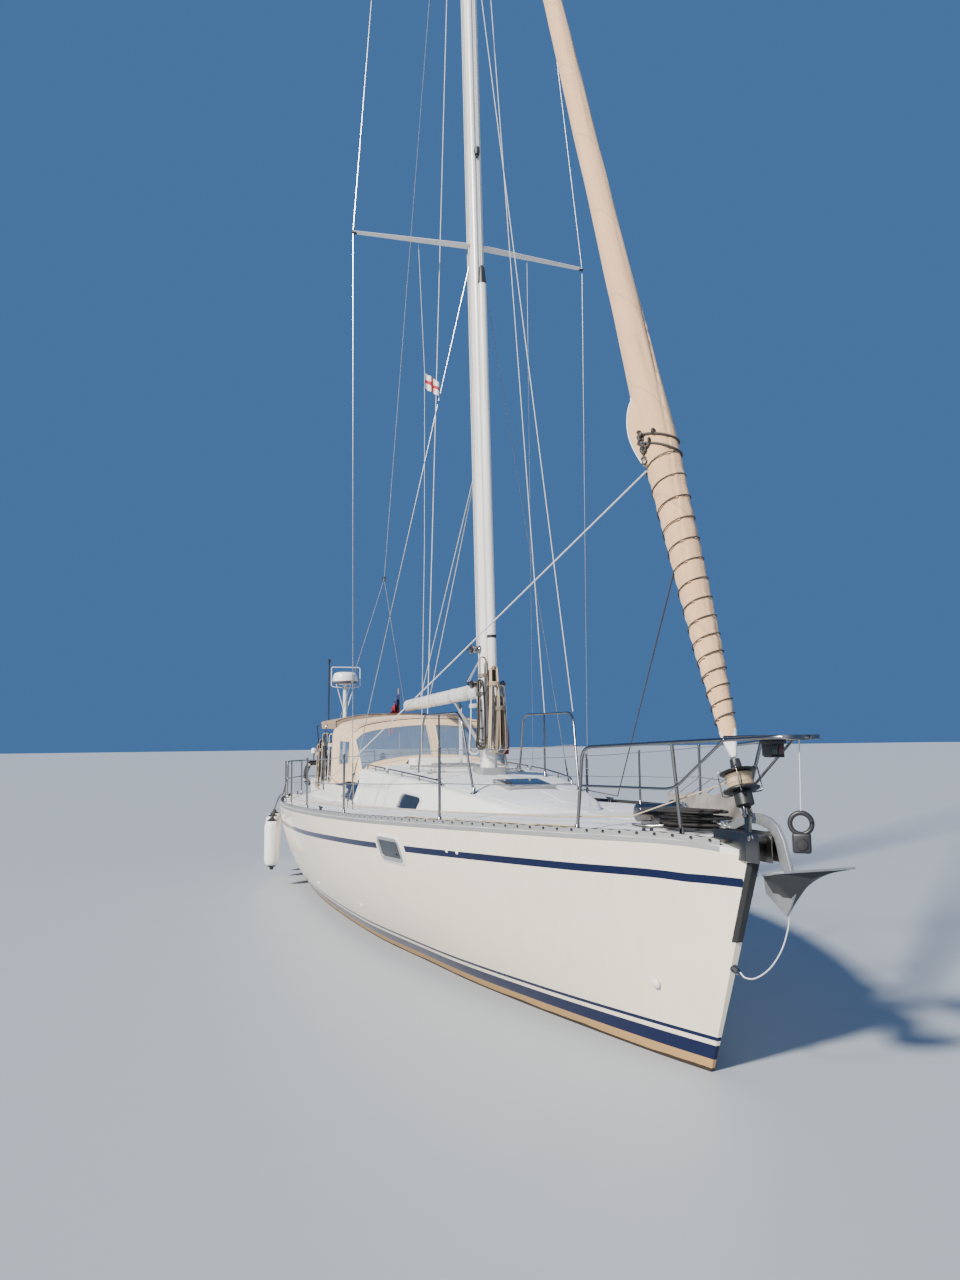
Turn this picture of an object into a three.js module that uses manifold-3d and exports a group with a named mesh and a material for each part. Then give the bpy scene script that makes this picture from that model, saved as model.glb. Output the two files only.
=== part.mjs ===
import * as THREE from 'three';
import { mergeVertices } from 'three/addons/utils/BufferGeometryUtils.js';
import Module from 'manifold-3d';

const wasm = await Module();
wasm.setup();

// A 12.6 m sailing yacht afloat. Millimetres: X forward, Y to port, Z up.
// The origin is on the waterline, amidships on the centreline.

const seatGap = 0.3;

// Hull frames from the stem to the transom. deckX is where a frame meets the deck edge, lean is its
// forward shift per unit of height, deckHalf and deckZ give the deck edge, sideHalf and sideZ the turn
// between topside and bottom, keelZ the keel line.
const hullFrames = [
  { deckX: 5970, lean: 0.41, deckHalf: 28, deckZ: 1400, sideHalf: 10, sideZ: 0, keelZ: -50 },
  { deckX: 5500, lean: 0.36, deckHalf: 300, deckZ: 1440, sideHalf: 165, sideZ: 0, keelZ: -200 },
  { deckX: 4800, lean: 0.29, deckHalf: 720, deckZ: 1432, sideHalf: 355, sideZ: 0, keelZ: -335 },
  { deckX: 4000, lean: 0.21, deckHalf: 1080, deckZ: 1415, sideHalf: 560, sideZ: 0, keelZ: -450 },
  { deckX: 3000, lean: 0.11, deckHalf: 1430, deckZ: 1385, sideHalf: 790, sideZ: 0, keelZ: -545 },
  { deckX: 2000, lean: 0.03, deckHalf: 1670, deckZ: 1350, sideHalf: 970, sideZ: 0, keelZ: -600 },
  { deckX: 800, lean: 0, deckHalf: 1840, deckZ: 1310, sideHalf: 1200, sideZ: 0, keelZ: -630 },
  { deckX: -600, lean: 0, deckHalf: 1940, deckZ: 1265, sideHalf: 1360, sideZ: 0, keelZ: -620 },
  { deckX: -2000, lean: 0, deckHalf: 1960, deckZ: 1220, sideHalf: 1450, sideZ: 0, keelZ: -560 },
  { deckX: -3400, lean: 0.02, deckHalf: 1900, deckZ: 1180, sideHalf: 1440, sideZ: 0, keelZ: -420 },
  { deckX: -4600, lean: 0.08, deckHalf: 1770, deckZ: 1158, sideHalf: 1300, sideZ: 20, keelZ: -240 },
  { deckX: -5600, lean: 0.16, deckHalf: 1600, deckZ: 1146, sideHalf: 1180, sideZ: 180, keelZ: -20 },
  { deckX: -6450, lean: 0.24, deckHalf: 1400, deckZ: 1140, sideHalf: 1080, sideZ: 480, keelZ: 260 },
];
const stepsPerFrame = 2;
const topsideSteps = 5;
const bottomSteps = 6;

const deck = { edge: 35, camber: 0.032, steps: 6 };
const toeRail = { inset: 12, thick: 10, high: 50, fromX: 5860, toX: -6420 };

const cockpit = {
  fromX: -2520, toX: -5650, half: 880, seatZ: 960,
  wellFromX: -2620, wellToX: -5150, wellHalf: 330, floorZ: 560,
};
const cockpitCase = { fromX: -1700, toX: -5690, half: 915, bottomZ: 500 };
const coaming = { fromX: -2300, toX: -5850, foreHalf: 1225, aftHalf: 1130, innerHalf: 900, topZ: 1500 };

// Coachroof sections from the nose to the aft bulkhead: half-breadths at deck and roof, roof height.
const roofSections = [
  { x: 3200, baseHalf: 420, topHalf: 330, topZ: 1495 },
  { x: 2700, baseHalf: 640, topHalf: 520, topZ: 1590 },
  { x: 1800, baseHalf: 870, topHalf: 740, topZ: 1690 },
  { x: 700, baseHalf: 1060, topHalf: 910, topZ: 1760 },
  { x: -600, baseHalf: 1170, topHalf: 1000, topZ: 1805 },
  { x: -1700, baseHalf: 1210, topHalf: 1030, topZ: 1830 },
  { x: -2300, baseHalf: 1215, topHalf: 1030, topZ: 1840 },
];
const roof = { floorZ: 1180, camber: 62, edgeRound: 45, steps: 6 };

const companionway = { fromX: -1740, toX: -2300, half: 310, stepZ: 620 };
const slidingHatch = { fromX: -1700, toX: -2330, half: 350, thick: 28, lift: 12 };
const hatchGarage = { fromX: -1000, toX: -1690, half: 400, wall: 14, topClear: 12 };
const foreHatch = { x: 2050, half: 250, thick: 30, pocket: 260 };
const saloonHatch = { x: -480, half: 240, thick: 30, pocket: 260 };
const hatchRim = { wide: 30, high: 7, lift: 7.3 };

// The mast's centreline: where it stands on the roof, how far aft it leans, and its section.
const mast = { refX: 712, refZ: 6523, rake: 0.0472, footZ: 1760, headZ: 17350, halfLong: 125, halfWide: 85 };
const mastX = z => mast.refX - mast.rake * (z - mast.refZ);

const spreaders = [
  { name: 'lower', z: 8190, tipX: 500, tipHalf: 1500, rise: 20, rootChord: 130, tipChord: 70 },
  { name: 'upper', z: 12800, tipX: 270, tipHalf: 1150, rise: 60, rootChord: 110, tipChord: 60 },
];
const shroud = { capX: 400, capHalf: 1450, lowerX: -60, lowerHalf: 1430, deckZ: 1330, wire: 5, screw: 13 };
const forestay = { tackX: 5900, tackZ: 1650, headX: 400, headZ: 17330, wire: 6 };
const stayLean = (forestay.tackX - forestay.headX) / (forestay.headZ - forestay.tackZ);
const stayX = z => forestay.tackX - stayLean * (z - forestay.tackZ);
const backstay = { headX: 40, splitX: -4880, splitZ: 5000, footX: -6330, footHalf: 960, wire: 5 };

// The rolled headsail on the forestay: its radius at each height.
const headsailRolls = [
  { z: 1975, radius: 24 },
  { z: 2120, radius: 57 },
  { z: 2700, radius: 92 },
  { z: 4290, radius: 138 },
  { z: 5300, radius: 118 },
  { z: 6700, radius: 104 },
  { z: 9200, radius: 93 },
  { z: 13000, radius: 70 },
  { z: 16300, radius: 36 },
];

// Boom, gooseneck and kicker. The boom swings about a line parallel to the mast's aft face.
const gooseneck = { z: 2700, aftOfMast: 60, pin: 8, lugThick: 14, lugClear: 2.4, tongueThick: 22 };
const hingeX = z => mastX(z) - mast.halfLong - gooseneck.aftOfMast;
const boom = { long: 4560, startsAft: 55, halfWide: 62, halfHigh: 90, restSwing: -2.1 };
const kicker = { lowerZ: 2010, upperAft: 1350, tube: 24, rod: 15 };

const anchor = { y: 67, thick: 24, deepAft: 24, deepFore: 44, rollerX: 6020, rollerZ: 1522 };
const pole = { lowZ: 3060, highZ: 7820, aheadOfMast: 95, radius: 50, endRadius: 40 };

const propShaft = { hullX: -3050, hullZ: -470, angle: 9, radius: 15, bore: 17, bearing: 15.7 };
const propeller = { radius: 225, hub: 42, blades: 3, aft: 1080 };
const rudder = { stockX: -4950, topZ: -235, tipZ: -1560, stock: 32, bore: 32.9, rootFore: 190, rootAft: 560 };
const keel = { rootFore: 780, rootAft: -1380, tipFore: 300, tipAft: -1350, tipZ: -1950, thick: 0.13 };

const wheel = { x: -4790, z: 1400, radius: 416, rim: 14, spokes: 6, hub: 38 };
const pedestal = { x: -4620, baseHalf: 120, topHalf: 85, topZ: 1470 };

const rail = { tube: 12.5, wire: 4, high: 620, midHigh: 330, inset: 85 };
const stanchionXs = [3350, 1300, -500, -2050, -3600];
const pulpitLegs = { aftX: 4800, foreX: 5480, noseX: 6520, noseZ: 2110 };
const pushpit = { foreX: -5000, cornerX: -6330, cornerHalf: 1290, gateHalf: 470, legX: -5750 };

const radar = { x: -6000, y: -500, poleRadius: 38, topZ: 3200, domeRadius: 232, domeHigh: 212 };
const ladder = { x: -6475, y: 0, hingeZ: 1215, long: 760, halfWide: 150, tube: 12.5, rungs: 4 };

const fender = { xs: [-3300, -4200, -4800], radius: 110, footZ: 250, line: 5 };

const buoy = { x: -6402, y: -1020, z: 1530, radius: 50 };

const hood = { footX: -1330, foreX: -1720, aftX: -2900, foreZ: 2470, aftZ: 2520, wall: 22 };
const bimini = { foreX: -3060, aftX: -5450, crownZ: 2560, edgeZ: 2440, half: 1130, wall: 26, valance: 130 };
const hoop = { tube: 11, footX: -4100, footHalf: 1160, footZ: 1580 };

const V = (x, y, z) => new THREE.Vector3(x, y, z);

// Colours are the finishes seen on the real boat.
const finishes = {
  topsideWhite: [0xece7dc, 0.25, 0],
  deckWhite: [0xe6e3dc, 0.6, 0],
  roofWhite: [0xeae8e3, 0.35, 0],
  antifoulBlue: [0x24324a, 0.85, 0],
  stainless: [0xb9bcc0, 0.22, 1],
  aluminium: [0xa9abad, 0.45, 1],
  galvanised: [0x8d9092, 0.6, 0.8],
  bronze: [0x8c6a3c, 0.4, 1],
  mastWhite: [0xdedbd2, 0.35, 0],
  wire: [0x8f9295, 0.35, 1],
  blackPlastic: [0x1b1c1e, 0.5, 0],
  smokedGlass: [0x27323c, 0.12, 0],
  genoaCover: [0xd9c9ad, 0.85, 0],
  canvasTan: [0xc9b08c, 0.9, 0],
  canvasDark: [0x2a2c34, 0.9, 0],
  fenderWhite: [0xe4e2dc, 0.5, 0],
  teak: [0x8a6a48, 0.7, 0],
};
function finish(key) {
  const [color, roughness, metalness] = finishes[key];
  return new THREE.MeshStandardMaterial({ color, roughness, metalness });
}

// A closed triangle mesh as a solid for joining and cutting, with its faces turned outwards.
function toSolid(geometry) {
  const bare = geometry.clone();
  bare.deleteAttribute('normal');
  bare.deleteAttribute('uv');
  const merged = mergeVertices(bare, 1e-3);
  const spots = merged.attributes.position;
  const corners = merged.index.array;
  const triangles = [];
  let volume = 0;
  for (let i = 0; i < corners.length; i += 3) {
    const [a, b, c] = [corners[i], corners[i + 1], corners[i + 2]];
    if (a === b || b === c || c === a) continue;
    const [p, q, r] = [a, b, c].map(n => new THREE.Vector3().fromBufferAttribute(spots, n));
    volume += p.dot(q.cross(r));
    triangles.push(a, b, c);
  }
  if (volume < 0) {
    for (let i = 0; i < triangles.length; i += 3) {
      [triangles[i + 1], triangles[i + 2]] = [triangles[i + 2], triangles[i + 1]];
    }
  }
  const triVerts = Uint32Array.from(triangles);
  return new wasm.Manifold(new wasm.Mesh({ numProp: 3, vertProperties: spots.array, triVerts }));
}

function toGeometry(solid) {
  const mesh = solid.getMesh();
  const geometry = new THREE.BufferGeometry();
  geometry.setAttribute('position', new THREE.BufferAttribute(mesh.vertProperties, 3));
  geometry.setIndex(new THREE.BufferAttribute(mesh.triVerts, 1));
  geometry.computeVertexNormals();
  return geometry;
}

const join = (...solids) => solids.flat().reduce((sum, solid) => sum.add(solid));
const biggest = solid => solid.decompose().reduce((a, b) => (a.volume() > b.volume() ? a : b));

// Closed skin over rings of equal point count, capped at both ends.
function loft(rings) {
  const count = rings[0].length;
  const spots = rings.flat();
  const index = [];
  for (let r = 0; r < rings.length - 1; r += 1) {
    for (let i = 0; i < count; i += 1) {
      const a = r * count + i;
      const b = r * count + (i + 1) % count;
      index.push(a, b, b + count, a, b + count, a + count);
    }
  }
  [0, rings.length - 1].forEach(r => {
    const centre = rings[r].reduce((sum, p) => sum.clone().add(p)).divideScalar(count);
    spots.push(centre);
    for (let i = 0; i < count; i += 1) {
      const a = r * count + i;
      const b = r * count + (i + 1) % count;
      index.push(...(r === 0 ? [b, a] : [a, b]), spots.length - 1);
    }
  });
  const geometry = new THREE.BufferGeometry().setFromPoints(spots);
  geometry.setIndex(index);
  return toSolid(geometry);
}

// Round bar or tube along a line of points, mitred at each bend.
function pipe(points, radius, sides = 8) {
  const heading = (a, b) => b.clone().sub(a).normalize();
  let along = heading(points[0], points[1]);
  const upright = Math.abs(along.z) > 0.9 ? V(1, 0, 0) : V(0, 0, 1);
  let side = upright.cross(along).normalize();
  const rings = points.map((point, i) => {
    const ahead = i < points.length - 1 ? heading(point, points[i + 1]) : along;
    const mitre = along.clone().add(ahead).normalize();
    const other = along.clone().cross(side);
    const ring = [];
    for (let k = 0; k < sides; k += 1) {
      const turn = 2 * Math.PI * k / sides;
      const out = side.clone().multiplyScalar(radius * Math.cos(turn));
      out.addScaledVector(other, radius * Math.sin(turn));
      out.addScaledVector(along, -out.dot(mitre) / along.dot(mitre));
      ring.push(out.add(point));
    }
    side.applyQuaternion(new THREE.Quaternion().setFromUnitVectors(along, ahead));
    along = ahead;
    return ring;
  });
  return loft(rings);
}

// The same line with each inner corner rounded.
function rounded(points, radius, steps = 3) {
  return points.flatMap((point, i) => {
    if (i === 0 || i === points.length - 1) return [point];
    const before = point.clone().add(points[i - 1].clone().sub(point).setLength(radius));
    const after = point.clone().add(points[i + 1].clone().sub(point).setLength(radius));
    return new THREE.QuadraticBezierCurve3(before, point, after).getPoints(steps);
  });
}

function block(x0, x1, y0, y1, z0, z1) {
  const geometry = new THREE.BoxGeometry(Math.abs(x1 - x0), Math.abs(y1 - y0), Math.abs(z1 - z0));
  geometry.translate((x0 + x1) / 2, (y0 + y1) / 2, (z0 + z1) / 2);
  return toSolid(geometry);
}

// Solid of revolution about Z from [radius, height] pairs that start and end on the axis.
function turned(profile, segments = 14) {
  const points = profile.map(([radius, height]) => new THREE.Vector2(radius, height));
  return toSolid(new THREE.LatheGeometry(points, segments).rotateX(Math.PI / 2));
}

// Flat outline in X and Y raised to a slab.
function slab(corners, z0, z1) {
  const shape = new THREE.Shape(corners.map(([x, y]) => new THREE.Vector2(x, y)));
  const geometry = new THREE.ExtrudeGeometry(shape, { depth: z1 - z0, bevelEnabled: false });
  return toSolid(geometry.translate(0, 0, z0));
}

const boat = new THREE.Group();
function place(name, solid, key, parent = boat) {
  const mesh = new THREE.Mesh(toGeometry(solid), finish(key));
  mesh.name = name;
  parent.add(mesh);
  return mesh;
}

// A piece and its mirror image to port, each cut to its own seat.
const mirrored = solid => solid.mirror([0, 1, 0]);
function placePair(name, starboard, key, seat = solid => solid) {
  place(`${name}_starboard`, seat(starboard, -1), key);
  place(`${name}_port`, seat(mirrored(starboard), 1), key);
}

// Any frame between the rows of the table, on a smooth curve through them.
function frameAt(step) {
  const row = Math.min(Math.floor(step), hullFrames.length - 2);
  const t = step - row;
  const pick = n => hullFrames[THREE.MathUtils.clamp(n, 0, hullFrames.length - 1)];
  const [a, b, c, d] = [pick(row - 1), pick(row), pick(row + 1), pick(row + 2)];
  return Object.fromEntries(Object.keys(b).map(key => {
    const curve = new THREE.SplineCurve([a, b, c, d].map(f => new THREE.Vector2(f[key], 0)));
    return [key, curve.getPoint((1 + t) / 3).x];
  }));
}
const frameCount = (hullFrames.length - 1) * stepsPerFrame;
const frames = Array.from({ length: frameCount + 1 }, (_, i) => frameAt(i / stepsPerFrame));

// The frame at a place along the deck edge.
function frameNear(x) {
  const after = frames.findIndex(frame => frame.deckX <= x);
  const [a, b] = [frames[after - 1], frames[after]];
  const t = (a.deckX - x) / (a.deckX - b.deckX);
  return Object.fromEntries(Object.keys(a).map(key => [key, THREE.MathUtils.lerp(a[key], b[key], t)]));
}
const deckHalf = x => frameNear(x).deckHalf;
function deckTop(x, y) {
  const frame = frameNear(x);
  return frame.deckZ + deck.edge + deck.camber * frame.deckHalf * (1 - (y / frame.deckHalf) ** 2);
}

const flatPoint = (frame, y, z) => V(frame.deckX + frame.lean * (z - frame.deckZ), y, z);

function hullRing(frame, n) {
  const { deckHalf: half, deckZ, sideHalf, sideZ, keelZ } = frame;
  const swell = THREE.MathUtils.lerp(0.56, 0.84, Math.min(1, n / (frameCount / 2)));
  const elbow = new THREE.Vector2(sideHalf + (half - sideHalf) * swell, sideZ + (deckZ - sideZ) * 0.45);
  const turn = new THREE.Vector2(sideHalf, sideZ);
  const slope = (elbow.x - turn.x) / (elbow.y - turn.y);
  const drop = sideZ - keelZ;
  const bilge = new THREE.Vector2(sideHalf - slope * drop * 0.4, sideZ - drop * 0.4);
  const flat = new THREE.Vector2(sideHalf * 0.5, keelZ + drop * 0.06);
  const topside = new THREE.QuadraticBezierCurve(new THREE.Vector2(half, deckZ), elbow, turn);
  const bottom = new THREE.CubicBezierCurve(turn, bilge, flat, new THREE.Vector2(0, keelZ));
  const side = [...topside.getPoints(topsideSteps), ...bottom.getPoints(bottomSteps).slice(1)];
  const port = side.slice(0, -1).reverse();
  return [...side.map(p => flatPoint(frame, -p.x, p.y)), ...port.map(p => flatPoint(frame, p.x, p.y))];
}

function deckRing(frame) {
  const bottomZ = frame.deckZ + seatGap;
  const ring = [V(frame.deckX, frame.deckHalf, bottomZ), V(frame.deckX, -frame.deckHalf, bottomZ)];
  for (let i = 0; i <= deck.steps; i += 1) {
    const share = 2 * i / deck.steps - 1;
    const rise = deck.edge + deck.camber * frame.deckHalf * (1 - share * share);
    ring.push(V(frame.deckX, share * frame.deckHalf, frame.deckZ + rise));
  }
  return ring;
}

const skyZ = 3000;
const cockpitCut = join(
  block(cockpit.toX, cockpit.fromX, -cockpit.half, cockpit.half, cockpit.seatZ, skyZ),
  block(cockpit.wellToX, cockpit.wellFromX, -cockpit.wellHalf, cockpit.wellHalf, cockpit.floorZ, skyZ),
);
const { half: stairHalf, stepZ } = companionway;
const stair = i => block(companionway.fromX, companionway.fromX - 130 * (i + 1), -240, 240, stepZ - 50,
  stepZ + 570 - 190 * i);
const stairCut = block(companionway.toX - 60, companionway.fromX, -stairHalf, stairHalf, stepZ, skyZ);
const stockBore = turned([[0, 0], [rudder.bore, 0], [rudder.bore, 450], [0, 450]], 24)
  .translate([rudder.stockX, 0, rudder.topZ]);
const shaftTilt = solid => solid.rotate([0, -90 - propShaft.angle, 0])
  .translate([propShaft.hullX, 0, propShaft.hullZ]);
const shaftBore = shaftTilt(turned([[0, -90], [propShaft.bore, -90], [propShaft.bore, 200], [0, 200]]));

const hullBody = loft(frames.map(hullRing));
const deckBody = loft(frames.map(deckRing));
const wells = join(cockpitCut, stairCut.subtract(join(stair(0), stair(1), stair(2))));
const caseBox = gap => block(cockpitCase.toX - gap, cockpitCase.fromX + gap, -cockpitCase.half - gap,
  cockpitCase.half + gap, cockpitCase.bottomZ - gap, skyZ);
place('hull', hullBody.subtract(join(caseBox(seatGap), stockBore, shaftBore)), 'topsideWhite');
place('cockpit', hullBody.intersect(caseBox(0)).subtract(wells), 'roofWhite');
place('deck', deckBody.subtract(join(cockpitCut, stairCut)), 'deckWhite');

// What stands on the deck is cut to its surface, a hair above it.
const deckCutter = join(deckBody, deckBody.translate([0, 0, seatGap]), hullBody,
  hullBody.translate([0, 0, 2 * seatGap]));
const onDeck = solid => biggest(solid.subtract(deckCutter));

function toeRailRing(frame, side) {
  const outer = side * (frame.deckHalf - toeRail.inset);
  const inner = side * (frame.deckHalf - toeRail.inset - toeRail.thick);
  const foot = frame.deckZ + deck.edge - 20;
  const top = frame.deckZ + deck.edge + toeRail.high;
  return [V(frame.deckX, outer, foot), V(frame.deckX, inner, foot), V(frame.deckX, inner, top),
    V(frame.deckX, outer, top)];
}
const railFrames = frames.filter(frame => frame.deckX < toeRail.fromX && frame.deckX > toeRail.toX);
placePair('toe_rail', loft(railFrames.map(frame => toeRailRing(frame, -1))), 'aluminium', onDeck);

function roofRing({ x, baseHalf, topHalf, topZ }) {
  const side = [V(x, -baseHalf, roof.floorZ), V(x, -topHalf - 14, topZ - roof.camber - roof.edgeRound),
    V(x, -topHalf + 8, topZ - roof.camber - 8)];
  const top = [];
  for (let i = 1; i < roof.steps; i += 1) {
    const share = 2 * i / roof.steps - 1;
    top.push(V(x, share * (topHalf - 30), topZ - roof.camber * share * share));
  }
  return [...side, ...top, ...side.map(p => V(p.x, -p.y, p.z)).reverse()];
}
const roofBody = onDeck(loft(roofSections.map(roofRing)));
function roofTop(x, y) {
  const after = roofSections.findIndex(section => section.x <= x);
  const [a, b] = [roofSections[after - 1], roofSections[after]];
  const t = (a.x - x) / (a.x - b.x);
  const topHalf = THREE.MathUtils.lerp(a.topHalf, b.topHalf, t);
  return THREE.MathUtils.lerp(a.topZ, b.topZ, t) - roof.camber * (y / (topHalf - 30)) ** 2;
}
const hatchPocket = ({ x, half, pocket }) => {
  const inner = half - hatchRim.wide;
  return block(x - inner, x + inner, -inner, inner, roofTop(x, 0) - pocket, skyZ);
};
// A solid drawn flat behind its forward edge, laid on the slope of the roof at a hatch.
function onSlope(solid, { x, half }) {
  const slope = Math.atan2(roofTop(x - half, 0) - roofTop(x + half, 0), 2 * half);
  return solid.rotate([0, THREE.MathUtils.radToDeg(slope), 0]).translate([x + half, 0, roofTop(x + half, 0)]);
}
function hatchFrame(hatch) {
  const { half } = hatch;
  return onSlope(block(-2 * half, 0, -half, half, -90, hatchRim.high), hatch);
}
const hatchZ = roofTop(slidingHatch.fromX - 50, 0) + slidingHatch.lift;
const garageTop = hatchZ + slidingHatch.thick + hatchGarage.topClear;
const garageInner = hatchGarage.half - hatchGarage.wall;
const garageHollow = block(hatchGarage.fromX - 60, hatchGarage.toX - 100, -garageInner, garageInner,
  hatchZ - 8, garageTop);
const garageBody = block(hatchGarage.fromX, hatchGarage.toX, -hatchGarage.half, hatchGarage.half, 1700,
  garageTop + hatchGarage.wall);
const roofCuts = join(stairCut, hatchPocket(foreHatch), hatchPocket(saloonHatch));
const runner = block(hatchGarage.fromX - 60, companionway.toX, slidingHatch.half - 24, slidingHatch.half,
  1700, hatchZ - seatGap);
const roofParts = join(roofBody.subtract(roofCuts), hatchFrame(foreHatch).subtract(roofCuts),
  hatchFrame(saloonHatch).subtract(roofCuts), garageBody.subtract(join(deckCutter, garageHollow)),
  runner.subtract(deckCutter), mirrored(runner).subtract(deckCutter));
place('coachroof', roofParts, 'roofWhite');
const roofCutter = join(roofBody.translate([0, 0, seatGap]), deckCutter);
const onRoof = solid => biggest(solid.subtract(roofCutter));

const coamingShape = [
  [coaming.fromX - seatGap, coaming.foreHalf], [coaming.toX, coaming.aftHalf],
  [coaming.toX - 90, coaming.aftHalf - 120], [coaming.toX - 90, -coaming.aftHalf + 120],
  [coaming.toX, -coaming.aftHalf], [coaming.fromX - seatGap, -coaming.foreHalf],
  [coaming.fromX - seatGap, -coaming.innerHalf], [cockpit.toX - 20, -coaming.innerHalf],
  [cockpit.toX - 20, coaming.innerHalf], [coaming.fromX - seatGap, coaming.innerHalf],
];
place('cockpit_coaming', onDeck(slab(coamingShape, 1100, coaming.topZ)), 'roofWhite');

// Underwater: the fin keel, the rudder on its stock, the propeller on its shaft and the shaft's bracket.
function foilRing(foreX, aftX, z, thick, steps = 5) {
  const chord = foreX - aftX;
  const side = [];
  for (let i = 0; i <= steps; i += 1) {
    const share = (1 - Math.cos(Math.PI * i / steps)) / 2;
    const bulge = 2.6 * thick * chord * Math.sqrt(share) * (1 - share);
    side.push([foreX - share * chord, bulge / 2 + (i === 0 || i === steps ? 0 : 4)]);
  }
  return [...side.map(([x, y]) => V(x, y, z)), ...side.slice(1, -1).reverse().map(([x, y]) => V(x, -y, z))];
}
const keelBody = loft([
  foilRing(keel.rootFore, keel.rootAft, -400, keel.thick),
  foilRing(keel.tipFore, keel.tipAft, keel.tipZ, keel.thick),
]);
place('keel', biggest(keelBody.subtract(hullBody.translate([0, 0, -seatGap]))), 'antifoulBlue');

const rudderBlade = loft([
  foilRing(rudder.rootFore, -rudder.rootAft, rudder.topZ - 30, 0.14),
  foilRing(rudder.rootFore - 50, -rudder.rootAft + 190, rudder.tipZ, 0.12),
]);
const rudderStock = turned([[0, -600], [rudder.stock, -600], [rudder.stock, 200], [0, 200]], 24)
  .translate([0, 0, rudder.topZ]);
const rudderMesh = place('rudder', join(rudderBlade, rudderStock), 'antifoulBlue');
rudderMesh.position.set(rudder.stockX, 0, 0);

const bladeRing = (radius, chord, pitch) => {
  const ring = [[-0.5, -5], [0.5, -5], [0.5, 5], [-0.5, 5]];
  return ring.map(([share, lift]) => {
    const y = share * chord * Math.cos(pitch) - lift * Math.sin(pitch);
    const z = share * chord * Math.sin(pitch) + lift * Math.cos(pitch);
    return V(radius, y, z);
  });
};
const bladeSections = [
  { radius: 20, chord: 60, pitch: 0.95 },
  { radius: 110, chord: 150, pitch: 0.55 },
  { radius: 180, chord: 150, pitch: 0.4 },
  { radius: propeller.radius, chord: 60, pitch: 0.33 },
];
const propBlade = loft(bladeSections.map(({ radius, chord, pitch }) => bladeRing(radius, chord, pitch)));
const shaftParts = [
  turned([[0, -80], [propShaft.radius, -80], [propShaft.radius, propeller.aft], [0, propeller.aft]], 12),
  turned([[0, -60], [propeller.hub, -60], [propeller.hub, 20], [26, 80], [0, 110]])
    .translate([0, 0, propeller.aft]),
];
for (let i = 0; i < propeller.blades; i += 1) {
  shaftParts.push(propBlade.rotate([0, 0, 360 * i / propeller.blades]).translate([0, 0, propeller.aft]));
}
const propMesh = place('propeller', join(shaftParts), 'bronze');
propMesh.position.set(propShaft.hullX, 0, propShaft.hullZ);
propMesh.rotation.y = THREE.MathUtils.degToRad(-90 - propShaft.angle);

const bracketAlong = propeller.aft - 190;
const bracketBoss = shaftTilt(turned([[0, 0], [34, 0], [34, 110], [0, 110]]).translate([0, 0, bracketAlong]));
const bracketX = propShaft.hullX - (bracketAlong + 55) * Math.cos(propShaft.angle * Math.PI / 180);
const bracketZ = propShaft.hullZ - (bracketAlong + 55) * Math.sin(propShaft.angle * Math.PI / 180);
const bracketArm = loft([
  foilRing(bracketX + 45, bracketX - 45, bracketZ, 0.2),
  foilRing(bracketX + 55, bracketX - 55, 0, 0.2),
]);
const { bearing } = propShaft;
const bracketBore = shaftTilt(turned([[0, -10], [bearing, -10], [bearing, 1600], [0, 1600]], 12));
const bracketBody = join(bracketBoss, bracketArm).subtract(bracketBore);
place('shaft_bracket', biggest(bracketBody.subtract(hullBody.translate([0, 0, -seatGap]))), 'bronze');

// Bow: three cheeks with a roller across them, the forestay's tang in the starboard channel, and the
// anchor in the port one. The anchor's hooped shank runs down to its wings and the keel under them.
const bowCheek = y => slab([[5620, y], [6090, y], [6090, y + 8], [5620, y + 8]], 1380, 1545);
const bowPlate = [[5600, -70], [5960, -70], [5960, 112], [5600, 112]];
const bowFitting = join(
  bowCheek(-68), bowCheek(22), bowCheek(104), slab(bowPlate, 1380, 1492),
  block(5880, 5920, -12, 12, 1480, forestay.tackZ),
  pipe([V(anchor.rollerX, -64, anchor.rollerZ), V(anchor.rollerX, 108, anchor.rollerZ)], 36, 14),
);
place('bow_fitting', biggest(onDeck(bowFitting).subtract(hullBody.translate([seatGap, 0, 0]))), 'stainless');

const shankLine = new THREE.CatmullRomCurve3([V(5590, anchor.y, 1535), V(5860, anchor.y, 1622),
  V(6080, anchor.y, 1568), V(6175, anchor.y, 1335)]);
const shankRings = Array.from({ length: 10 }, (_, i) => {
  const at = shankLine.getPoint(i / 9);
  const along = shankLine.getTangent(i / 9);
  const depth = THREE.MathUtils.lerp(anchor.deepAft, anchor.deepFore, i / 9);
  const deep = V(-along.z, 0, along.x).multiplyScalar(depth);
  const wide = V(0, anchor.thick / 2, 0);
  return [at.clone().sub(deep).sub(wide), at.clone().sub(deep).add(wide), at.clone().add(deep).add(wide),
    at.clone().add(deep).sub(wide)];
});
// Across the anchor at x: the half-breadth at the top and at the foot, and the two heights.
const flukeRing = ([x, topHalf, footHalf, topZ, footZ]) => [V(x, anchor.y - footHalf, footZ),
  V(x, anchor.y + footHalf, footZ), V(x, anchor.y + topHalf, topZ), V(x, anchor.y - topHalf, topZ)];
const wings = [
  [5950, 20, 18, 1298, 1286], [6230, 165, 162, 1352, 1336], [6400, 262, 260, 1384, 1370],
  [6455, 235, 232, 1392, 1380],
];
const anchorKeel = [[5955, 16, 4, 1290, 1188], [6150, 62, 8, 1330, 1088], [6290, 62, 20, 1352, 1270]];
const anchorBody = join(loft(shankRings), loft(wings.map(flukeRing)), loft(anchorKeel.map(flukeRing)));
const anchorCut = bowFitting.translate([seatGap, 0, seatGap]);
place('anchor', biggest(anchorBody.subtract(anchorCut)), 'galvanised');

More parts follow.
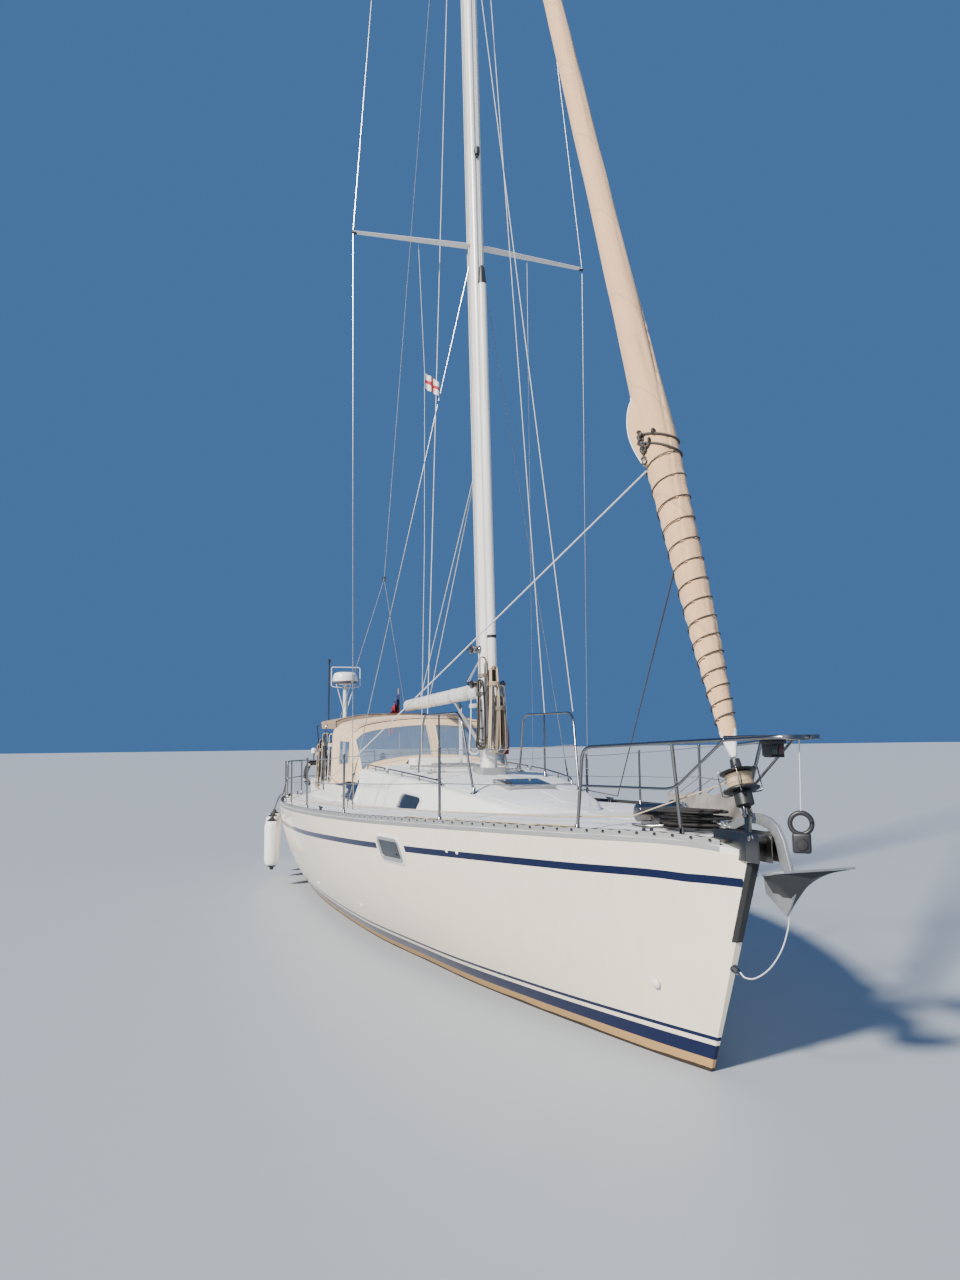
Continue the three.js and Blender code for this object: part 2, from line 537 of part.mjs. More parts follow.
const windlass = join(
  block(4700, 4980, -90, 90, 1400, 1560),
  pipe([V(4840, -190, 1590), V(4840, 190, 1590)], 62, 14),
  pipe([V(4840, 90, 1590), V(4840, 120, 1590)], 84, 14),
);
place('windlass', onDeck(windlass), 'stainless');

// Pulpit at the bow, pushpit halves at the stern, and the guard wires on their stanchions.
const onRail = (x, side, high) => V(x, side * (deckHalf(x) - rail.inset), deckTop(x, deckHalf(x)) + high);
function pulpitSide(side) {
  const aftFoot = onRail(pulpitLegs.aftX, side, -60);
  const aftTop = V(4840, side * 600, 2055);
  const foreFoot = V(pulpitLegs.foreX, side * 210, 1440);
  const foreTop = V(5600, side * 330, 2085);
  const nose = V(6420, side * 150, pulpitLegs.noseZ);
  const midAft = aftFoot.clone().lerp(aftTop, 0.55);
  return join(
    pipe(rounded([aftFoot, aftTop, foreTop, nose, V(pulpitLegs.noseX, 0, pulpitLegs.noseZ)], 90), rail.tube),
    pipe([foreFoot, foreTop], rail.tube),
    pipe(rounded([midAft, V(5540, side * 290, 1790), V(6050, side * 240, 2098)], 90), 9),
  );
}
const pulpitSolid = onDeck(join(pulpitSide(1), pulpitSide(-1)));
place('pulpit', pulpitSolid, 'stainless');

function pushpitHalf(side) {
  const top = high => [
    onRail(pushpit.foreX, side, high), V(pushpit.cornerX, side * pushpit.cornerHalf, 1175 + high),
    V(pushpit.cornerX - 60, side * pushpit.gateHalf, 1175 + high),
  ];
  const foot = p => V(p.x, p.y, 1100);
  const [fore, corner, gate] = top(rail.high);
  const leg = onRail(pushpit.legX, side, rail.high);
  return join(
    pipe(rounded([foot(fore), fore, corner, gate, foot(gate)], 110), rail.tube),
    pipe(rounded(top(rail.midHigh), 110), 9),
    pipe([foot(leg), leg], rail.tube),
    pipe([foot(V(corner.x + 35, corner.y - side * 45, 0)), corner.clone().add(V(35, -side * 45, 0))],
      rail.tube),
  );
}
placePair('pushpit', pushpitHalf(-1), 'stainless', onDeck);

const wireEnds = [pulpitLegs.aftX, ...stanchionXs, pushpit.foreX];
function onWire(x, side, high) {
  const after = wireEnds.findIndex(end => end <= x);
  const [ahead, astern] = [wireEnds[after - 1], wireEnds[after]].map(end => onRail(end, side, high));
  return ahead.lerp(astern, (ahead.x - x) / (ahead.x - astern.x));
}
function guardRail(side) {
  const posts = stanchionXs.map(x => pipe([onRail(x, side, -60), onRail(x, side, rail.high)], rail.tube));
  const wires = [rail.high - 20, rail.midHigh].map(high => {
    return pipe(wireEnds.map(x => onRail(x, side, high)), rail.wire, 6);
  });
  return join(posts, wires);
}
placePair('guard_rail', guardRail(-1), 'stainless', (solid, side) => {
  const ends = join(pulpitSolid.translate([-seatGap, 0, 0]), pushpitHalf(side).translate([seatGap, 0, 0]));
  return biggest(onDeck(solid).subtract(ends));
});

// Mast, standing on a shoe on the coachroof, with a groove up its aft face for the rolled mainsail.
function mastSection() {
  const points = [];
  const sides = 18;
  for (let i = 0; i <= sides; i += 1) {
    const turn = Math.PI * (0.06 + 1.88 * i / sides) + Math.PI;
    const round = 0.8;
    const squash = value => Math.sign(value) * Math.abs(value) ** round;
    points.push([mast.halfLong * squash(Math.cos(turn)), mast.halfWide * squash(Math.sin(turn))]);
  }
  return points;
}
const mastGroove = [[-mast.halfLong + 30, -9], [-mast.halfLong + 30, 9]];
const mastTilt = -THREE.MathUtils.radToDeg(Math.atan(mast.rake));
const mastBody = outline => slab(outline, 0, mast.headZ - mast.footZ)
  .rotate([0, mastTilt, 0]).translate([mastX(mast.footZ), 0, mast.footZ]);
const mastSolid = mastBody([...mastSection(), ...mastGroove]);
const shoe = onRoof(block(mastX(mast.footZ) - 190, mastX(mast.footZ) + 190, -140, 140, 1700, 1815));
const mastCutter = mastBody(mastSection());
place('mast_shoe', shoe, 'aluminium');
const shoeTopCut = block(-500, 2500, -300, 300, 1500, 1815 + seatGap);
const mastTop = new THREE.Vector3(mastX(mast.headZ), 0, mast.headZ);
place('mast', biggest(mastSolid.subtract(shoeTopCut)), 'mastWhite');

const headBlock = join(
  block(mastTop.x - 190, mastTop.x + 185, -45, 45, mastTop.z - 50, mastTop.z + 110),
  block(mastTop.x - 110, mastTop.x + 110, -75, 75, mastTop.z - 50, mastTop.z + 40),
).subtract(join([[0, 0, seatGap], [seatGap, 0, 0], [-seatGap, 0, 0], [0, seatGap, 0], [0, -seatGap, 0]]
  .map(shift => mastCutter.translate(shift))));

function spreader({ z, tipX, tipHalf, rise, rootChord, tipChord }, side) {
  const ring = (x, y, height, chord, thick) => [[-0.5, 0], [-0.2, 0.5], [0.2, 0.5], [0.5, 0], [0.2, -0.5],
    [-0.2, -0.5]].map(([a, b]) => V(x + a * chord, y, height + b * thick));
  const tip = tipHalf - shroud.wire - seatGap;
  return loft([
    ring(mastX(z), side * 40, z, rootChord, 44),
    ring(tipX, side * tip, z + rise, tipChord, 30),
  ]);
}

// Standing rigging: cap shrouds over both spreaders, aft lowers, the split backstay.
function turnbuckle(foot, head) {
  const along = head.clone().sub(foot).normalize();
  const at = distance => foot.clone().addScaledVector(along, distance);
  return [pipe([at(40), at(330)], shroud.screw, 8), pipe([at(90), at(280)], shroud.screw + 6, 6)];
}
function capShroud(side) {
  const foot = V(shroud.capX, side * shroud.capHalf, shroud.deckZ - 40);
  const [low, high] = spreaders.map(row => V(row.tipX, side * row.tipHalf, row.z + row.rise));
  const head = V(mastX(17150), side * 60, 17150);
  return join(pipe([foot, low, high, head], shroud.wire, 6), turnbuckle(foot, low));
}
function lowerShroud(side) {
  const foot = V(shroud.lowerX, side * shroud.lowerHalf, shroud.deckZ - 40);
  const head = V(mastX(7980), side * 60, 7980);
  return join(pipe([foot, head], shroud.wire, 6), turnbuckle(foot, head));
}
const byMast = (solid, side) => biggest(solid.subtract(mastCutter.translate([0, side * seatGap, 0])));
placePair('cap_shroud', capShroud(-1), 'wire', (solid, side) => byMast(onDeck(solid), side));
placePair('lower_shroud', lowerShroud(-1), 'wire', (solid, side) => byMast(onDeck(solid), side));
spreaders.forEach(row => {
  const fork = side => join(capShroud(side), capShroud(side).translate([0, -side * seatGap, 0]));
  placePair(`${row.name}_spreader`, spreader(row, -1), 'mastWhite',
    (solid, side) => byMast(solid.subtract(fork(side)), side));
});

const split = V(backstay.splitX, 0, backstay.splitZ);
const backstayParts = [pipe([split, V(backstay.headX, 0, mast.headZ + 70)], backstay.wire, 6)];
[-1, 1].forEach(side => {
  const foot = V(backstay.footX, side * backstay.footHalf, 1130);
  backstayParts.push(pipe([foot, split], backstay.wire, 6), ...turnbuckle(foot, split));
});
const headCutter = headBlock.translate([-seatGap, 0, 0]);
place('backstay', biggest(onDeck(join(backstayParts)).subtract(headCutter)), 'wire');

// Headsail furling: drum over the bow fitting, the rolled sail, the stay's free end at the top.
const stayPoint = z => V(stayX(z), 0, z);
const tiltToStay = -Math.atan(stayLean) * 180 / Math.PI;
const drumProfile = [[0, 0], [14, 0], [14, 55], [56, 60], [56, 150], [112, 156], [112, 168], [54, 176],
  [54, 262], [112, 268], [112, 280], [36, 290], [32, 360], [0, 360]];
const drum = turned(drumProfile, 20).rotate([0, tiltToStay, 0]).translate([stayX(1640), 0, 1640]);
place('furling_drum', biggest(drum.subtract(bowFitting.translate([0, 0, seatGap]))), 'blackPlastic');

const rollBase = headsailRolls[0].z;
const rollProfile = [[0, 0], ...headsailRolls.map(({ z, radius }) => [radius, z - rollBase]),
  [12, headsailRolls.at(-1).z - rollBase + 300], [12, headsailRolls.at(-1).z - rollBase + 420],
  [0, headsailRolls.at(-1).z - rollBase + 420]];
const stayStretch = Math.sqrt(1 + stayLean * stayLean);
const rollSolid = turned(rollProfile.map(([radius, z]) => [radius, z * stayStretch]), 14)
  .rotate([0, tiltToStay, 0]).translate([stayX(rollBase), 0, rollBase]);
const drumCutter = drum.translate([0, 0, seatGap]);
const rollCut = biggest(rollSolid.subtract(drumCutter));
place('furled_headsail', rollCut, 'genoaCover');
const stayTopZ = headsailRolls.at(-1).z + 420;
const stayTop = pipe([stayPoint(stayTopZ - 30), V(mastTop.x + 175, 0, mastTop.z + 40)], forestay.wire, 6);
const headGear = join(headBlock, stayTop).subtract(rollSolid.translate([0, 0, seatGap]));
place('masthead', biggest(headGear), 'aluminium');

const poleFoot = V(mastX(pole.lowZ) + mast.halfLong + pole.aheadOfMast, 0, pole.lowZ);
const poleHead = V(mastX(pole.highZ) + mast.halfLong + pole.aheadOfMast, 0, pole.highZ);
const poleSpot = share => poleFoot.clone().lerp(poleHead, share);
const poleParts = [
  pipe([poleSpot(0.05), poleSpot(0.95)], pole.radius, 12),
  pipe([poleFoot, poleHead], pole.endRadius, 10),
  pipe([poleSpot(0.97), poleSpot(0.97).add(V(-pole.aheadOfMast, 0, 0))], 18, 8),
  pipe([poleSpot(0.02), poleSpot(0.02).add(V(-pole.aheadOfMast, 0, 0))], 18, 8),
];
const poleCut = mastCutter.translate([seatGap, 0, 0]);
place('whisker_pole', biggest(join(poleParts).subtract(poleCut)), 'mastWhite');

// Gooseneck on the mast: two lugs and a pin. The boom's tongue turns between the lugs.
const pinX = hingeX(gooseneck.z);
const kickerPinX = hingeX(kicker.lowerZ);
function pinnedLugs(z) {
  const { pin, lugThick, lugClear, tongueThick } = gooseneck;
  const x = hingeX(z);
  const near = tongueThick / 2 + lugClear;
  const lug = block(x - 26, mastX(z), -26, 26, z + near, z + near + lugThick);
  const lower = block(x - 26, mastX(z), -26, 26, z - near - lugThick, z - near);
  const bolt = turned([[0, -40], [pin, -40], [pin, 40], [0, 40]], 12).translate([x, 0, z]);
  return biggest(join(lug, lower, bolt).subtract(mastCutter.translate([-seatGap, 0, 0])));
}
place('gooseneck', pinnedLugs(gooseneck.z), 'stainless');
place('kicker_bracket', pinnedLugs(kicker.lowerZ), 'stainless');

const boomGroup = new THREE.Group();
boomGroup.position.set(pinX, 0, gooseneck.z);
const swingAxis = V(-mast.rake, 0, 1).normalize();
boomGroup.quaternion.setFromAxisAngle(swingAxis, THREE.MathUtils.degToRad(boom.restSwing));
boat.add(boomGroup);

const ovalRing = (x, halfWide, halfHigh, sides = 14) => Array.from({ length: sides }, (_, i) => {
  const turn = 2 * Math.PI * i / sides;
  return V(x, halfWide * Math.sin(turn), halfHigh * Math.cos(turn));
});
const boomBody = loft([ovalRing(-boom.startsAft, boom.halfWide, boom.halfHigh),
  ovalRing(-boom.long, boom.halfWide, boom.halfHigh)]);
const tongueHalf = gooseneck.tongueThick / 2;
const tongue = slab([[-boom.startsAft - 60, -22], [-boom.startsAft - 60, 22], [14, 22], [20, 12], [20, -12],
  [14, -22]], -tongueHalf, tongueHalf);
const eye = gooseneck.pin + 0.9;
const tongueHole = turned([[0, -30], [eye, -30], [eye, 30], [0, 30]], 12);
place('boom', join(boomBody, tongue).subtract(tongueHole), 'mastWhite', boomGroup);

const kickerFoot = V(kickerPinX - pinX, 0, kicker.lowerZ - gooseneck.z);
const kickerHead = V(-kicker.upperAft, 0, -boom.halfHigh + 20);
const kickerSpot = share => kickerFoot.clone().lerp(kickerHead, share);
const kickerBody = join(
  pipe([kickerSpot(0.05), kickerSpot(0.62)], kicker.tube, 10),
  pipe([kickerSpot(0.5), kickerSpot(1)], kicker.rod, 10),
  tongue.subtract(tongueHole).translate(kickerFoot.toArray()),
);
place('kicker', biggest(kickerBody.subtract(boomBody.translate([0, 0, -seatGap]))), 'aluminium', boomGroup);

// Companionway: sliding hatch, the garage it slides into, the washboards and the inner steps.
const hatchPlate = block(slidingHatch.toX, slidingHatch.fromX, -slidingHatch.half, slidingHatch.half, hatchZ,
  hatchZ + slidingHatch.thick);
place('companion_hatch', hatchPlate, 'smokedGlass');
const boardHalf = stairHalf - seatGap;
const washboard = block(companionway.toX + 2, companionway.toX + 24, -boardHalf, boardHalf, 1300, hatchZ - 6);
place('washboard', washboard, 'smokedGlass');

// Deck hatches: a framed lid on the roof, hinged at its forward edge.
function hatchLid(hatch) {
  const { half, thick } = hatch;
  const pane = half - hatchRim.wide;
  const lid = join(
    block(-2 * half, 0, -half, half, hatchRim.lift, thick),
    block(-half - pane, -half + pane, -pane, pane, hatchRim.lift, thick + 8),
  );
  return onSlope(lid, hatch);
}
place('fore_hatch', hatchLid(foreHatch), 'smokedGlass');
place('saloon_hatch', hatchLid(saloonHatch), 'smokedGlass');

// Hoops to lean on beside the mast, and the winches.
const leanBar = [V(200, -640, 1690), V(420, -620, 2420), V(1900, -620, 2400), V(2150, -560, 1540)];
const guardHoop = join(
  pipe(rounded(leanBar, 150), 12.5),
  pipe([V(1080, -620, 2408), V(1080, -620, 1690)], 11),
);
placePair('mast_guard', guardHoop, 'stainless', onRoof);

const winchProfile = [[0, -60], [74, -60], [76, 14], [50, 52], [48, 84], [66, 128], [58, 150], [0, 156]];
const winch = turned(winchProfile, 16);
const primary = onDeck(winch.translate([-4100, -1030, coaming.topZ + 60 + seatGap]));
placePair('primary_winch', primary, 'stainless');

// Helm: pedestal with its compass, and the wheel.
const { baseHalf, topHalf: neckHalf } = pedestal;
const squareRing = (x, half, z) => [V(x - half, -half, z), V(x + half, -half, z), V(x + half, half, z),
  V(x - half, half, z)];
const pedestalBody = join(
  pipe([V(pedestal.x, 0, wheel.z), V(wheel.x + 40 + seatGap, 0, wheel.z)], 18, 12),
  loft([squareRing(pedestal.x, baseHalf, cockpit.floorZ + seatGap), squareRing(pedestal.x, neckHalf, 1180),
    squareRing(pedestal.x, neckHalf, pedestal.topZ)]),
  turned([[0, -20], [88, -20], [88, 30], [66, 90], [0, 120]], 16).translate([pedestal.x, 0, pedestal.topZ]),
);
place('steering_pedestal', pedestalBody, 'roofWhite');

const rim = toSolid(new THREE.TorusGeometry(wheel.radius, wheel.rim, 6, 30)).rotate([0, 90, 0]);
const spokes = Array.from({ length: wheel.spokes }, (_, i) => {
  const turn = 2 * Math.PI * i / wheel.spokes;
  return pipe([V(0, 0, 0), V(0, wheel.radius * Math.sin(turn), wheel.radius * Math.cos(turn))], 8, 6);
});
const wheelHub = turned([[0, -40], [wheel.hub, -40], [wheel.hub, 40], [0, 40]]).rotate([0, 90, 0]);
const wheelMesh = place('steering_wheel', join(rim, spokes, wheelHub), 'stainless');
wheelMesh.position.set(wheel.x, 0, wheel.z);

// Canvas: the sprayhood over the companionway and the bimini over the cockpit, on its hoops.
function arch(x, half, crownZ, shoulder, footZ, inset = 0) {
  const side = [V(x, -half + inset, footZ), V(x, -half + 30 + inset, crownZ - shoulder - 190),
    V(x, -half + 110 + inset, crownZ - shoulder - 40),
    V(x, -half + 260 + inset, crownZ - shoulder * 0.72 - inset)];
  const crown = [V(x, -half * 0.42, crownZ - shoulder * 0.22 - inset), V(x, 0, crownZ - inset)];
  const port = [...side, crown[0]].reverse().map(p => V(p.x, -p.y, p.z));
  return [...side, ...crown, ...port];
}
const hoodOuter = loft([
  arch(hood.footX, 1080, 1900, 120, 1580), arch(hood.foreX, 1150, hood.foreZ, 130, 1590),
  arch(hood.aftX, 1215, hood.aftZ, 130, 1490),
]);
const hoodInner = loft([
  arch(hood.footX - 60, 1080, 1900, 120, 1300, hood.wall),
  arch(hood.foreX - 24, 1150, hood.foreZ, 130, 1300, hood.wall),
  arch(hood.aftX - 100, 1220, hood.aftZ, 130, 1300, hood.wall),
]);
const coamingSolid = onDeck(slab(coamingShape, 1100, coaming.topZ));
const coamingCutter = join([[0, 0, 0], [0, 0, seatGap], [0, seatGap, 0], [0, -seatGap, 0]]
  .map(shift => coamingSolid.translate(shift)));
const hoodCut = join(hoodInner, roofCutter, coamingCutter, garageBody.translate([0, 0, seatGap]));
place('sprayhood', biggest(hoodOuter.subtract(hoodCut)), 'canvasTan');

function biminiRing(x, inset) {
  const crown = bimini.crownZ - inset;
  const ring = [];
  for (let i = 0; i <= 8; i += 1) {
    const share = i / 4 - 1;
    ring.push(V(x, share * (bimini.half - inset), crown - (bimini.crownZ - bimini.edgeZ) * share ** 4));
  }
  const low = bimini.edgeZ - bimini.valance;
  return [V(x, -bimini.half + inset, low - inset), ...ring, V(x, bimini.half - inset, low - inset)];
}
const biminiOuter = loft([biminiRing(bimini.foreX, 0), biminiRing(bimini.aftX, 0)]);
const biminiInner = loft([biminiRing(bimini.foreX + 90, bimini.wall),
  biminiRing(bimini.aftX - 90, bimini.wall)]);
const biminiSolid = biggest(biminiOuter.subtract(biminiInner));
place('bimini', biminiSolid, 'canvasTan');

const hoopLine = (x, footX) => {
  const clear = bimini.wall + hoop.tube + 2;
  const bow = [-1, -0.85, -0.6, -0.3, 0, 0.3, 0.6, 0.85, 1].map(share => V(x, share * (bimini.half - clear),
    bimini.crownZ - clear - (bimini.crownZ - bimini.edgeZ) * share ** 4));
  return [V(footX, -hoop.footHalf, 1150), V(footX, -hoop.footHalf, hoop.footZ), ...bow,
    V(footX, hoop.footHalf, hoop.footZ), V(footX, hoop.footHalf, 1150)];
};
const hoopXs = [bimini.foreX - 110, (bimini.foreX + bimini.aftX) / 2, bimini.aftX + 110];
const hoopParts = hoopXs.map((x, i) => pipe(hoopLine(x, hoop.footX - 80 * i), hoop.tube, 6));
[-1, 1].forEach(side => {
  const ends = [hoop.footX + 30, hoop.footX - 190].map(x => V(x, side * hoop.footHalf, hoop.footZ));
  hoopParts.push(pipe(ends, hoop.tube + 1, 6));
});
const frameCutter = join(coamingCutter, biminiSolid, biminiSolid.translate([0, 0, -seatGap]));
place('bimini_frame', biggest(onDeck(join(hoopParts)).subtract(frameCutter)), 'stainless');

// Radar pole and dome, boarding ladder, ensign, fenders, lifebuoy.
const radarPole = pipe([V(radar.x, radar.y, 1100), V(radar.x, radar.y, radar.topZ)], radar.poleRadius, 12);
place('radar_pole', onDeck(radarPole), 'mastWhite');
const domeProfile = [[0, 0], [radar.domeRadius - 34, 0], [radar.domeRadius, 40], [radar.domeRadius - 4, 110],
  [radar.domeRadius - 26, 180], [radar.domeRadius - 80, radar.domeHigh], [0, radar.domeHigh]];
place('radar_dome', turned(domeProfile, 20).translate([radar.x, radar.y, radar.topZ + seatGap]), 'mastWhite');

const lugX = [ladder.x - 22, ladder.x + 110];
const ladderLug = y => block(...lugX, y - 14, y + 14, ladder.hingeZ - 22, ladder.hingeZ + 22);
const ladderBore = pipe([V(ladder.x, -200, ladder.hingeZ), V(ladder.x, 200, ladder.hingeZ)], 12.5, 16);
const ladderPlate = block(ladder.x + 30, lugX[1], -110, 110, 1150, ladder.hingeZ - 10);
const bracketParts = join(ladderLug(-85), ladderLug(85), ladderPlate).subtract(ladderBore);
place('ladder_bracket', onDeck(bracketParts), 'stainless');
const ladderSide = y => pipe([V(0, y, 0), V(0, y, ladder.long)], ladder.tube);
const pivotTube = pipe([V(0, -ladder.halfWide, 0), V(0, ladder.halfWide, 0)], 11.7);
const rungs = Array.from({ length: ladder.rungs }, (_, i) => {
  const z = 120 + i * (ladder.long - 160) / (ladder.rungs - 1);
  return pipe([V(0, -ladder.halfWide, z), V(0, ladder.halfWide, z)], 11);
});
const ladderSides = join(ladderSide(-ladder.halfWide), ladderSide(ladder.halfWide));
const ladderMesh = place('boarding_ladder', join(ladderSides, pivotTube, rungs), 'stainless');
ladderMesh.position.set(ladder.x, ladder.y, ladder.hingeZ);

const staff = pipe([V(-6280, 620, 1150), V(-6490, 620, 3150)], 14, 8);
place('ensign_staff', onDeck(staff), 'teak');

const fenderProfile = [[0, 0], [30, 0], [34, 40], [105, 110], [110, 160], [110, 620], [105, 670], [34, 740],
  [30, 780], [0, 780]];
const wireCut = join([[0, -seatGap, 0], [0, 0, seatGap], [0, 0, -seatGap]]
  .map(shift => guardRail(-1).translate(shift)));
fender.xs.forEach((x, i) => {
  const half = deckHalf(x);
  const hang = V(x, -half - fender.radius - 6, fender.footZ);
  const overRail = V(x, -half - 2, frameNear(x).deckZ + deck.edge + toeRail.high);
  const lanyardLine = [hang.clone().add(V(0, 0, 770)), overRail, onWire(x, -1, rail.midHigh)];
  const lanyard = pipe(lanyardLine, fender.line, 6);
  const body = turned(fenderProfile, 12).translate(hang.toArray());
  place(`fender_${i + 1}`, biggest(join(body, lanyard).subtract(wireCut)), 'fenderWhite');
});

const buoyArc = new THREE.EllipseCurve(0, 0, 135, 225, -Math.PI * 0.35, Math.PI * 1.35, false);
const buoyLine = buoyArc.getPoints(12).map(p => V(buoy.x, buoy.y + p.x, buoy.z + p.y));
const sternRail = pushpitHalf(-1);
const buoySeat = join([[-seatGap, 0, 0], [0, 0, seatGap], [0, 0, -seatGap]]
  .map(shift => sternRail.translate(shift)));
place('horseshoe_buoy', biggest(pipe(buoyLine, buoy.radius, 8).subtract(buoySeat)), 'canvasDark');

export default boat;
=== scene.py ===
import random
from contextlib import contextmanager
from math import atan, atan2, copysign, cos, degrees, floor, pi, radians, sin, sqrt

import bmesh
import bpy
from mathutils import Matrix, Quaternion, Vector, noise


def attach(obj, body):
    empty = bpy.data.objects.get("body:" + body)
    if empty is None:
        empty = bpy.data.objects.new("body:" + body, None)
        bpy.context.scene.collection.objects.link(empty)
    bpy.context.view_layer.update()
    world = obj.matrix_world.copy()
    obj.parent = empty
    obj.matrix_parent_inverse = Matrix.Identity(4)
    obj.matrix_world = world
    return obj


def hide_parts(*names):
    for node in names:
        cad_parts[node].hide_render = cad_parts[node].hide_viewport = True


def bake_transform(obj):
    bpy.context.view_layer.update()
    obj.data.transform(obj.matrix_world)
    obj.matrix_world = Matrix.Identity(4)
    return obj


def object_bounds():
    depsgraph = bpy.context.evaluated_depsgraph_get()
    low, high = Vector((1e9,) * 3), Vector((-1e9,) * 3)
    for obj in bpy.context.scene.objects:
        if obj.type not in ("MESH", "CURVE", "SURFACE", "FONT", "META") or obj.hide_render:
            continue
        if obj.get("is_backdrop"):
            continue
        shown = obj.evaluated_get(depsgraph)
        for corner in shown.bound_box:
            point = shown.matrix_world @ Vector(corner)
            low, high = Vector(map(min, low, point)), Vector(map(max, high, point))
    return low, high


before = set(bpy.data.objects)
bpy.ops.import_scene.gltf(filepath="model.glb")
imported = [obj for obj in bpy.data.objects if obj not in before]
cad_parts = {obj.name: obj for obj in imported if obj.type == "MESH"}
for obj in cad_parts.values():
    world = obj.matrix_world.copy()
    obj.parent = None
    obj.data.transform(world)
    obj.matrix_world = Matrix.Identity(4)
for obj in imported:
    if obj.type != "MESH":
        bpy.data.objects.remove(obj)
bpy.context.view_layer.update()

# Stage: a camera 2.1 m above the waterline, off the starboard bow and looking aft and up at the rig, a
# plain blue surround, and soft light from ahead and to starboard.
eye = Vector((10.664, -3.217, 2.1))
heading, pitch, roll = radians(17.816), radians(6.463), radians(0.6)
aim = Vector((-cos(heading) * cos(pitch), sin(heading) * cos(pitch), sin(pitch)))
camera_data = bpy.data.cameras.new("camera")
camera_data.lens = 25.31
camera_data.sensor_width = 36
camera_data.clip_end = 1000
camera = bpy.data.objects.new("camera", camera_data)
camera.location = eye
camera.rotation_mode = "QUATERNION"
camera.rotation_quaternion = aim.to_track_quat("-Z", "Y") @ Quaternion((0, 0, 1), -roll)
bpy.context.scene.collection.objects.link(camera)
bpy.context.scene.camera = camera

world = bpy.data.worlds.new("studio")
bpy.context.scene.world = world
world.use_nodes = True
world.node_tree.nodes["Background"].inputs["Color"].default_value = (0.075, 0.19, 0.45, 1)
world.node_tree.nodes["Background"].inputs["Strength"].default_value = 0.85


def sunlight(name, towards, strength, softness):
    """A broad far light that shines along a direction."""
    data = bpy.data.lights.new(name, "SUN")
    data.energy = strength
    data.color = (1.0, 0.96, 0.9)
    data.angle = radians(softness)
    lamp = bpy.data.objects.new(name, data)
    lamp.rotation_mode = "QUATERNION"
    lamp.rotation_quaternion = Vector(towards).to_track_quat("-Z", "Y")
    bpy.context.scene.collection.objects.link(lamp)


sunlight("key_light", (-0.4, 0.74, -0.6), 8.2, 6)
sunlight("fill_light", (-0.5, -0.6, -0.6), 0.35, 60)

# Hull: a moulded shell in warm white gelcoat, with a navy line under the rail and a navy and white
# boot top over ochre bottom paint. It is faired through the same frames as the solid.
hull_rows = (
    # deck x, lean, deck half, deck z, side half, side z, keel z
    (5.97, 0.41, 0.028, 1.4, 0.01, 0, -0.05),
    (5.5, 0.36, 0.3, 1.44, 0.165, 0, -0.2),
    (4.8, 0.29, 0.72, 1.432, 0.355, 0, -0.335),
    (4.0, 0.21, 1.08, 1.415, 0.56, 0, -0.45),
    (3.0, 0.11, 1.43, 1.385, 0.79, 0, -0.545),
    (2.0, 0.03, 1.67, 1.35, 0.97, 0, -0.6),
    (0.8, 0, 1.84, 1.31, 1.2, 0, -0.63),
    (-0.6, 0, 1.94, 1.265, 1.36, 0, -0.62),
    (-2.0, 0, 1.96, 1.22, 1.45, 0, -0.56),
    (-3.4, 0.02, 1.9, 1.18, 1.44, 0, -0.42),
    (-4.6, 0.08, 1.77, 1.158, 1.3, 0.02, -0.24),
    (-5.6, 0.16, 1.6, 1.146, 1.18, 0.18, -0.02),
    (-6.45, 0.24, 1.4, 1.14, 1.08, 0.48, 0.26),
)
rows_fine = 10
topside_steps, bottom_steps = 18, 14
deck_edge, deck_camber = 0.035, 0.032
last_row = len(hull_rows) - 1


def passing(a, b, c, d, t):
    """A point between b and c on the smooth curve through four points in a row."""
    return 0.5 * (2 * b + (c - a) * t + (2 * a - 5 * b + 4 * c - d) * t * t
                  + (3 * b - a - 3 * c + d) * t ** 3)


def hull_row(step):
    """The frame at a place between the rows of the table, on a smooth curve through them."""
    row = min(int(step), last_row - 1)
    t = step - row
    near = [hull_rows[max(0, min(last_row, n))] for n in (row - 1, row, row + 1, row + 2)]
    made = [passing(a, b, c, d, t) for a, b, c, d in zip(*near)]
    made[2] = min(made[2], 1.9599)
    return made


fine_rows = [hull_row(i / rows_fine) for i in range(last_row * rows_fine + 1)]


def looked_up(rows, x):
    """The row of a table at x, in proportion between its rows. Its first column falls."""
    for ahead, astern in zip(rows, rows[1:]):
        if astern[0] <= x:
            t = (ahead[0] - x) / (ahead[0] - astern[0])
            return [a + (b - a) * t for a, b in zip(ahead, astern)]
    return rows[-1]


def row_at(x):
    """The frame whose deck edge is at x."""
    return looked_up(fine_rows, x)


def deck_half(x):
    return row_at(x)[2]


def deck_top(x, y):
    row = row_at(x)
    return row[3] + deck_edge + deck_camber * row[2] * (1 - (y / row[2]) ** 2)


def turning(start, corner, end, t):
    """A point on the curve that leaves start and reaches end as if drawn to the corner between them."""
    return start * (1 - t) ** 2 + corner * (2 * t * (1 - t)) + end * t * t


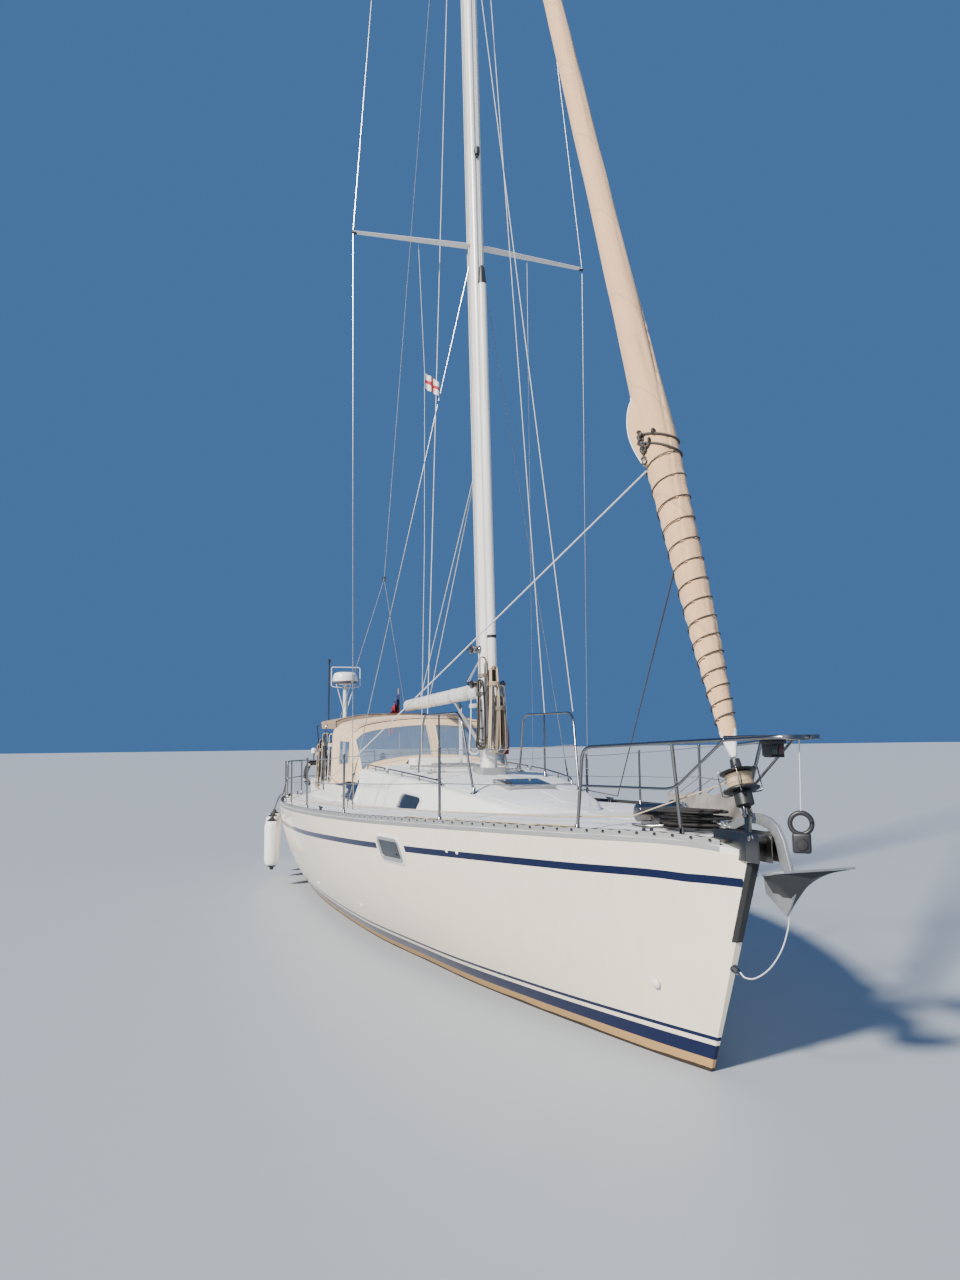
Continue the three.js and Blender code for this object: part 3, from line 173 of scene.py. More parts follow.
def hull_side(row, share):
    """One side of a frame, from the deck edge to the keel line, as (half-breadth, height) pairs."""
    _, _, half, deck_z, side_half, side_z, keel_z = row
    swell = 0.56 + 0.28 * min(1, share / 6)
    elbow = (side_half + (half - side_half) * swell, side_z + (deck_z - side_z) * 0.45)
    slope = (elbow[0] - side_half) / (elbow[1] - side_z)
    drop = side_z - keel_z
    bilge = (side_half - slope * drop * 0.4, side_z - drop * 0.4)
    flat = (side_half * 0.5, keel_z + drop * 0.06)
    line, edge, turn_of_bilge, keel = [], (half, deck_z), (side_half, side_z), (0, keel_z)
    for k in range(topside_steps + 1):
        line.append([turning(a, b, c, k / topside_steps) for a, b, c in zip(edge, elbow, turn_of_bilge)])
    for k in range(1, bottom_steps + 1):
        t = k / bottom_steps
        line.append([(1 - t) ** 3 * a + 3 * t * (1 - t) ** 2 * b + 3 * t * t * (1 - t) * c + t ** 3 * d
                     for a, b, c, d in zip(turn_of_bilge, bilge, flat, keel)])
    return line


def hull_ring(n):
    row = fine_rows[n]
    side = hull_side(row, n / rows_fine)
    lean = lambda z: row[0] + row[1] * (z - row[3])
    return [Vector((lean(z), -y, z)) for y, z in side] + [Vector((lean(z), y, z)) for y, z in side[-2::-1]]


def meshed(name, spots, faces, layer=None, marks=()):
    """A piece from points and faces, with a UV map if its values are given."""
    mesh = bpy.data.meshes.new(name)
    mesh.from_pydata(spots, [], faces)
    if layer:
        mesh.uv_layers.new(name=layer).data.foreach_set("uv", marks)
    piece = bpy.data.objects.new(name, mesh)
    bpy.context.scene.collection.objects.link(piece)
    return piece


@contextmanager
def edited(piece):
    """A piece's mesh opened for bmesh edits, and written back after them."""
    work = bmesh.new()
    work.from_mesh(piece.data)
    yield work
    work.to_mesh(piece.data)
    work.free()


def face_out(piece):
    """Turns the faces of a closed shape outwards."""
    with edited(piece) as work:
        bmesh.ops.recalc_face_normals(work, faces=work.faces)


def lofted(name, rings, closed=True, capped=True):
    """A mesh over rings of points, with u the metres along it and v the share of the way round."""
    count = len(rings[0])
    spots = [Vector(p) for ring in rings for p in ring]
    faces, marks = [], []
    far = 0.0
    for r in range(len(rings) - 1):
        step = (Vector(rings[r + 1][0]) - Vector(rings[r][0])).length
        for i in range(count if closed else count - 1):
            a, b = r * count + i, r * count + (i + 1) % count
            faces.append((a, b, b + count, a + count))
            low, high = i / count, (i + 1) / count
            marks.append(((far, low), (far, high), (far + step, high), (far + step, low)))
        far += step
    if capped:
        faces += [tuple(range(count))[::-1], tuple(range(len(spots) - count, len(spots)))]
        marks += [[(0, 0)] * count, [(far, 0)] * count]
    piece = meshed(name, spots, faces, "along", [x for face in marks for spot in face for x in spot])
    if capped:
        face_out(piece)
    return piece


hull_shell = lofted("hull_shell", [hull_ring(n) for n in range(len(fine_rows))], closed=False, capped=False)
ring_size = 2 * (topside_steps + bottom_steps) + 1
cove_drop = ((5.97, 0.158), (5.6, 0.198), (2.4, 0.199), (1.0, 0.206), (-0.3, 0.222), (-6.5, 0.235))


def cove_below(x):
    """How far the navy line's middle lies below the deck edge."""
    return looked_up(cove_drop, x)[1]


with edited(hull_shell) as work:
    work.verts.ensure_lookup_table()
    work.faces.new([work.verts[i] for i in range(ring_size)][::-1])
    work.faces.new(work.verts[-ring_size:])
    bmesh.ops.recalc_face_normals(work, faces=work.faces)
    layer = work.loops.layers.uv.active
    for face in work.faces:
        for corner in face.loops:
            spot = corner.vert.co
            row = fine_rows[min(corner.vert.index // ring_size, len(fine_rows) - 1)]
            corner[layer].uv = (spot.x, row[3] - cove_below(row[0]) - spot.z)
    if sum(face.normal.y * face.calc_center_median().y for face in work.faces) < 0:
        bmesh.ops.reverse_faces(work, faces=work.faces)


def wire(socket, value):
    """Joins a socket to another one, or sets it to a number or a colour."""
    if isinstance(value, bpy.types.NodeSocket):
        socket.id_data.links.new(value, socket)
    elif hasattr(value, "__len__") and len(value) == 3 and socket.type == "RGBA":
        socket.default_value = (*value, 1)
    else:
        socket.default_value = value


slots = {}


def finish(name, colour, roughness, metal=0.0, slot=None, **more):
    """A new material, and the slot it keeps. Returns the material, its tree and its Principled shader."""
    made = bpy.data.materials.new(name)
    slots[made.name] = slot
    made.use_nodes = True
    shader = made.node_tree.nodes["Principled BSDF"]
    wire(shader.inputs["Base Color"], colour)
    shader.inputs["Roughness"].default_value = roughness
    shader.inputs["Metallic"].default_value = metal
    for key, value in more.items():
        shader.inputs[key.replace("_", " ")].default_value = value
    return made, made.node_tree, shader


topsides, tree, shader = finish("topsides", (0.9, 0.8, 0.63), 0.28, Coat_Weight=0.05, Coat_Roughness=0.05,
                                Specular_IOR_Level=0.28, slot="topsides")


def add(tree, kind, inputs=None, **settings):
    """A node with its settings and its inputs, given by name or number. Returns the node."""
    made = tree.nodes.new("ShaderNode" + kind)
    for key, value in settings.items():
        setattr(made, key, value)
    for key, value in (inputs or {}).items():
        wire(made.inputs[key], value)
    return made


def use_group(tree, group, inputs):
    """A node group placed in a material. Returns its outputs."""
    return add(tree, "Group", inputs, node_tree=group).outputs


def maths(tree, operation, *values):
    """One step of arithmetic on numbers or sockets."""
    return add(tree, "Math", dict(enumerate(values)), operation=operation).outputs[0]


def blend(tree, share, below, above):
    """A colour between two, by a share from 0 to 1."""
    return add(tree, "Mix", {0: share, 6: below, 7: above}, data_type="RGBA").outputs[2]


def ramp(tree, value, low, high):
    """A value taken from low..high to 0..1, and held there beyond."""
    return add(tree, "MapRange", {"Value": value, "From Min": low, "From Max": high}, clamp=True).outputs[0]


def place_of(tree, scale=(1, 1, 1)):
    """The point on the piece, in metres, stretched along each axis."""
    spot = add(tree, "TexCoord").outputs["Object"]
    return add(tree, "VectorMath", {0: spot, 1: scale}, operation="MULTIPLY").outputs[0]


def cloudy(tree, scale, detail, stretch=(1, 1, 1), **more):
    """A soft random pattern on the piece, from 0 to 1."""
    inputs = {"Vector": place_of(tree, stretch), "Scale": scale, "Detail": detail, **more}
    return add(tree, "TexNoise", inputs).outputs["Fac"]


def new_group(name, inputs, outputs):
    """An empty shader node group with named number or colour sockets."""
    group = bpy.data.node_groups.new(name, "ShaderNodeTree")
    kinds = {"colour": "NodeSocketColor", "number": "NodeSocketFloat", "vector": "NodeSocketVector"}
    for way, sockets in (("INPUT", inputs), ("OUTPUT", outputs)):
        for label, kind in sockets.items():
            group.interface.new_socket(label, in_out=way, socket_type=kinds[kind])
    return group, group.nodes.new("NodeGroupInput").outputs, group.nodes.new("NodeGroupOutput").inputs


# Weathering that outdoor surfaces share, as a node group: broad stains, run marks down the sides and
# fine specks, laid over a colour by an amount.
weather, given, given_out = new_group("weather", {"Colour": "colour", "Stain": "colour", "Amount": "number",
                                                  "Runs": "number"}, {"Colour": "colour", "Mask": "number"})
broad = cloudy(weather, 0.9, 8, Roughness=0.62)
runs = cloudy(weather, 2.2, 5, (5, 5, 0.35))
specks = cloudy(weather, 45.0, 3)
patches = ramp(weather, broad, 0.48, 0.78)
streaked = maths(weather, "MULTIPLY", ramp(weather, runs, 0.5, 0.72), given["Runs"])
speckled = maths(weather, "MULTIPLY", ramp(weather, specks, 0.6, 0.75), 0.35)
dirt = maths(weather, "MAXIMUM", maths(weather, "MAXIMUM", patches, streaked), speckled)
dirt = maths(weather, "MULTIPLY", dirt, given["Amount"])
wire(given_out["Mask"], dirt)
wire(given_out["Colour"], blend(weather, dirt, given["Colour"], given["Stain"]))


def stained(tree, colour, stain, amount, runs):
    """A colour with the weathering on it. Returns the group's outputs."""
    return use_group(tree, weather, {"Colour": colour, "Stain": stain, "Amount": amount, "Runs": runs})


gel = stained(tree, (0.9, 0.8, 0.63), (0.62, 0.52, 0.38), 0.18, 0.8)


def split(tree, value):
    """The X, Y and Z of a vector."""
    return add(tree, "SeparateXYZ", {0: value}).outputs


spot = split(tree, place_of(tree))
height = spot["Z"]


def marks_of(tree, layer):
    """The X and Y of a UV map."""
    return split(tree, add(tree, "UVMap", uv_map=layer).outputs[0])


below_cove = marks_of(tree, "along")["Y"]
navy, ochre = (0.003, 0.008, 0.042), (0.42, 0.25, 0.1)
wave_line = cloudy(tree, 2.5, 6, (1, 1, 0.2))
slime = maths(tree, "MULTIPLY_ADD", wave_line, 0.03, 0.008)
splash = maths(tree, "MULTIPLY", ramp(tree, height, 0.75, 0.2), 0.3)
colour = blend(tree, splash, gel["Colour"], (0.66, 0.58, 0.46))


def band(tree, value, low, high):
    """1 where a value lies between two limits, else 0."""
    return maths(tree, "MULTIPLY", maths(tree, "GREATER_THAN", value, low),
                 maths(tree, "LESS_THAN", value, high))


cove = band(tree, below_cove, -0.0275, 0.0275)
port_x, port_clear = 2.58, 0.27
beside_port = maths(tree, "SUBTRACT", 1.0, band(tree, spot["X"], port_x - port_clear, port_x + port_clear))
cove = maths(tree, "MULTIPLY", maths(tree, "MULTIPLY", cove, beside_port),
             maths(tree, "LESS_THAN", spot["X"], 5.885))
colour = blend(tree, cove, colour, navy)
paint_lines = ((0.212, 0.238, navy), (0.085, 0.18, navy), (0.0, 0.085, ochre))
for low, high, paint in paint_lines:
    colour = blend(tree, band(tree, height, low, high), colour, paint)
colour = blend(tree, maths(tree, "LESS_THAN", height, slime), colour, (0.035, 0.025, 0.018))
colour = blend(tree, maths(tree, "LESS_THAN", height, -0.004), colour, (0.02, 0.028, 0.05))


def coloured(shader, colour):
    """Joins a colour to a material."""
    wire(shader.inputs["Base Color"], colour)


coloured(shader, colour)
wet = maths(tree, "LESS_THAN", height, 0.08)
wire(shader.inputs["Roughness"], maths(tree, "MULTIPLY_ADD", wet, 0.5, 0.16))
ripple = cloudy(tree, 1.6, 2)


def relieve(shader, height, distance, strength=1.0):
    """Fine relief on a material."""
    bump = add(shader.id_data, "Bump", {"Height": height, "Distance": distance, "Strength": strength})
    wire(shader.inputs["Normal"], bump.outputs[0])


relieve(shader, ripple, 0.006, 0.4)


def deselect():
    """Leaves nothing selected, so that the next operator acts only on what it makes."""
    for other in bpy.context.selected_objects:
        other.select_set(False)
    bpy.context.view_layer.objects.active = None


def select_only(piece):
    """Leaves one piece selected and active."""
    deselect()
    piece.select_set(True)
    bpy.context.view_layer.objects.active = piece


def shape_with(piece, kind, **settings):
    """Adds a modifier and applies it."""
    select_only(piece)
    made = piece.modifiers.new(kind.lower(), kind)
    for key, value in settings.items():
        setattr(made, key, value)
    bpy.ops.object.modifier_apply(modifier=made.name)
    return piece


shape_with(hull_shell, "SOLIDIFY", thickness=0.012, offset=-1)


def dress(piece, material, slot=None, stands_for=(), body="yacht", smooth=35):
    """Gives a piece its material and smooth shading, and makes it ride on its body."""
    piece.data.materials.clear()
    piece.data.materials.append(material)
    select_only(piece)
    bpy.ops.object.shade_smooth_by_angle(angle=radians(smooth))
    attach(piece, body)
    slot = slot or slots.get(material.name)
    if stands_for:
        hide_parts(*stands_for)
    return piece


dress(hull_shell, topsides, stands_for=["hull"])

# Deck: one moulding in white gelcoat with a low camber, and raised panels of non-slip on it, each with
# rounded ends and a smooth gutter between.
def weathered(name, colour, stain, roughness, amount=0.35, runs=0.5, metal=0.0, bump=None, **more):
    """A painted, moulded or metal finish with stains, and an optional fine relief (scale, depth)."""
    made, tree, shader = finish(name, colour, roughness, metal, **more)
    out = stained(tree, colour, stain, amount, runs)
    coloured(shader, out["Colour"])
    dull = maths(tree, "MULTIPLY_ADD", out["Mask"], 0.3, roughness)
    wire(shader.inputs["Roughness"], dull)
    if bump:
        scale, depth = bump
        grit = cloudy(tree, scale, 3)
        relieve(shader, grit, depth)
    return made


deck_white = weathered("deck_white", (0.78, 0.77, 0.73), (0.52, 0.5, 0.45), 0.42, 0.35, 0.2,
                       slot="deck_gelcoat")


def from_frame(node, name):
    """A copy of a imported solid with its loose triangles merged."""
    deselect()
    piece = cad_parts[node].copy()
    piece.data = piece.data.copy()
    piece.name = name
    bpy.context.scene.collection.objects.link(piece)
    piece.parent = None
    for key in list(piece.keys()):
        del piece[key]
    piece.hide_render = False
    piece.hide_viewport = False
    piece.data.materials.clear()
    with edited(piece) as work:
        bmesh.ops.remove_doubles(work, verts=work.verts, dist=0.00005)
        bmesh.ops.dissolve_limit(work, angle_limit=0.002, verts=work.verts, edges=work.edges)
    if piece.data.has_custom_normals:
        bpy.context.view_layer.objects.active = piece
        bpy.ops.mesh.customdata_custom_splitnormals_clear()
    return piece


deck_moulding = from_frame("deck", "deck_moulding")
for vert in deck_moulding.data.vertices:
    half = deck_half(vert.co.x)
    if abs(vert.co.y) > half - 0.012 and vert.co.x > -6.1:
        vert.co.y = copysign(abs(vert.co.y) - 0.005, vert.co.y)
dress(deck_moulding, deck_white, stands_for=["deck"], smooth=30)

non_slip, tree, shader = finish("non_slip", (0.6, 0.62, 0.63), 0.75)
worn = stained(tree, (0.63, 0.645, 0.65), (0.4, 0.4, 0.37), 0.5, 0.1)
coloured(shader, worn["Colour"])
studs = add(tree, "TexVoronoi", {"Vector": place_of(tree), "Scale": 110.0})
relieve(shader, studs.outputs["Distance"], 0.0015, 0.8)
roof_rows = (
    # x, base half, top half, top z
    (3.2, 0.42, 0.33, 1.495),
    (2.7, 0.64, 0.52, 1.59),
    (1.8, 0.87, 0.74, 1.69),
    (0.7, 1.06, 0.91, 1.76),
    (-0.6, 1.17, 1.0, 1.805),
    (-1.7, 1.21, 1.03, 1.83),
    (-2.3, 1.215, 1.03, 1.84),
)
roof_foot, roof_camber = 1.18, 0.062


def roof_at(x):
    """Base half, top half and top height of the coachroof at x."""
    return looked_up(roof_rows, x)[1:]


def roof_top(x, y=0.0):
    _, top_half, top_z = roof_at(x)
    return top_z - roof_camber * (y / (top_half - 0.03)) ** 2


def laid_panel(name, fore, aft, inner, outer, surface, side, thick=0.004, corner=0.07):
    """A thin raised panel on a surface, between two lines along the boat."""
    ends = [0, 0.012, 0.03, corner]
    middle = [corner + (fore - aft - 2 * corner) * k / 14 for k in range(1, 14)]
    stations = ends + middle + [fore - aft - e for e in ends[::-1]]
    rings = []
    for far in stations:
        x = fore - far
        near_end = min(far, fore - aft - far)
        inset = corner - sqrt(max(0, corner ** 2 - max(0, corner - near_end) ** 2))
        low, high = inner(x) + inset, outer(x) - inset
        rows = [low + (high - low) * k / 8 for k in range(9)]
        top = [Vector((x, side * y, surface(x, y) + thick)) for y in rows]
        foot = [p - Vector((0, 0, thick + 0.006)) for p in top[::-1]]
        rings.append(top + foot)
    return lofted(name, rings)


def deck_high(x, y):
    """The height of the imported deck, whose frames are flat between the rows."""
    row = row_at(x)
    share = y / row[2]
    step = 1 / 3
    low = floor(share / step) * step
    heights = [row[3] + deck_edge + deck_camber * row[2] * (1 - s * s) for s in (low, low + step)]
    return heights[0] + (heights[1] - heights[0]) * (share - low) / step


beside_roof = lambda x: roof_at(x)[0] + 0.05 - 0.25 * max(0, deck_high(x, roof_at(x)[0]) - roof_foot)
beside_rail = lambda x: deck_half(x) - 0.17
beside_coaming = lambda x: 1.3 - 0.03 * (-2.3 - x)
side_panels = (
    # fore, aft, inner line
    (5.15, 4.25, lambda x: 0.05 if x < 4.6 else 0.22),
    (4.17, 3.32, lambda x: 0.05),
    (3.1, 2.05, beside_roof),
    (1.97, 0.75, beside_roof),
    (0.67, -0.7, beside_roof),
    (-0.78, -2.15, beside_roof),
    (-2.4, -3.75, beside_coaming),
    (-3.83, -5.1, beside_coaming),
)
panels = []
for side in (-1, 1):
    for i, (fore, aft, inner) in enumerate(side_panels):
        panels.append(laid_panel(f"panel_{i}_{side}", fore, aft, inner, beside_rail, deck_high, side))


def joined(name, parts):
    """Several meshes made into one piece."""
    deselect()
    for part in parts:
        part.select_set(True)
    bpy.context.view_layer.objects.active = parts[0]
    bpy.ops.object.join()
    parts[0].name = name
    return parts[0]


def put(name, parts, material, **more):
    """Several meshes made into one finished piece."""
    return dress(joined(name, parts), material, **more)


put("deck_non_slip", panels, non_slip, slot="deck_gelcoat")

# Toe rail: a perforated strip of weathered aluminium along each deck edge, bolted down through its foot,
# with a near-black strip inside it behind the holes, which is painted shade.
anodised = weathered("anodised", (0.4, 0.4, 0.39), (0.2, 0.19, 0.175), 0.52, 0.5, 0.5, 0.55, (160, 0.0004),
                     slot="anodised")
# Near-black finish for the strip behind the rail's holes: painted shade seen through them.
hole_shade = weathered("painted_hole_shade", (0.02, 0.02, 0.022), (0.06, 0.055, 0.05), 0.7, 0.5, 0.4,
                    slot="black_plastic")
rail_low, rail_high, rail_thick = deck_edge - 0.006, deck_edge + 0.04, 0.01
slot_pitch, slot_long, slot_high = 0.13, 0.026, 0.024
both_sides = ((-1, "starboard"), (1, "port"))
for side, label in both_sides:
    line = []
    x = 5.78
    while x > -6.09:
        row = row_at(x)
        line.append((Vector((x, side * (row[2] - 0.012), row[3])), x))
        x -= 0.01
    lengths, far = [0.0], 0.0
    for (a, _), (b, _) in zip(line, line[1:]):
        far += (b - a).length
        lengths.append(far)

    def along_rail(distance):
        """The outer foot of the rail at a distance from its forward end, and its inward direction."""
        n = min(len(lengths) - 2, int(distance / lengths[-1] * (len(lengths) - 1)))
        while lengths[n] > distance and n > 0:
            n -= 1
        while lengths[n + 1] < distance and n < len(lengths) - 2:
            n += 1
        a, b = line[n][0], line[n + 1][0]
        inward = (b - a).normalized().cross(Vector((0, 0, 1))) * -side
        return a.lerp(b, (distance - lengths[n]) / (lengths[n + 1] - lengths[n])), inward

    turn_steps = 12
    rim = []
    for k in range(turn_steps):
        angle = 2 * pi * (k + 0.5) / turn_steps
        across, up = cos(angle), sin(angle)
        straight = (slot_long - slot_high) / 2 * (1 if across > 0 else -1)
        rim.append((straight + across * slot_high / 2, up * slot_high / 2))
    middle = (rail_low + rail_high) / 2 + 0.006
    spots, faces = [], []
    count = int(lengths[-1] / slot_pitch)
    for n in range(count):
        base = (n + 0.5) * lengths[-1] / count
        pitch_here = lengths[-1] / count
        outline = []
        for k in range(turn_steps):
            angle = 2 * pi * (k + 0.5) / turn_steps
            reach = 1 / max(abs(cos(angle)) / (pitch_here / 2),
                            abs(sin(angle)) / ((rail_high - rail_low) / 2))
            outline.append((cos(angle) * reach, sin(angle) * reach))
        start = len(spots)
        for depth in (0, rail_thick):
            for ring, lift in ((outline, (rail_low + rail_high) / 2), (rim, middle)):
                for across, up in ring:
                    foot, inward = along_rail(min(max(base + across, 0), lengths[-1]))
                    spots.append(foot + inward * depth + Vector((0, 0, lift + up)))
        for k in range(turn_steps):
            j = (k + 1) % turn_steps
            o, r, oi, ri = start, start + turn_steps, start + 2 * turn_steps, start + 3 * turn_steps
            faces += [(o + k, o + j, r + j, r + k), (oi + j, oi + k, ri + k, ri + j),
                      (r + k, r + j, ri + j, ri + k)]
            if abs(outline[k][1]) > 0.02 and abs(outline[j][1]) > 0.02 and outline[k][1] * outline[j][1] > 0:
                faces.append((o + j, o + k, oi + k, oi + j))
    strip = meshed("strip", spots, faces)
    shape_with(strip, "WELD", merge_threshold=0.0006)
    face_out(strip)
    foot_line = [along_rail(lengths[-1] * k / 120) for k in range(121)]

    def rail_strip(name, height, profile):
        """A strip along the rail at a height, from (inward, up) pairs."""
        return lofted(name, [[p + Vector((0, 0, height + up)) + inward * deep for deep, up in profile]
                             for p, inward in foot_line])

    flange = rail_strip("flange", deck_edge, ((0.002, -0.004), (0.038, -0.004), (0.038, 0.004),
                                              (0.002, 0.004)))
    # A thin dark strip inside the rail behind its holes, as painted shade.
    hole_shade_strip = rail_strip("hole_shade_strip", middle, ((0.0085, -0.018), (0.0105, -0.018), (0.0105, 0.018),
                                             (0.0085, 0.018)))
    dress(hole_shade_strip, hole_shade)
    skirt = rail_strip("skirt", 0, ((-0.0115, 0.003), (-0.0115, 0.03), (0.001, 0.036), (0.001, 0.0305),
                                    (-0.0085, 0.026), (-0.0085, 0.003)))
    put(f"toe_rail_{label}_strip", [strip, flange, skirt], anodised, stands_for=[f"toe_rail_{label}"],
        smooth=30)

# Coachroof: a low moulded cabin top with rounded shoulders, raked smoked windows in pale frames down
# its sides, and openings for the hatches.
roof_white = weathered("roof_white", (0.8, 0.79, 0.75), (0.55, 0.52, 0.46), 0.28, 0.28, 0.5,
                       slot="roof_gelcoat")
acrylic, tree, shader = finish("smoked_acrylic", (0.016, 0.021, 0.028), 0.06, Coat_Weight=0.5,
                               slot="smoked_acrylic")
haze = cloudy(tree, 14.0, 4)
wire(shader.inputs["Roughness"], maths(tree, "MULTIPLY_ADD", ramp(tree, haze, 0.45, 0.8), 0.25, 0.06))
# Stainless has a dark base colour as a painted reflection of dark surroundings; its stains are weathering.
stainless = weathered("stainless", (0.25, 0.245, 0.24), (0.12, 0.1, 0.08), 0.2, 0.4, 0.4, 1.0,
                      slot="stainless")


def roof_flank(x):
    """The foot and the knee of the cabin's side at x, as (half-breadth, height)."""
    base_half, top_half, top_z = roof_at(x)
    return Vector((base_half, roof_foot)), Vector((top_half + 0.014, top_z - roof_camber - 0.045))


def roof_side(x):
    """The outer line of half a roof section, from its foot to the middle of the top."""
    low, knee = roof_flank(x)
    _, top_half, top_z = roof_at(x)
    shoulder = top_z - roof_camber
    crown = Vector((top_half - 0.055, roof_top(x, top_half - 0.055)))
    corner = Vector((top_half + 0.001, shoulder + 0.001))
    line = [low.lerp(knee, k / 6) for k in range(7)]
    line += [turning(knee, corner, crown, k / 6) for k in range(1, 7)]
    line += [Vector((y, roof_top(x, y))) for y in ((top_half - 0.055) * (1 - k / 10) for k in range(1, 11))]
    return line


roof_stations = [3.2 - 5.5 * k / 66 for k in range(67)]
roof_rings = []
for x in roof_stations:
    half_line = roof_side(x)
    roof_rings.append([(x, -p.x, p.y) for p in half_line] + [(x, p.x, p.y) for p in half_line[-2::-1]])
cabin = lofted("cabin", roof_rings)


def block(name, low, high, bevel=0.004, steps=2):
    """A box between two corners with its edges rounded."""
    deselect()
    centre = [(a + b) / 2 for a, b in zip(low, high)]
    bpy.ops.mesh.primitive_cube_add(size=1, location=centre)
    piece = bpy.context.object
    piece.name = name
    piece.scale = [abs(b - a) for a, b in zip(low, high)]
    bpy.ops.object.transform_apply(location=True, rotation=True, scale=True)
    bpy.ops.object.mode_set(mode="EDIT")
    bpy.ops.mesh.select_all(action="SELECT")
    bpy.ops.mesh.bevel(offset=bevel, segments=steps)
    bpy.ops.object.mode_set(mode="OBJECT")
    return piece


def cut(piece, low, high):
    """Takes a box out of a piece."""
    tool = block("cutter", low, high, 0.02, 4)
    shape_with(piece, "BOOLEAN", object=tool, operation="DIFFERENCE", solver="EXACT")
    bpy.data.objects.remove(tool)


fore_hatch, saloon_hatch = (2.05, 0.25), (-0.48, 0.24)
for x, half in (fore_hatch, saloon_hatch):
    cut(cabin, (x - half + 0.03, -half + 0.03, roof_top(x) - 0.26), (x + half - 0.03, half - 0.03, 2.2))
cut(cabin, (-2.5, -0.31, 0.9), (-1.74, 0.31, 2.2))
hatch_z = roof_top(-1.75) + 0.012
garage = block("garage", (-1.69, -0.4, 1.7), (-1.0, 0.4, hatch_z + 0.054), 0.018, 4)
cut(garage, (-1.9, -0.386, hatch_z - 0.008), (-1.06, 0.386, hatch_z + 0.04))
runners = [block("runner", (-2.3, side * 0.326, 1.7), (-1.06, side * 0.35, hatch_z - 0.0003), 0.004)
           for side in (-1, 1)]
put("cabin_top", [cabin, garage, *runners], roof_white, stands_for=["coachroof"], smooth=32)
panels = []
for side in (-1, 1):
    lanes = ((2.95, 2.36, 0.04, 0.1), (1.74, 1.05, 0.04, 0.1), (0.4, -0.18, 0.12, 0.12),
             (-1.05, -1.65, 0.44, 0.1), (2.28, 1.82, 0.3, 0.1), (-0.26, -0.95, 0.32, 0.1))
    for i, (fore, aft, inner, margin) in enumerate(lanes):
        panels.append(laid_panel(f"lane_{i}_{side}", fore, aft, lambda x, inner=inner: inner,
                                 lambda x, margin=margin: roof_at(x)[1] - margin, roof_top, side, 0.004,
                                 0.05))
put("roof_non_slip", panels, non_slip, slot="roof_gelcoat")


def on_cabin_side(x, up, out, side):
    """A point on the cabin's side at a share of its height, raised outwards."""
    low, knee = roof_flank(x)
    spot = low.lerp(knee, up)
    tilt = (knee - low).normalized()
    spot += Vector((tilt.y, -tilt.x)) * out
    return Vector((x, side * spot.x, spot.y))


def side_window(fore, aft, low, high, rake):
    """Outline of a cabin window: raked at its ends, with rounded corners."""
    corners = [(fore, low), (fore - rake * 0.2, high), (aft + rake * 0.8, high), (aft, low)]
    line = []
    for n, corner in enumerate(corners):
        before, after = Vector(corners[n - 1]), Vector(corners[(n + 1) % 4])
        corner = Vector(corner)
        reach = Vector((0.07, 0.1))
        start = corner + Vector([max(-r, min(r, d)) for d, r in zip(before - corner, reach)])
        end = corner + Vector([max(-r, min(r, d)) for d, r in zip(after - corner, reach)])
        line += [turning(start, corner, end, k / 6) for k in range(7)]
    return line


windows = ((-1.2, -2.28, 0.27, 0.84, 0.16), (1.3, 0.62, 0.4, 0.8, 0.2))
panes, rims = [], []


def tube(name, points, radius, sides=12):
    """A round bar, wire or rope through a line of points, mitred at each bend. radius may be a list."""
    points = [Vector(p) for p in points]
    sizes = radius if hasattr(radius, "__len__") else [radius] * len(points)
    along = (points[1] - points[0]).normalized()
    upright = Vector((1, 0, 0)) if abs(along.z) > 0.9 else Vector((0, 0, 1))
    side = upright.cross(along).normalized()
    rings = []
    for i, point in enumerate(points):
        ahead = (points[i + 1] - point).normalized() if i < len(points) - 1 else along
        mitre = (along + ahead).normalized()
        other = along.cross(side)
        ring = []
        for k in range(sides):
            turn = 2 * pi * k / sides
            out = side * (sizes[i] * cos(turn)) + other * (sizes[i] * sin(turn))
            ring.append(point + out - along * (out.dot(mitre) / along.dot(mitre)))
        rings.append(ring)
        side = along.rotation_difference(ahead) @ side
        along = ahead
    return lofted(name, rings)


for side in (-1, 1):
    for n, (fore, aft, low, high, rake) in enumerate(windows):
        outline = side_window(fore, aft, low, high, rake)
        centre = Vector(((fore + aft) / 2, (low + high) / 2))
        rings = []
        for shrink, out in ((0.985, -0.004), (1.0, 0.004), (0.96, 0.007), (0.5, 0.007), (0.02, 0.007)):
            rings.append([on_cabin_side(*(centre + (p - centre) * shrink), out, side) for p in outline])
        panes.append(lofted(f"pane_{side}_{n}", rings))
        edge = [on_cabin_side(p.x, p.y, 0.006, side) for p in outline]
        rims.append(tube(f"rim_{side}_{n}", [*edge, edge[0], edge[1]], 0.017, 10))
put("cabin_windows", panes, acrylic)
window_frame = weathered("window_frame", (0.78, 0.78, 0.76), (0.45, 0.43, 0.4), 0.35, 0.3, 0.4, 0.2,
                         slot="anodised")
put("cabin_window_frames", rims, window_frame)

# Deck hatches: a smoked acrylic pane in an aluminium frame with two dogs, hinged along its forward edge
# over four bars that line the opening in the cabin top.
def hatch_bars(half, wide, low, high, *bevel):
    """Four bars round a square hatch that is hinged at x 0."""
    spans = (((-2 * half, -half), (wide - 2 * half, half)), ((-wide, -half), (0, half)),
             ((0.02 - 2 * half, -half), (-0.02, wide - half)),
             ((0.02 - 2 * half, half - wide), (-0.02, half)))
    return [block("bar", (*near, low), (*far, high), *bevel) for near, far in spans]


def around(count, steps=None):
    """The angles of a full turn in so many steps, or those of more steps, to overlap its start."""
    return [2 * pi * k / count for k in range(steps or count)]


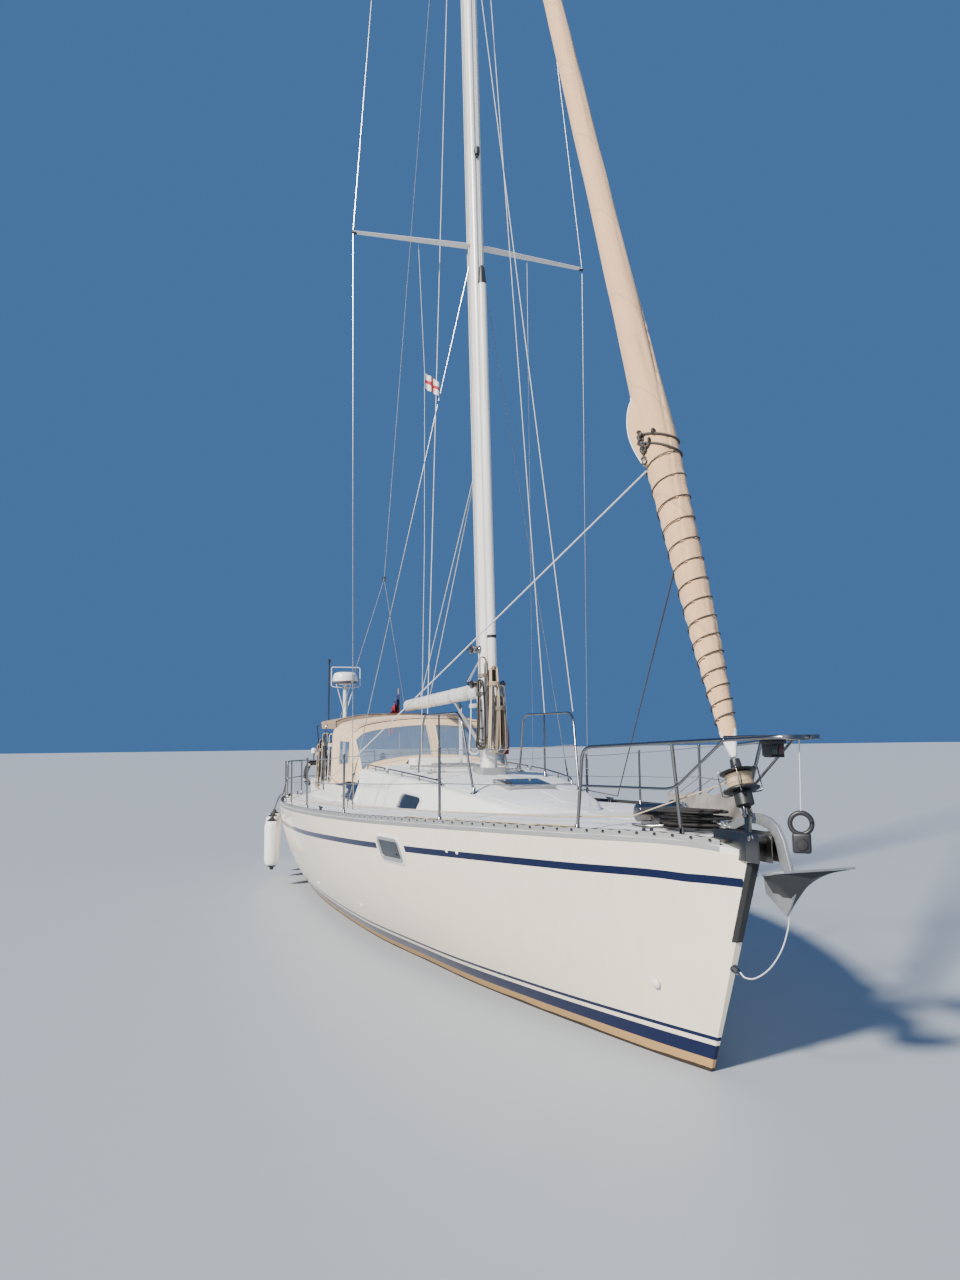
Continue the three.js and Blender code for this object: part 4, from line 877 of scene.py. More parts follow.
def turned(name, profile, at=(0, 0, 0), axis=(0, 0, 1), segments=32):
    """A turned shape from (radius, height) pairs along an axis."""
    turn = Vector((0, 0, 1)).rotation_difference(Vector(axis).normalized())
    rings = []
    for radius, height in profile:
        radius = max(radius, 0.0002)
        rings.append([turn @ Vector((radius * cos(a), radius * sin(a), height)) + Vector(at)
                      for a in around(segments)])
    return lofted(name, rings)


def placed(piece, at=(0, 0, 0), turn=(0, 0, 0)):
    """Turns a piece's mesh about the origin, by degrees about X, Y and Z in turn, and puts it at a point."""
    moved = Matrix.Translation(at)
    for angle, axis in zip(turn, "XYZ"):
        moved = moved @ Matrix.Rotation(radians(angle), 4, axis)
    piece.data.transform(moved)
    return piece


for (x, half), node in ((fore_hatch, "fore_hatch"), (saloon_hatch, "saloon_hatch")):
    slope = degrees(atan2(roof_top(x - half) - roof_top(x + half), 2 * half))
    hinge = (x + half, 0, roof_top(x + half))
    bars = [placed(bar, hinge, (0, slope, 0)) for bar in hatch_bars(half, 0.03, -0.03, 0.007, 0.003)]
    put(f"{node}_coaming", bars, anodised)
    frame_parts = hatch_bars(half, 0.034, 0.008, 0.03, 0.006, 3)
    for y in (-half * 0.55, half * 0.55):
        frame_parts.append(block("hinge", (-0.05, y - 0.03, 0.024), (0.004, y + 0.03, 0.036), 0.004, 3))
        frame_parts.append(turned("dog", [(0.0, 0.03), (0.018, 0.03), (0.018, 0.04), (0.008, 0.044),
                                          (0.0, 0.044)], (-2 * half + 0.07, y, 0), segments=20))
    lid_frame = placed(joined(f"{node}_frame", frame_parts), hinge, (0, slope, 0))
    dress(lid_frame, anodised, stands_for=[node], body=node)
    pane = placed(block(f"{node}_pane", (-2 * half + 0.026, -half + 0.026, 0.012),
                        (-0.026, half - 0.026, 0.034), 0.008, 3), hinge, (0, slope, 0))
    dress(pane, acrylic, body=node)

# Companionway: a sliding hatch of smoked acrylic with a stainless pull bar, on runners moulded on the
# roof, and a smoked board that drops in below it.
slide = block("companion_slide", (-2.33, -0.35, hatch_z), (-1.7, 0.35, hatch_z + 0.028), 0.007, 3)
dress(slide, acrylic, stands_for=["companion_hatch"], body="companion_hatch")


def rounded(points, radius, steps=6):
    """The same line with each inner corner rounded."""
    points = [Vector(p) for p in points]
    line = [points[0]]
    for before, corner, after in zip(points, points[1:], points[2:]):
        start = corner + (before - corner).normalized() * radius
        end = corner + (after - corner).normalized() * radius
        line += [turning(start, corner, end, k / steps) for k in range(steps + 1)]
    return [*line, points[-1]]


pull = tube("companion_pull",
            rounded([(-2.29, -0.14, hatch_z + 0.02), (-2.29, -0.14, hatch_z + 0.055),
                     (-2.29, 0.14, hatch_z + 0.055), (-2.29, 0.14, hatch_z + 0.02)], 0.02), 0.007)
dress(pull, stainless, body="companion_hatch")
board = block("companion_board", (-2.298, -0.3097, 1.3), (-2.276, 0.3097, hatch_z - 0.006), 0.004)
dress(board, acrylic, stands_for=["washboard"])

# Cockpit: one white moulding of well, seats and companion steps, let into the hull, with teak slats laid
# on its seats and sole.
def shown(node, name, material, slot=None, bevel=None, **more):
    """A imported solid's own shape as its visible piece. bevel may give the width and steps of its edges."""
    piece = from_frame(node, name)
    if bevel:
        width, steps, *angle = bevel
        shape_with(piece, "BEVEL", width=width, segments=steps, limit_method="ANGLE",
                   angle_limit=(angle or [0.7])[0])
    return dress(piece, material, slot, [node], **more)


shown("cockpit", "cockpit_moulding", roof_white, "roof_gelcoat", smooth=30, bevel=(0.008, 2, 0.9))
teak, tree, shader = finish("teak", (0.3, 0.21, 0.13), 0.65, slot="varnished_wood")
grain = cloudy(tree, 3.0, 6, (1.2, 40, 40))
coloured(shader, blend(tree, ramp(tree, grain, 0.35, 0.7), (0.36, 0.27, 0.18), (0.2, 0.13, 0.08)))
relieve(shader, grain, 0.001, 0.5)
slats = []
for side in (-1, 1):
    for n in range(9):
        y = side * (0.372 + 0.058 * n)
        slats.append(block("slat", (-5.1, y - 0.025, 0.9605), (-2.56, y + 0.025, 0.968), 0.002, 1))
for n in range(9):
    y = -0.26 + 0.065 * n
    slats.append(block("sole_slat", (-4.44, y - 0.026, 0.5605), (-2.68, y + 0.026, 0.57), 0.002, 1))
put("cockpit_slats", slats, teak)

# Coaming: the ring round the cockpit, moulded in white gelcoat and bonded to the deck, with its top edges
# well rounded.
ring = from_frame("cockpit_coaming", "coaming_ring")
select_only(ring)
bpy.ops.object.mode_set(mode="EDIT")
bpy.ops.mesh.select_all(action="DESELECT")
bpy.ops.mesh.select_mode(type="EDGE")
work = bmesh.from_edit_mesh(ring.data)
for edge in work.edges:
    edge.select = all(v.co.z > 1.4999
                      for v in edge.verts) and len(edge.link_faces) == 2 and edge.calc_face_angle(0) > 0.8
work.select_flush_mode()
bmesh.update_edit_mesh(ring.data)
bpy.ops.mesh.bevel(offset=0.028, segments=5)
bpy.ops.object.mode_set(mode="OBJECT")
dress(ring, roof_white, stands_for=["cockpit_coaming"])

# Rails: pulpit, two pushpit halves and stanchions of polished tube on round feet, with two guard wires
# a side through the stanchions, and a bicolour lamp and a seat plate in the pulpit.
black_plastic = weathered("black_plastic", (0.018, 0.018, 0.019), (0.12, 0.115, 0.11), 0.42, 0.4, 0.3,
                          slot="black_plastic")
wire_rope, tree, shader = finish("wire_rope", (0.5, 0.5, 0.5), 0.3, 0.9, slot="wire_rope")
twist = add(tree, "UVMap", uv_map="along")
lay = add(tree, "VectorMath", {0: twist.outputs[0], 1: (55, 3, 0)}, operation="MULTIPLY")
strands = add(tree, "TexWave", {"Vector": lay.outputs[0], "Scale": 1.0}, bands_direction="DIAGONAL")
coloured(shader, blend(tree, strands.outputs["Fac"], (0.3, 0.29, 0.28), (0.66, 0.66, 0.65)))
rail_high, rail_mid, rail_inset, rail_radius = 0.62, 0.33, 0.085, 0.0125
stanchion_xs = (3.35, 1.3, -0.5, -2.05, -3.6)


def on_rail(x, side, high):
    row = row_at(x)
    return Vector((x, side * (row[2] - rail_inset), row[3] + deck_edge + high))


def rail_foot(spot):
    """A round flange with a collar where a tube meets the deck."""
    return turned("foot", [(0.0, 0.0), (0.038, 0.0), (0.038, 0.005), (0.036, 0.008), (0.02, 0.01),
                           (0.0175, 0.014), (0.0175, 0.055), (0.015, 0.058), (0.0, 0.058)], spot, segments=20)


def bent(name, points, radius=rail_radius, bend=0.09):
    return tube(name, rounded(points, bend, 8), radius, 14)


pulpit_parts = []
for side in (-1, 1):
    aft_foot, aft_top = on_rail(4.8, side, 0), Vector((4.84, side * 0.6, 2.055))
    fore_foot, fore_top = Vector((5.48, side * 0.21, 1.475)), Vector((5.6, side * 0.33, 2.085))
    nose = Vector((6.42, side * 0.15, 2.11))
    mid_aft = aft_foot.lerp(aft_top, 0.55)
    pulpit_parts += [bent("rail", [aft_foot, aft_top, fore_top, nose, (6.5, 0, 2.11)]),
                     bent("leg", [fore_foot, fore_top]), rail_foot(aft_foot), rail_foot(fore_foot),
                     bent("mid", [mid_aft, (5.54, side * 0.29, 1.79), (6.05, side * 0.24, 2.098)], 0.009)]
put("pulpit_tubes", pulpit_parts, stainless, stands_for=["pulpit"], smooth=60)
seat_rings = [[(x, -half, 2.098), (x, half, 2.098), (x, half * 0.97, 2.1215), (x, -half * 0.97, 2.1215)]
              for x, half in ((6.0, 0.215), (6.02, 0.232), (6.2, 0.198), (6.36, 0.166), (6.44, 0.125),
                              (6.49, 0.07), (6.5, 0.03))]
dress(lofted("pulpit_seat", seat_rings), stainless)
lamp = [block("lamp", (6.135, -0.048, 2.0), (6.225, 0.048, 2.09), 0.008, 3),
        block("hood", (6.125, -0.054, 2.072), (6.236, 0.054, 2.095), 0.005, 2),
        block("foot", (6.145, -0.04, 1.994), (6.232, 0.04, 2.006), 0.003)]
put("bow_lamp", lamp, black_plastic)
for side, label, colour in ((-1, "green", (0.008, 0.05, 0.035)), (1, "red", (0.09, 0.01, 0.01))):
    glass, tree, shader = finish(f"{label}_lens", colour, 0.15, Coat_Weight=0.6)
    ribs = add(tree, "TexWave", {"Vector": place_of(tree), "Scale": 60.0}, bands_direction="Z")
    relieve(shader, ribs.outputs["Fac"], 0.001)
    coloured(shader, blend(tree, ribs.outputs["Fac"], colour, [c * 0.6 for c in colour]))
    pane = block(f"{label}_pane", (6.185, side * 0.006, 2.012), (6.231, side * 0.04, 2.066), 0.005, 3)
    dress(pane, glass)

for side, label in both_sides:
    fore = on_rail(-5.0, side, 0)
    parts = []
    for high, radius in ((rail_high, rail_radius), (rail_mid, 0.009)):
        corner = Vector((-6.33, side * 1.29, 1.175 + high))
        gate = Vector((-6.39, side * 0.47, 1.175 + high))
        top = fore + Vector((0, 0, high))
        if high == rail_high:
            low_gate = Vector((gate.x, gate.y, deck_top(gate.x, gate.y)))
            parts += [bent("rail", [fore, top, corner, gate, low_gate], bend=0.11), rail_foot(fore),
                      rail_foot(low_gate)]
            post_top = corner + Vector((0.035, -side * 0.045, 0))
            post_foot = Vector((post_top.x, post_top.y, deck_top(post_top.x, post_top.y)))
            leg = on_rail(-5.75, side, 0)
            parts += [bent("post", [post_foot, post_top]), rail_foot(post_foot), rail_foot(leg),
                      bent("leg", [leg, leg + Vector((0, 0, high))])]
        else:
            parts.append(bent("mid", [top, corner, gate], radius, 0.11))
    put(f"pushpit_{label}_tubes", parts, stainless, stands_for=[f"pushpit_{label}"], smooth=60)
    posts, wires = [], []
    for x in stanchion_xs:
        foot = on_rail(x, side, 0)
        posts += [tube("post", [foot, foot + Vector((0, 0, rail_high))], rail_radius, 16), rail_foot(foot),
                  turned("cap", [(0.0135, -0.01), (0.014, 0.0), (0.0125, 0.006), (0.006, 0.01), (0.0, 0.011)],
                         foot + Vector((0, 0, rail_high)), segments=16)]
        for high in (rail_high - 0.02, rail_mid):
            posts.append(turned("ferrule", [(0.008, -0.018), (0.008, 0.018)], foot + Vector((0, 0, high)),
                                (1, 0, 0), 10))
    for high in (rail_high - 0.02, rail_mid):
        ends = [4.8, *stanchion_xs, -5.0]
        line = [on_rail(x, side, high) for x in ends]
        line[0].x -= 0.014
        line[-1].x += 0.014
        hung = []
        for a, b in zip(line, line[1:]):
            hung += [a.lerp(b, k / 8) - Vector((0, 0, 0.008 * sin(pi * k / 8))) for k in range(8)]
        wires.append(tube("guard_wire", [*hung, line[-1]], 0.0036, 8))
        for end, inner in ((line[0], line[1]), (line[-1], line[-2])):
            to = (inner - end).normalized()
            wires.append(tube("swage", [end, end + to * 0.02, end + to * 0.022, end + to * 0.12,
                                        end + to * 0.122, end + to * 0.19],
                              [0.007, 0.007, 0.0085, 0.0085, 0.0055, 0.0055], 10))
    put(f"stanchions_{label}", posts, stainless, stands_for=[f"guard_rail_{label}"], smooth=60)
    put(f"guard_wires_{label}", wires, wire_rope, stands_for=[f"guard_rail_{label}"])
    guard_y = side * 0.62
    bar = [(0.2, side * 0.64, roof_top(0.2, 0.64)), (0.42, guard_y, 2.42), (1.9, guard_y, 2.4),
           (2.15, side * 0.56, roof_top(2.15, 0.56))]
    post = Vector((1.08, guard_y, roof_top(1.08, guard_y)))
    parts = [bent("bar", bar, bend=0.15), rail_foot(bar[0]), rail_foot(bar[3]),
             tube("post", [post, (*post.xy, 2.405)], 0.011), rail_foot(post)]
    put(f"mast_guard_{label}_bar", parts, stainless, stands_for=[f"mast_guard_{label}"], smooth=60)

# Mast: a white painted aluminium section with a groove up its aft face, for the mainsail that rolls away
# inside it. It stands in a shoe on the cabin top.
mast_paint = weathered("mast_paint", (0.78, 0.765, 0.72), (0.42, 0.4, 0.36), 0.24, 0.35, 0.9,
                       slot="mast_paint")
mast_ref, mast_ref_z, mast_rake = 0.712, 6.523, 0.0472
mast_foot, mast_head = 1.8153, 17.35
mast_long, mast_wide, groove_aft = 0.125, 0.085, 0.095


def mast_x(z):
    return mast_ref - mast_rake * (z - mast_ref_z)


def mast_ring(z):
    ring = []
    for i in range(65):
        turn = pi * (1.06 + 1.88 * i / 64)
        across, along = cos(turn), sin(turn)
        ring.append((mast_x(z) + mast_long * copysign(abs(across) ** 0.8, across),
                     mast_wide * copysign(abs(along) ** 0.8, along), z))
    groove = mast_x(z) - groove_aft
    return [*ring, (groove, 0.009, z), (groove, -0.009, z)]


stations = [mast_foot, 5, 8, 11, 14, mast_head]
dress(lofted("mast_tube", [mast_ring(z) for z in stations]), mast_paint, stands_for=["mast"])
shown("mast_shoe", "mast_step", anodised, bevel=(0.01, 3))

# Spreaders: white painted aluminium bars of aerofoil section, from the mast's sides to the cap shrouds,
# with rubber boots over their tips.
boots = []
for name, z, tip_x, tip_half, rise, root, tip in (("lower", 8.19, 0.5, 1.5, 0.02, 0.13, 0.07),
                                                  ("upper", 12.8, 0.27, 1.15, 0.06, 0.11, 0.06)):
    for side, label in both_sides:
        inner = Vector((mast_x(z), side * 0.0853, z))
        outer = Vector((tip_x, side * (tip_half - 0.006), z + rise))
        rings = []
        for k in range(9):
            t = k / 8
            middle, chord = inner.lerp(outer, t), root + (tip - root) * t
            thick = 0.034 - 0.012 * t
            rings.append([(middle.x + chord / 2 * cos(a), middle.y, middle.z + thick / 2 * sin(a))
                          for a in around(24)])
        dress(lofted(f"{name}_spreader_{label}_bar", rings), mast_paint,
              stands_for=[f"{name}_spreader_{label}"])
        boots.append(turned("boot", [(0.0, -0.045), (0.018, -0.04), (0.026, -0.02), (0.027, 0.0),
                                     (0.018, 0.016), (0.008, 0.022), (0.0, 0.023)], outer, (0, side, 0), 16))
put("spreader_boots", boots, black_plastic)

# Standing rigging: wire shrouds from chainplates over the spreaders to the masthead, and a backstay
# that splits above the stern. Each ends in a screw with its fork and pin.
def turnbuckle(foot, towards):
    """A rigging screw from its deck plate up along a wire."""
    foot = Vector(foot)
    way = (Vector(towards) - foot).normalized()
    at = lambda far: foot + way * far
    parts = [tube("screw", [at(0.03), at(0.1)], 0.0065, 10), tube("swage", [at(0.36), at(0.48)], 0.0075, 10)]
    parts.append(tube("body", [at(0.09), at(0.1), at(0.12), at(0.34), at(0.36), at(0.37)],
                      [0.0075, 0.013, 0.0105, 0.0105, 0.013, 0.0075], 12))
    parts.append(block("fork", foot - Vector((0.012, 0.004, 0.06)), foot + Vector((0.012, 0.004, 0.05)),
                       0.003))
    parts.append(tube("pin", [foot - Vector((0, 0.016, -0.03)), foot + Vector((0, 0.016, 0.03))], 0.005, 10))
    return parts


screws = []
for side, label in both_sides:
    cap_foot = Vector((0.4, side * 1.45, 1.4))
    tips = [Vector((0.5, side * 1.5, 8.21)), Vector((0.27, side * 1.15, 12.86))]
    head = Vector((mast_x(17.15), side * 0.06, 17.15))
    dress(tube(f"cap_shroud_{label}_wire", [cap_foot, *tips, head], 0.005, 10), wire_rope,
          stands_for=[f"cap_shroud_{label}"])
    low_foot = Vector((-0.06, side * 1.43, 1.4))
    low_head = Vector((mast_x(7.98), side * 0.075, 7.98))
    dress(tube(f"lower_shroud_{label}_wire", [low_foot, low_head], 0.005, 10), wire_rope,
          stands_for=[f"lower_shroud_{label}"])
    screws += turnbuckle(cap_foot, tips[0]) + turnbuckle(low_foot, low_head)
back_head, back_split = Vector((0.04, 0, 17.42)), Vector((-4.88, 0, 5.0))
stays = [tube("backstay_wire", [back_split, back_head], 0.005, 10)]
for side in (-1, 1):
    foot = Vector((-6.33, side * 0.96, 1.22))
    stays.append(tube("leg", [foot, back_split], 0.005, 10))
    screws += turnbuckle(foot, back_split)
put("backstay_wires", stays, wire_rope, stands_for=["backstay"])
screws.append(turned("split_plate", [(0.0, -0.05), (0.03, -0.045), (0.035, 0), (0.02, 0.04), (0.0, 0.045)],
                     back_split, (0.38, 0, 0.92), 16))
put("rigging_screws", screws, stainless)

# Headsail: the sail rolled tight round the forestay's foil, with its beige sun strip outside, white cloth
# at its tack, and the dark sheets wound round it below the clew.
stay_lean = 5.5 / 15.68


def stay_at(z):
    return Vector((5.9 - stay_lean * (z - 1.65), 0, z))


stay_way = (stay_at(2.65) - stay_at(1.65)).normalized()
across_stay = Vector((0, 1, 0)).cross(stay_way)
roll_rows = ((16.3, 0.036), (13.0, 0.07), (9.2, 0.093), (6.7, 0.104), (5.3, 0.118), (4.29, 0.138),
             (2.7, 0.092), (2.12, 0.057), (1.975, 0.024))


def roll_radius(z):
    return looked_up(roll_rows, z)[1]


def off_stay(angle):
    """The way out from the forestay, square to it, at an angle from port."""
    return Vector((0, cos(angle), 0)) + across_stay * sin(angle)


sail_rings = []
roll_foot, roll_head = 2.1, 16.3
roll_steps, round_steps = 330, 72
for k in range(roll_steps + 1):
    z = roll_foot + (roll_head - roll_foot) * k / roll_steps
    ring = []
    for n in range(round_steps):
        angle = 2 * pi * n / round_steps
        edge = (n / round_steps + 0.11 * z + 0.3) % 1.0
        fold = 0.0045 * edge - 0.008 * max(0, 1 - edge / 0.05)
        waist = 0.004 * sin(2 * pi * (z / 0.135) + angle) if z < 4.2 else 0.0
        crease = 0.005 * noise.noise(Vector((3 * cos(angle), 3 * sin(angle), z * 1.8)))
        radius = roll_radius(z) - 0.006 + fold + waist + crease
        ring.append(stay_at(z) + off_stay(angle) * radius)
    sail_rings.append(ring)
sail_strip, tree, shader = finish("sun_strip", (0.66, 0.48, 0.33), 0.85, Sheen_Weight=0.2, slot="sailcloth")
out = stained(tree, (0.8, 0.49, 0.26), (0.5, 0.29, 0.15), 0.45, 0.8)
seams = split(tree, place_of(tree))
line = maths(tree, "FRACT",
             maths(tree, "MULTIPLY_ADD", seams["Z"], 1.1, maths(tree, "MULTIPLY", seams["Y"], 1.6)))
stitched = maths(tree, "MULTIPLY", band(tree, line, 0.0, 0.035), 0.4)
coloured(shader, blend(tree, stitched, out["Colour"], (0.44, 0.31, 0.2)))
weave, woven, woven_out = new_group("weave", {"Scale": "number", "Depth": "number"}, {"Normal": "vector"})
threads = []
for axis in ("X", "Y", "Z"):
    wave = add(weave, "TexWave", {"Vector": place_of(weave), "Scale": woven["Scale"]}, bands_direction=axis)
    threads.append(wave.outputs["Fac"])
cloth_relief = maths(weave, "ADD", maths(weave, "ADD", threads[0], threads[1]), threads[2])
relief = add(weave, "Bump", {"Height": cloth_relief, "Distance": woven["Depth"], "Strength": 0.5})
wire(woven_out["Normal"], relief.outputs[0])


def weave_on(shader, scale, depth):
    """The relief of woven cloth on a material."""
    wire(shader.inputs["Normal"],
         use_group(shader.id_data, weave, {"Scale": scale, "Depth": depth})["Normal"])


weave_on(shader, 220.0, 0.0006)
roll = lofted("rolled_sail", sail_rings)
dress(roll, sail_strip, stands_for=["furled_headsail"], smooth=50)
white_cloth = weathered("white_cloth", (0.82, 0.81, 0.77), (0.55, 0.53, 0.48), 0.8, 0.35, 0.5,
                        slot="sailcloth")
tack_rings = []
for k in range(15):
    z = 1.99 + 0.16 * k / 14
    radius = 0.016 + 0.04 * (k / 14) ** 0.8
    tack_rings.append([stay_at(z) + Vector((0, 1, 0)) * (radius * cos(a))
                       + across_stay * (radius * sin(a)) * (1 + 0.15 * sin(3 * a + 5 * z))
                       for a in around(24)])
dress(lofted("tack_cloth", tack_rings), white_cloth)
dress(tube("stay_foil", [stay_at(16.25), stay_at(17.1)], 0.012, 12), black_plastic)

braid, braided, braid_out = new_group("braid", {"Base": "colour", "Fleck": "colour", "Thickness": "number"},
                                      {"Colour": "colour", "Normal": "vector"})
along = marks_of(braid, "along")
steps_along = maths(braid, "DIVIDE", along["X"], maths(braid, "MULTIPLY", braided["Thickness"], 1.6))
crossing = []
for lays in (4.0, -4.0):
    laps = maths(braid, "MULTIPLY_ADD", along["Y"], lays, steps_along)
    crossing.append(maths(braid, "SINE", maths(braid, "MULTIPLY", laps, 6.283)))
strand = maths(braid, "MULTIPLY", *crossing)
wire(braid_out["Colour"], blend(braid, ramp(braid, strand, 0.25, 0.6), braided["Base"], braided["Fleck"]))
relief = add(braid, "Bump", {"Height": strand, "Distance": 0.0006, "Strength": 0.7})
wire(braid_out["Normal"], relief.outputs[0])


def rope_finish(name, base, fleck, thickness):
    made, tree, shader = finish(name, base, 0.85)
    out = use_group(tree, braid, {"Base": base, "Fleck": fleck, "Thickness": thickness})
    coloured(shader, out["Colour"])
    wire(shader.inputs["Normal"], out["Normal"])
    return made


dark_rope = rope_finish("dark_rope", (0.05, 0.045, 0.04), (0.16, 0.15, 0.13), 0.012)
white_rope = rope_finish("white_rope", (0.7, 0.69, 0.66), (0.36, 0.36, 0.38), 0.01)
tan_rope = rope_finish("tan_rope", (0.55, 0.42, 0.27), (0.34, 0.25, 0.15), 0.008)
clew_z = 4.29
wraps = []
turns = 15
wrap_steps = turns * 20
for k in range(wrap_steps + 1):
    share = k / wrap_steps
    z = clew_z - 0.1 - (clew_z - 0.1 - 2.2) * (1.38 * share - 0.38 * share ** 2)
    angle = -pi / 2 + 2 * pi * turns * share
    radius = roll_radius(z) + 0.0038
    wraps.append(stay_at(z) + off_stay(angle) * radius)
dress(tube("sheet_wraps", wraps, 0.0046, 8), dark_rope)

# The clew: a corner of the sail that stands off the roll with a white edge, lashed down by a bundle of knots
# in the sheets and two thick turns, and a sheet led from it down each side.
off_roll = Vector((-0.306, -0.952, 0))
towards_eye = Vector((0.952, -0.306, 0))
corner_rings, corner_edge = [], []
for k in range(25):
    t = k / 24
    z = 4.07 + 0.58 * t
    reach = 0.072 * sin(pi * min(1, 0.04 + t)) ** 0.75
    radius = roll_radius(z)
    middle = stay_at(z)
    near = middle + (off_roll * cos(0.75) + towards_eye * sin(0.75)) * (radius - 0.008)
    far = middle + (off_roll * cos(0.45) - towards_eye * sin(0.45)) * (radius - 0.008)
    tip = middle + off_roll * (radius + reach) + towards_eye * 0.01
    hollow = near.lerp(tip, 0.5) - towards_eye * (0.3 * reach)
    corner_rings.append([near, hollow, tip, far.lerp(tip, 0.5), far])
    corner_edge.append(tip)
dress(lofted("clew_corner", corner_rings), sail_strip, smooth=50)
dress(tube("clew_edge", corner_edge, 0.0065, 8), white_cloth, smooth=60)
patch = [[stay_at(z) + (towards_eye * cos(a) - off_roll * sin(a)) * (roll_radius(z) + out)
          for a, out in ((0.35, 0.004), (0.62, 0.004), (0.62, -0.004), (0.35, -0.004))]
         for z in (4.055, 4.08, 4.105)]
dress(lofted("clew_patch", patch), white_cloth)
knots = []
random.seed(11)
for k in range(22):
    share = random.random() ** 0.8
    z = 4.33 - 0.24 * share
    spread = 0.15 + (1 - share) * 1.15 * random.random()
    spot = stay_at(z) + (off_roll * cos(spread) + towards_eye * sin(spread)) * (roll_radius(z) + 0.01)
    tilt = Vector((random.uniform(-1, 1), random.uniform(-1, 1), random.uniform(-0.5, 0.5))).normalized()
    flat = tilt.cross(Vector((0, 0, 1))).normalized()
    loop = [spot + (flat * cos(a) + tilt.cross(flat) * sin(a)) * 0.018 for a in around(14, 16)]
    knots.append(tube("knot", loop, 0.0085, 8))
for z, tilt in ((4.285, 0.03), (4.195, 0.05)):
    turn = []
    for n in range(50):
        a = 2 * pi * n / 48
        side = off_roll * cos(a) + towards_eye * sin(a)
        turn.append(stay_at(z) + side * (roll_radius(z) + 0.007) + stay_way * (tilt * cos(a)))
    knots.append(tube("turn", turn, 0.0085, 10))
put("clew_knots", knots, dark_rope, smooth=60)
starboard_lead = Vector((0.36, -1.43, 1.93))
port_lead = Vector((1.08, 1.52, 1.46))
dress(tube("starboard_sheet", [stay_at(4.03) + Vector((-0.3, -0.95, 0)) * 0.135, starboard_lead,
                               (-2.35, -1.3, 1.62), (-4.03, -1.095, 1.6)], 0.0065, 10), white_rope)
dress(tube("port_sheet", [stay_at(3.72) + Vector((0.0, 0.12, 0)), port_lead, (-2.35, 1.3, 1.62),
                          (-4.03, 1.095, 1.6)], 0.0065, 10), dark_rope)

# Furling gear: a black moulded drum with its line wound between two flanges, on the foot of the forestay,
# in a cage of four bent stainless rods over the fork that holds it to the bow.
drum_at, drum_axis = Vector((stay_at(1.64).x, 0, 1.64)), stay_way
drum_profile = [(0.0, 0.0), (0.013, 0.0), (0.014, 0.052), (0.04, 0.058), (0.056, 0.066), (0.056, 0.148),
                (0.05, 0.154), (0.106, 0.156), (0.112, 0.159), (0.112, 0.165), (0.106, 0.168), (0.054, 0.176),
                (0.054, 0.262), (0.106, 0.268), (0.112, 0.271), (0.112, 0.277), (0.106, 0.28), (0.04, 0.287),
                (0.036, 0.292), (0.03, 0.355), (0.0, 0.358)]
dress(turned("furling_spool", drum_profile, drum_at, drum_axis, 48), black_plastic,
      stands_for=["furling_drum"], smooth=40)
winding, lap_steps = [], 24
wind_steps = 9 * lap_steps
for k in range(wind_steps + 1):
    height = 0.182 + 0.074 * (0.5 - 0.5 * cos(pi * k / wind_steps))
    out = off_stay(2 * pi * k / lap_steps)
    winding.append(drum_at + drum_axis * height + out * (0.078 + 0.003 * sin(k / lap_steps)))
core = turned("wound", [(0.05, 0.178), (0.074, 0.18), (0.079, 0.219), (0.074, 0.258), (0.05, 0.26)], drum_at,
              drum_axis, 32)
lead = [winding[-1], Vector((5.2, -0.42, 1.6)), Vector((4.55, -0.72, 1.56)),
        *(on_rail(x, -1, 0.1) for x in stanchion_xs[:4]), (-3.2, -1.32, 1.42)]
put("furling_line", [tube("wind", winding, 0.0045, 8), core, tube("lead", lead, 0.0045, 8)], tan_rope)
cage = []
for k in range(4):
    out = off_stay(2 * pi * (k + 0.4) / 4)
    line = [drum_at + drum_axis * high + out * far
            for high, far in ((0.135, 0.058), (0.135, 0.121), (0.295, 0.121), (0.295, 0.095))]
    cage.append(tube("rod", rounded(line, 0.018, 4), 0.0045, 8))
fork = [*(block("fork", (-0.016, y - 0.004, -0.01), (0.016, y + 0.004, 0.07), 0.003)
          for y in (-0.024, 0.024)), tube("pin", [(0, -0.034, 0.005), (0, 0.034, 0.005)], 0.006, 12)]
cage += [placed(part, drum_at, (0, -degrees(atan(stay_lean)), 0)) for part in fork]
put("drum_cage", cage, stainless, smooth=60)

# Masthead: a cast aluminium head over the mast's end, with its sheaves, a lamp, a whip aerial and a wind
# vane on it.
shown("masthead", "masthead_casting", anodised, bevel=(0.004, 2))

# Whisker pole: a white painted tube stowed upright up the front of the mast, with black cast ends and a
# short arm at each that holds it off the mast.
pole_low, pole_high, pole_ahead = 3.06, 7.82, 0.22


def pole_at(share):
    """A point on the pole, from its lower end at 0 to its upper end at 1."""
    low, high = (Vector((mast_x(z) + pole_ahead, 0, z)) for z in (pole_low, pole_high))
    return low.lerp(high, share)


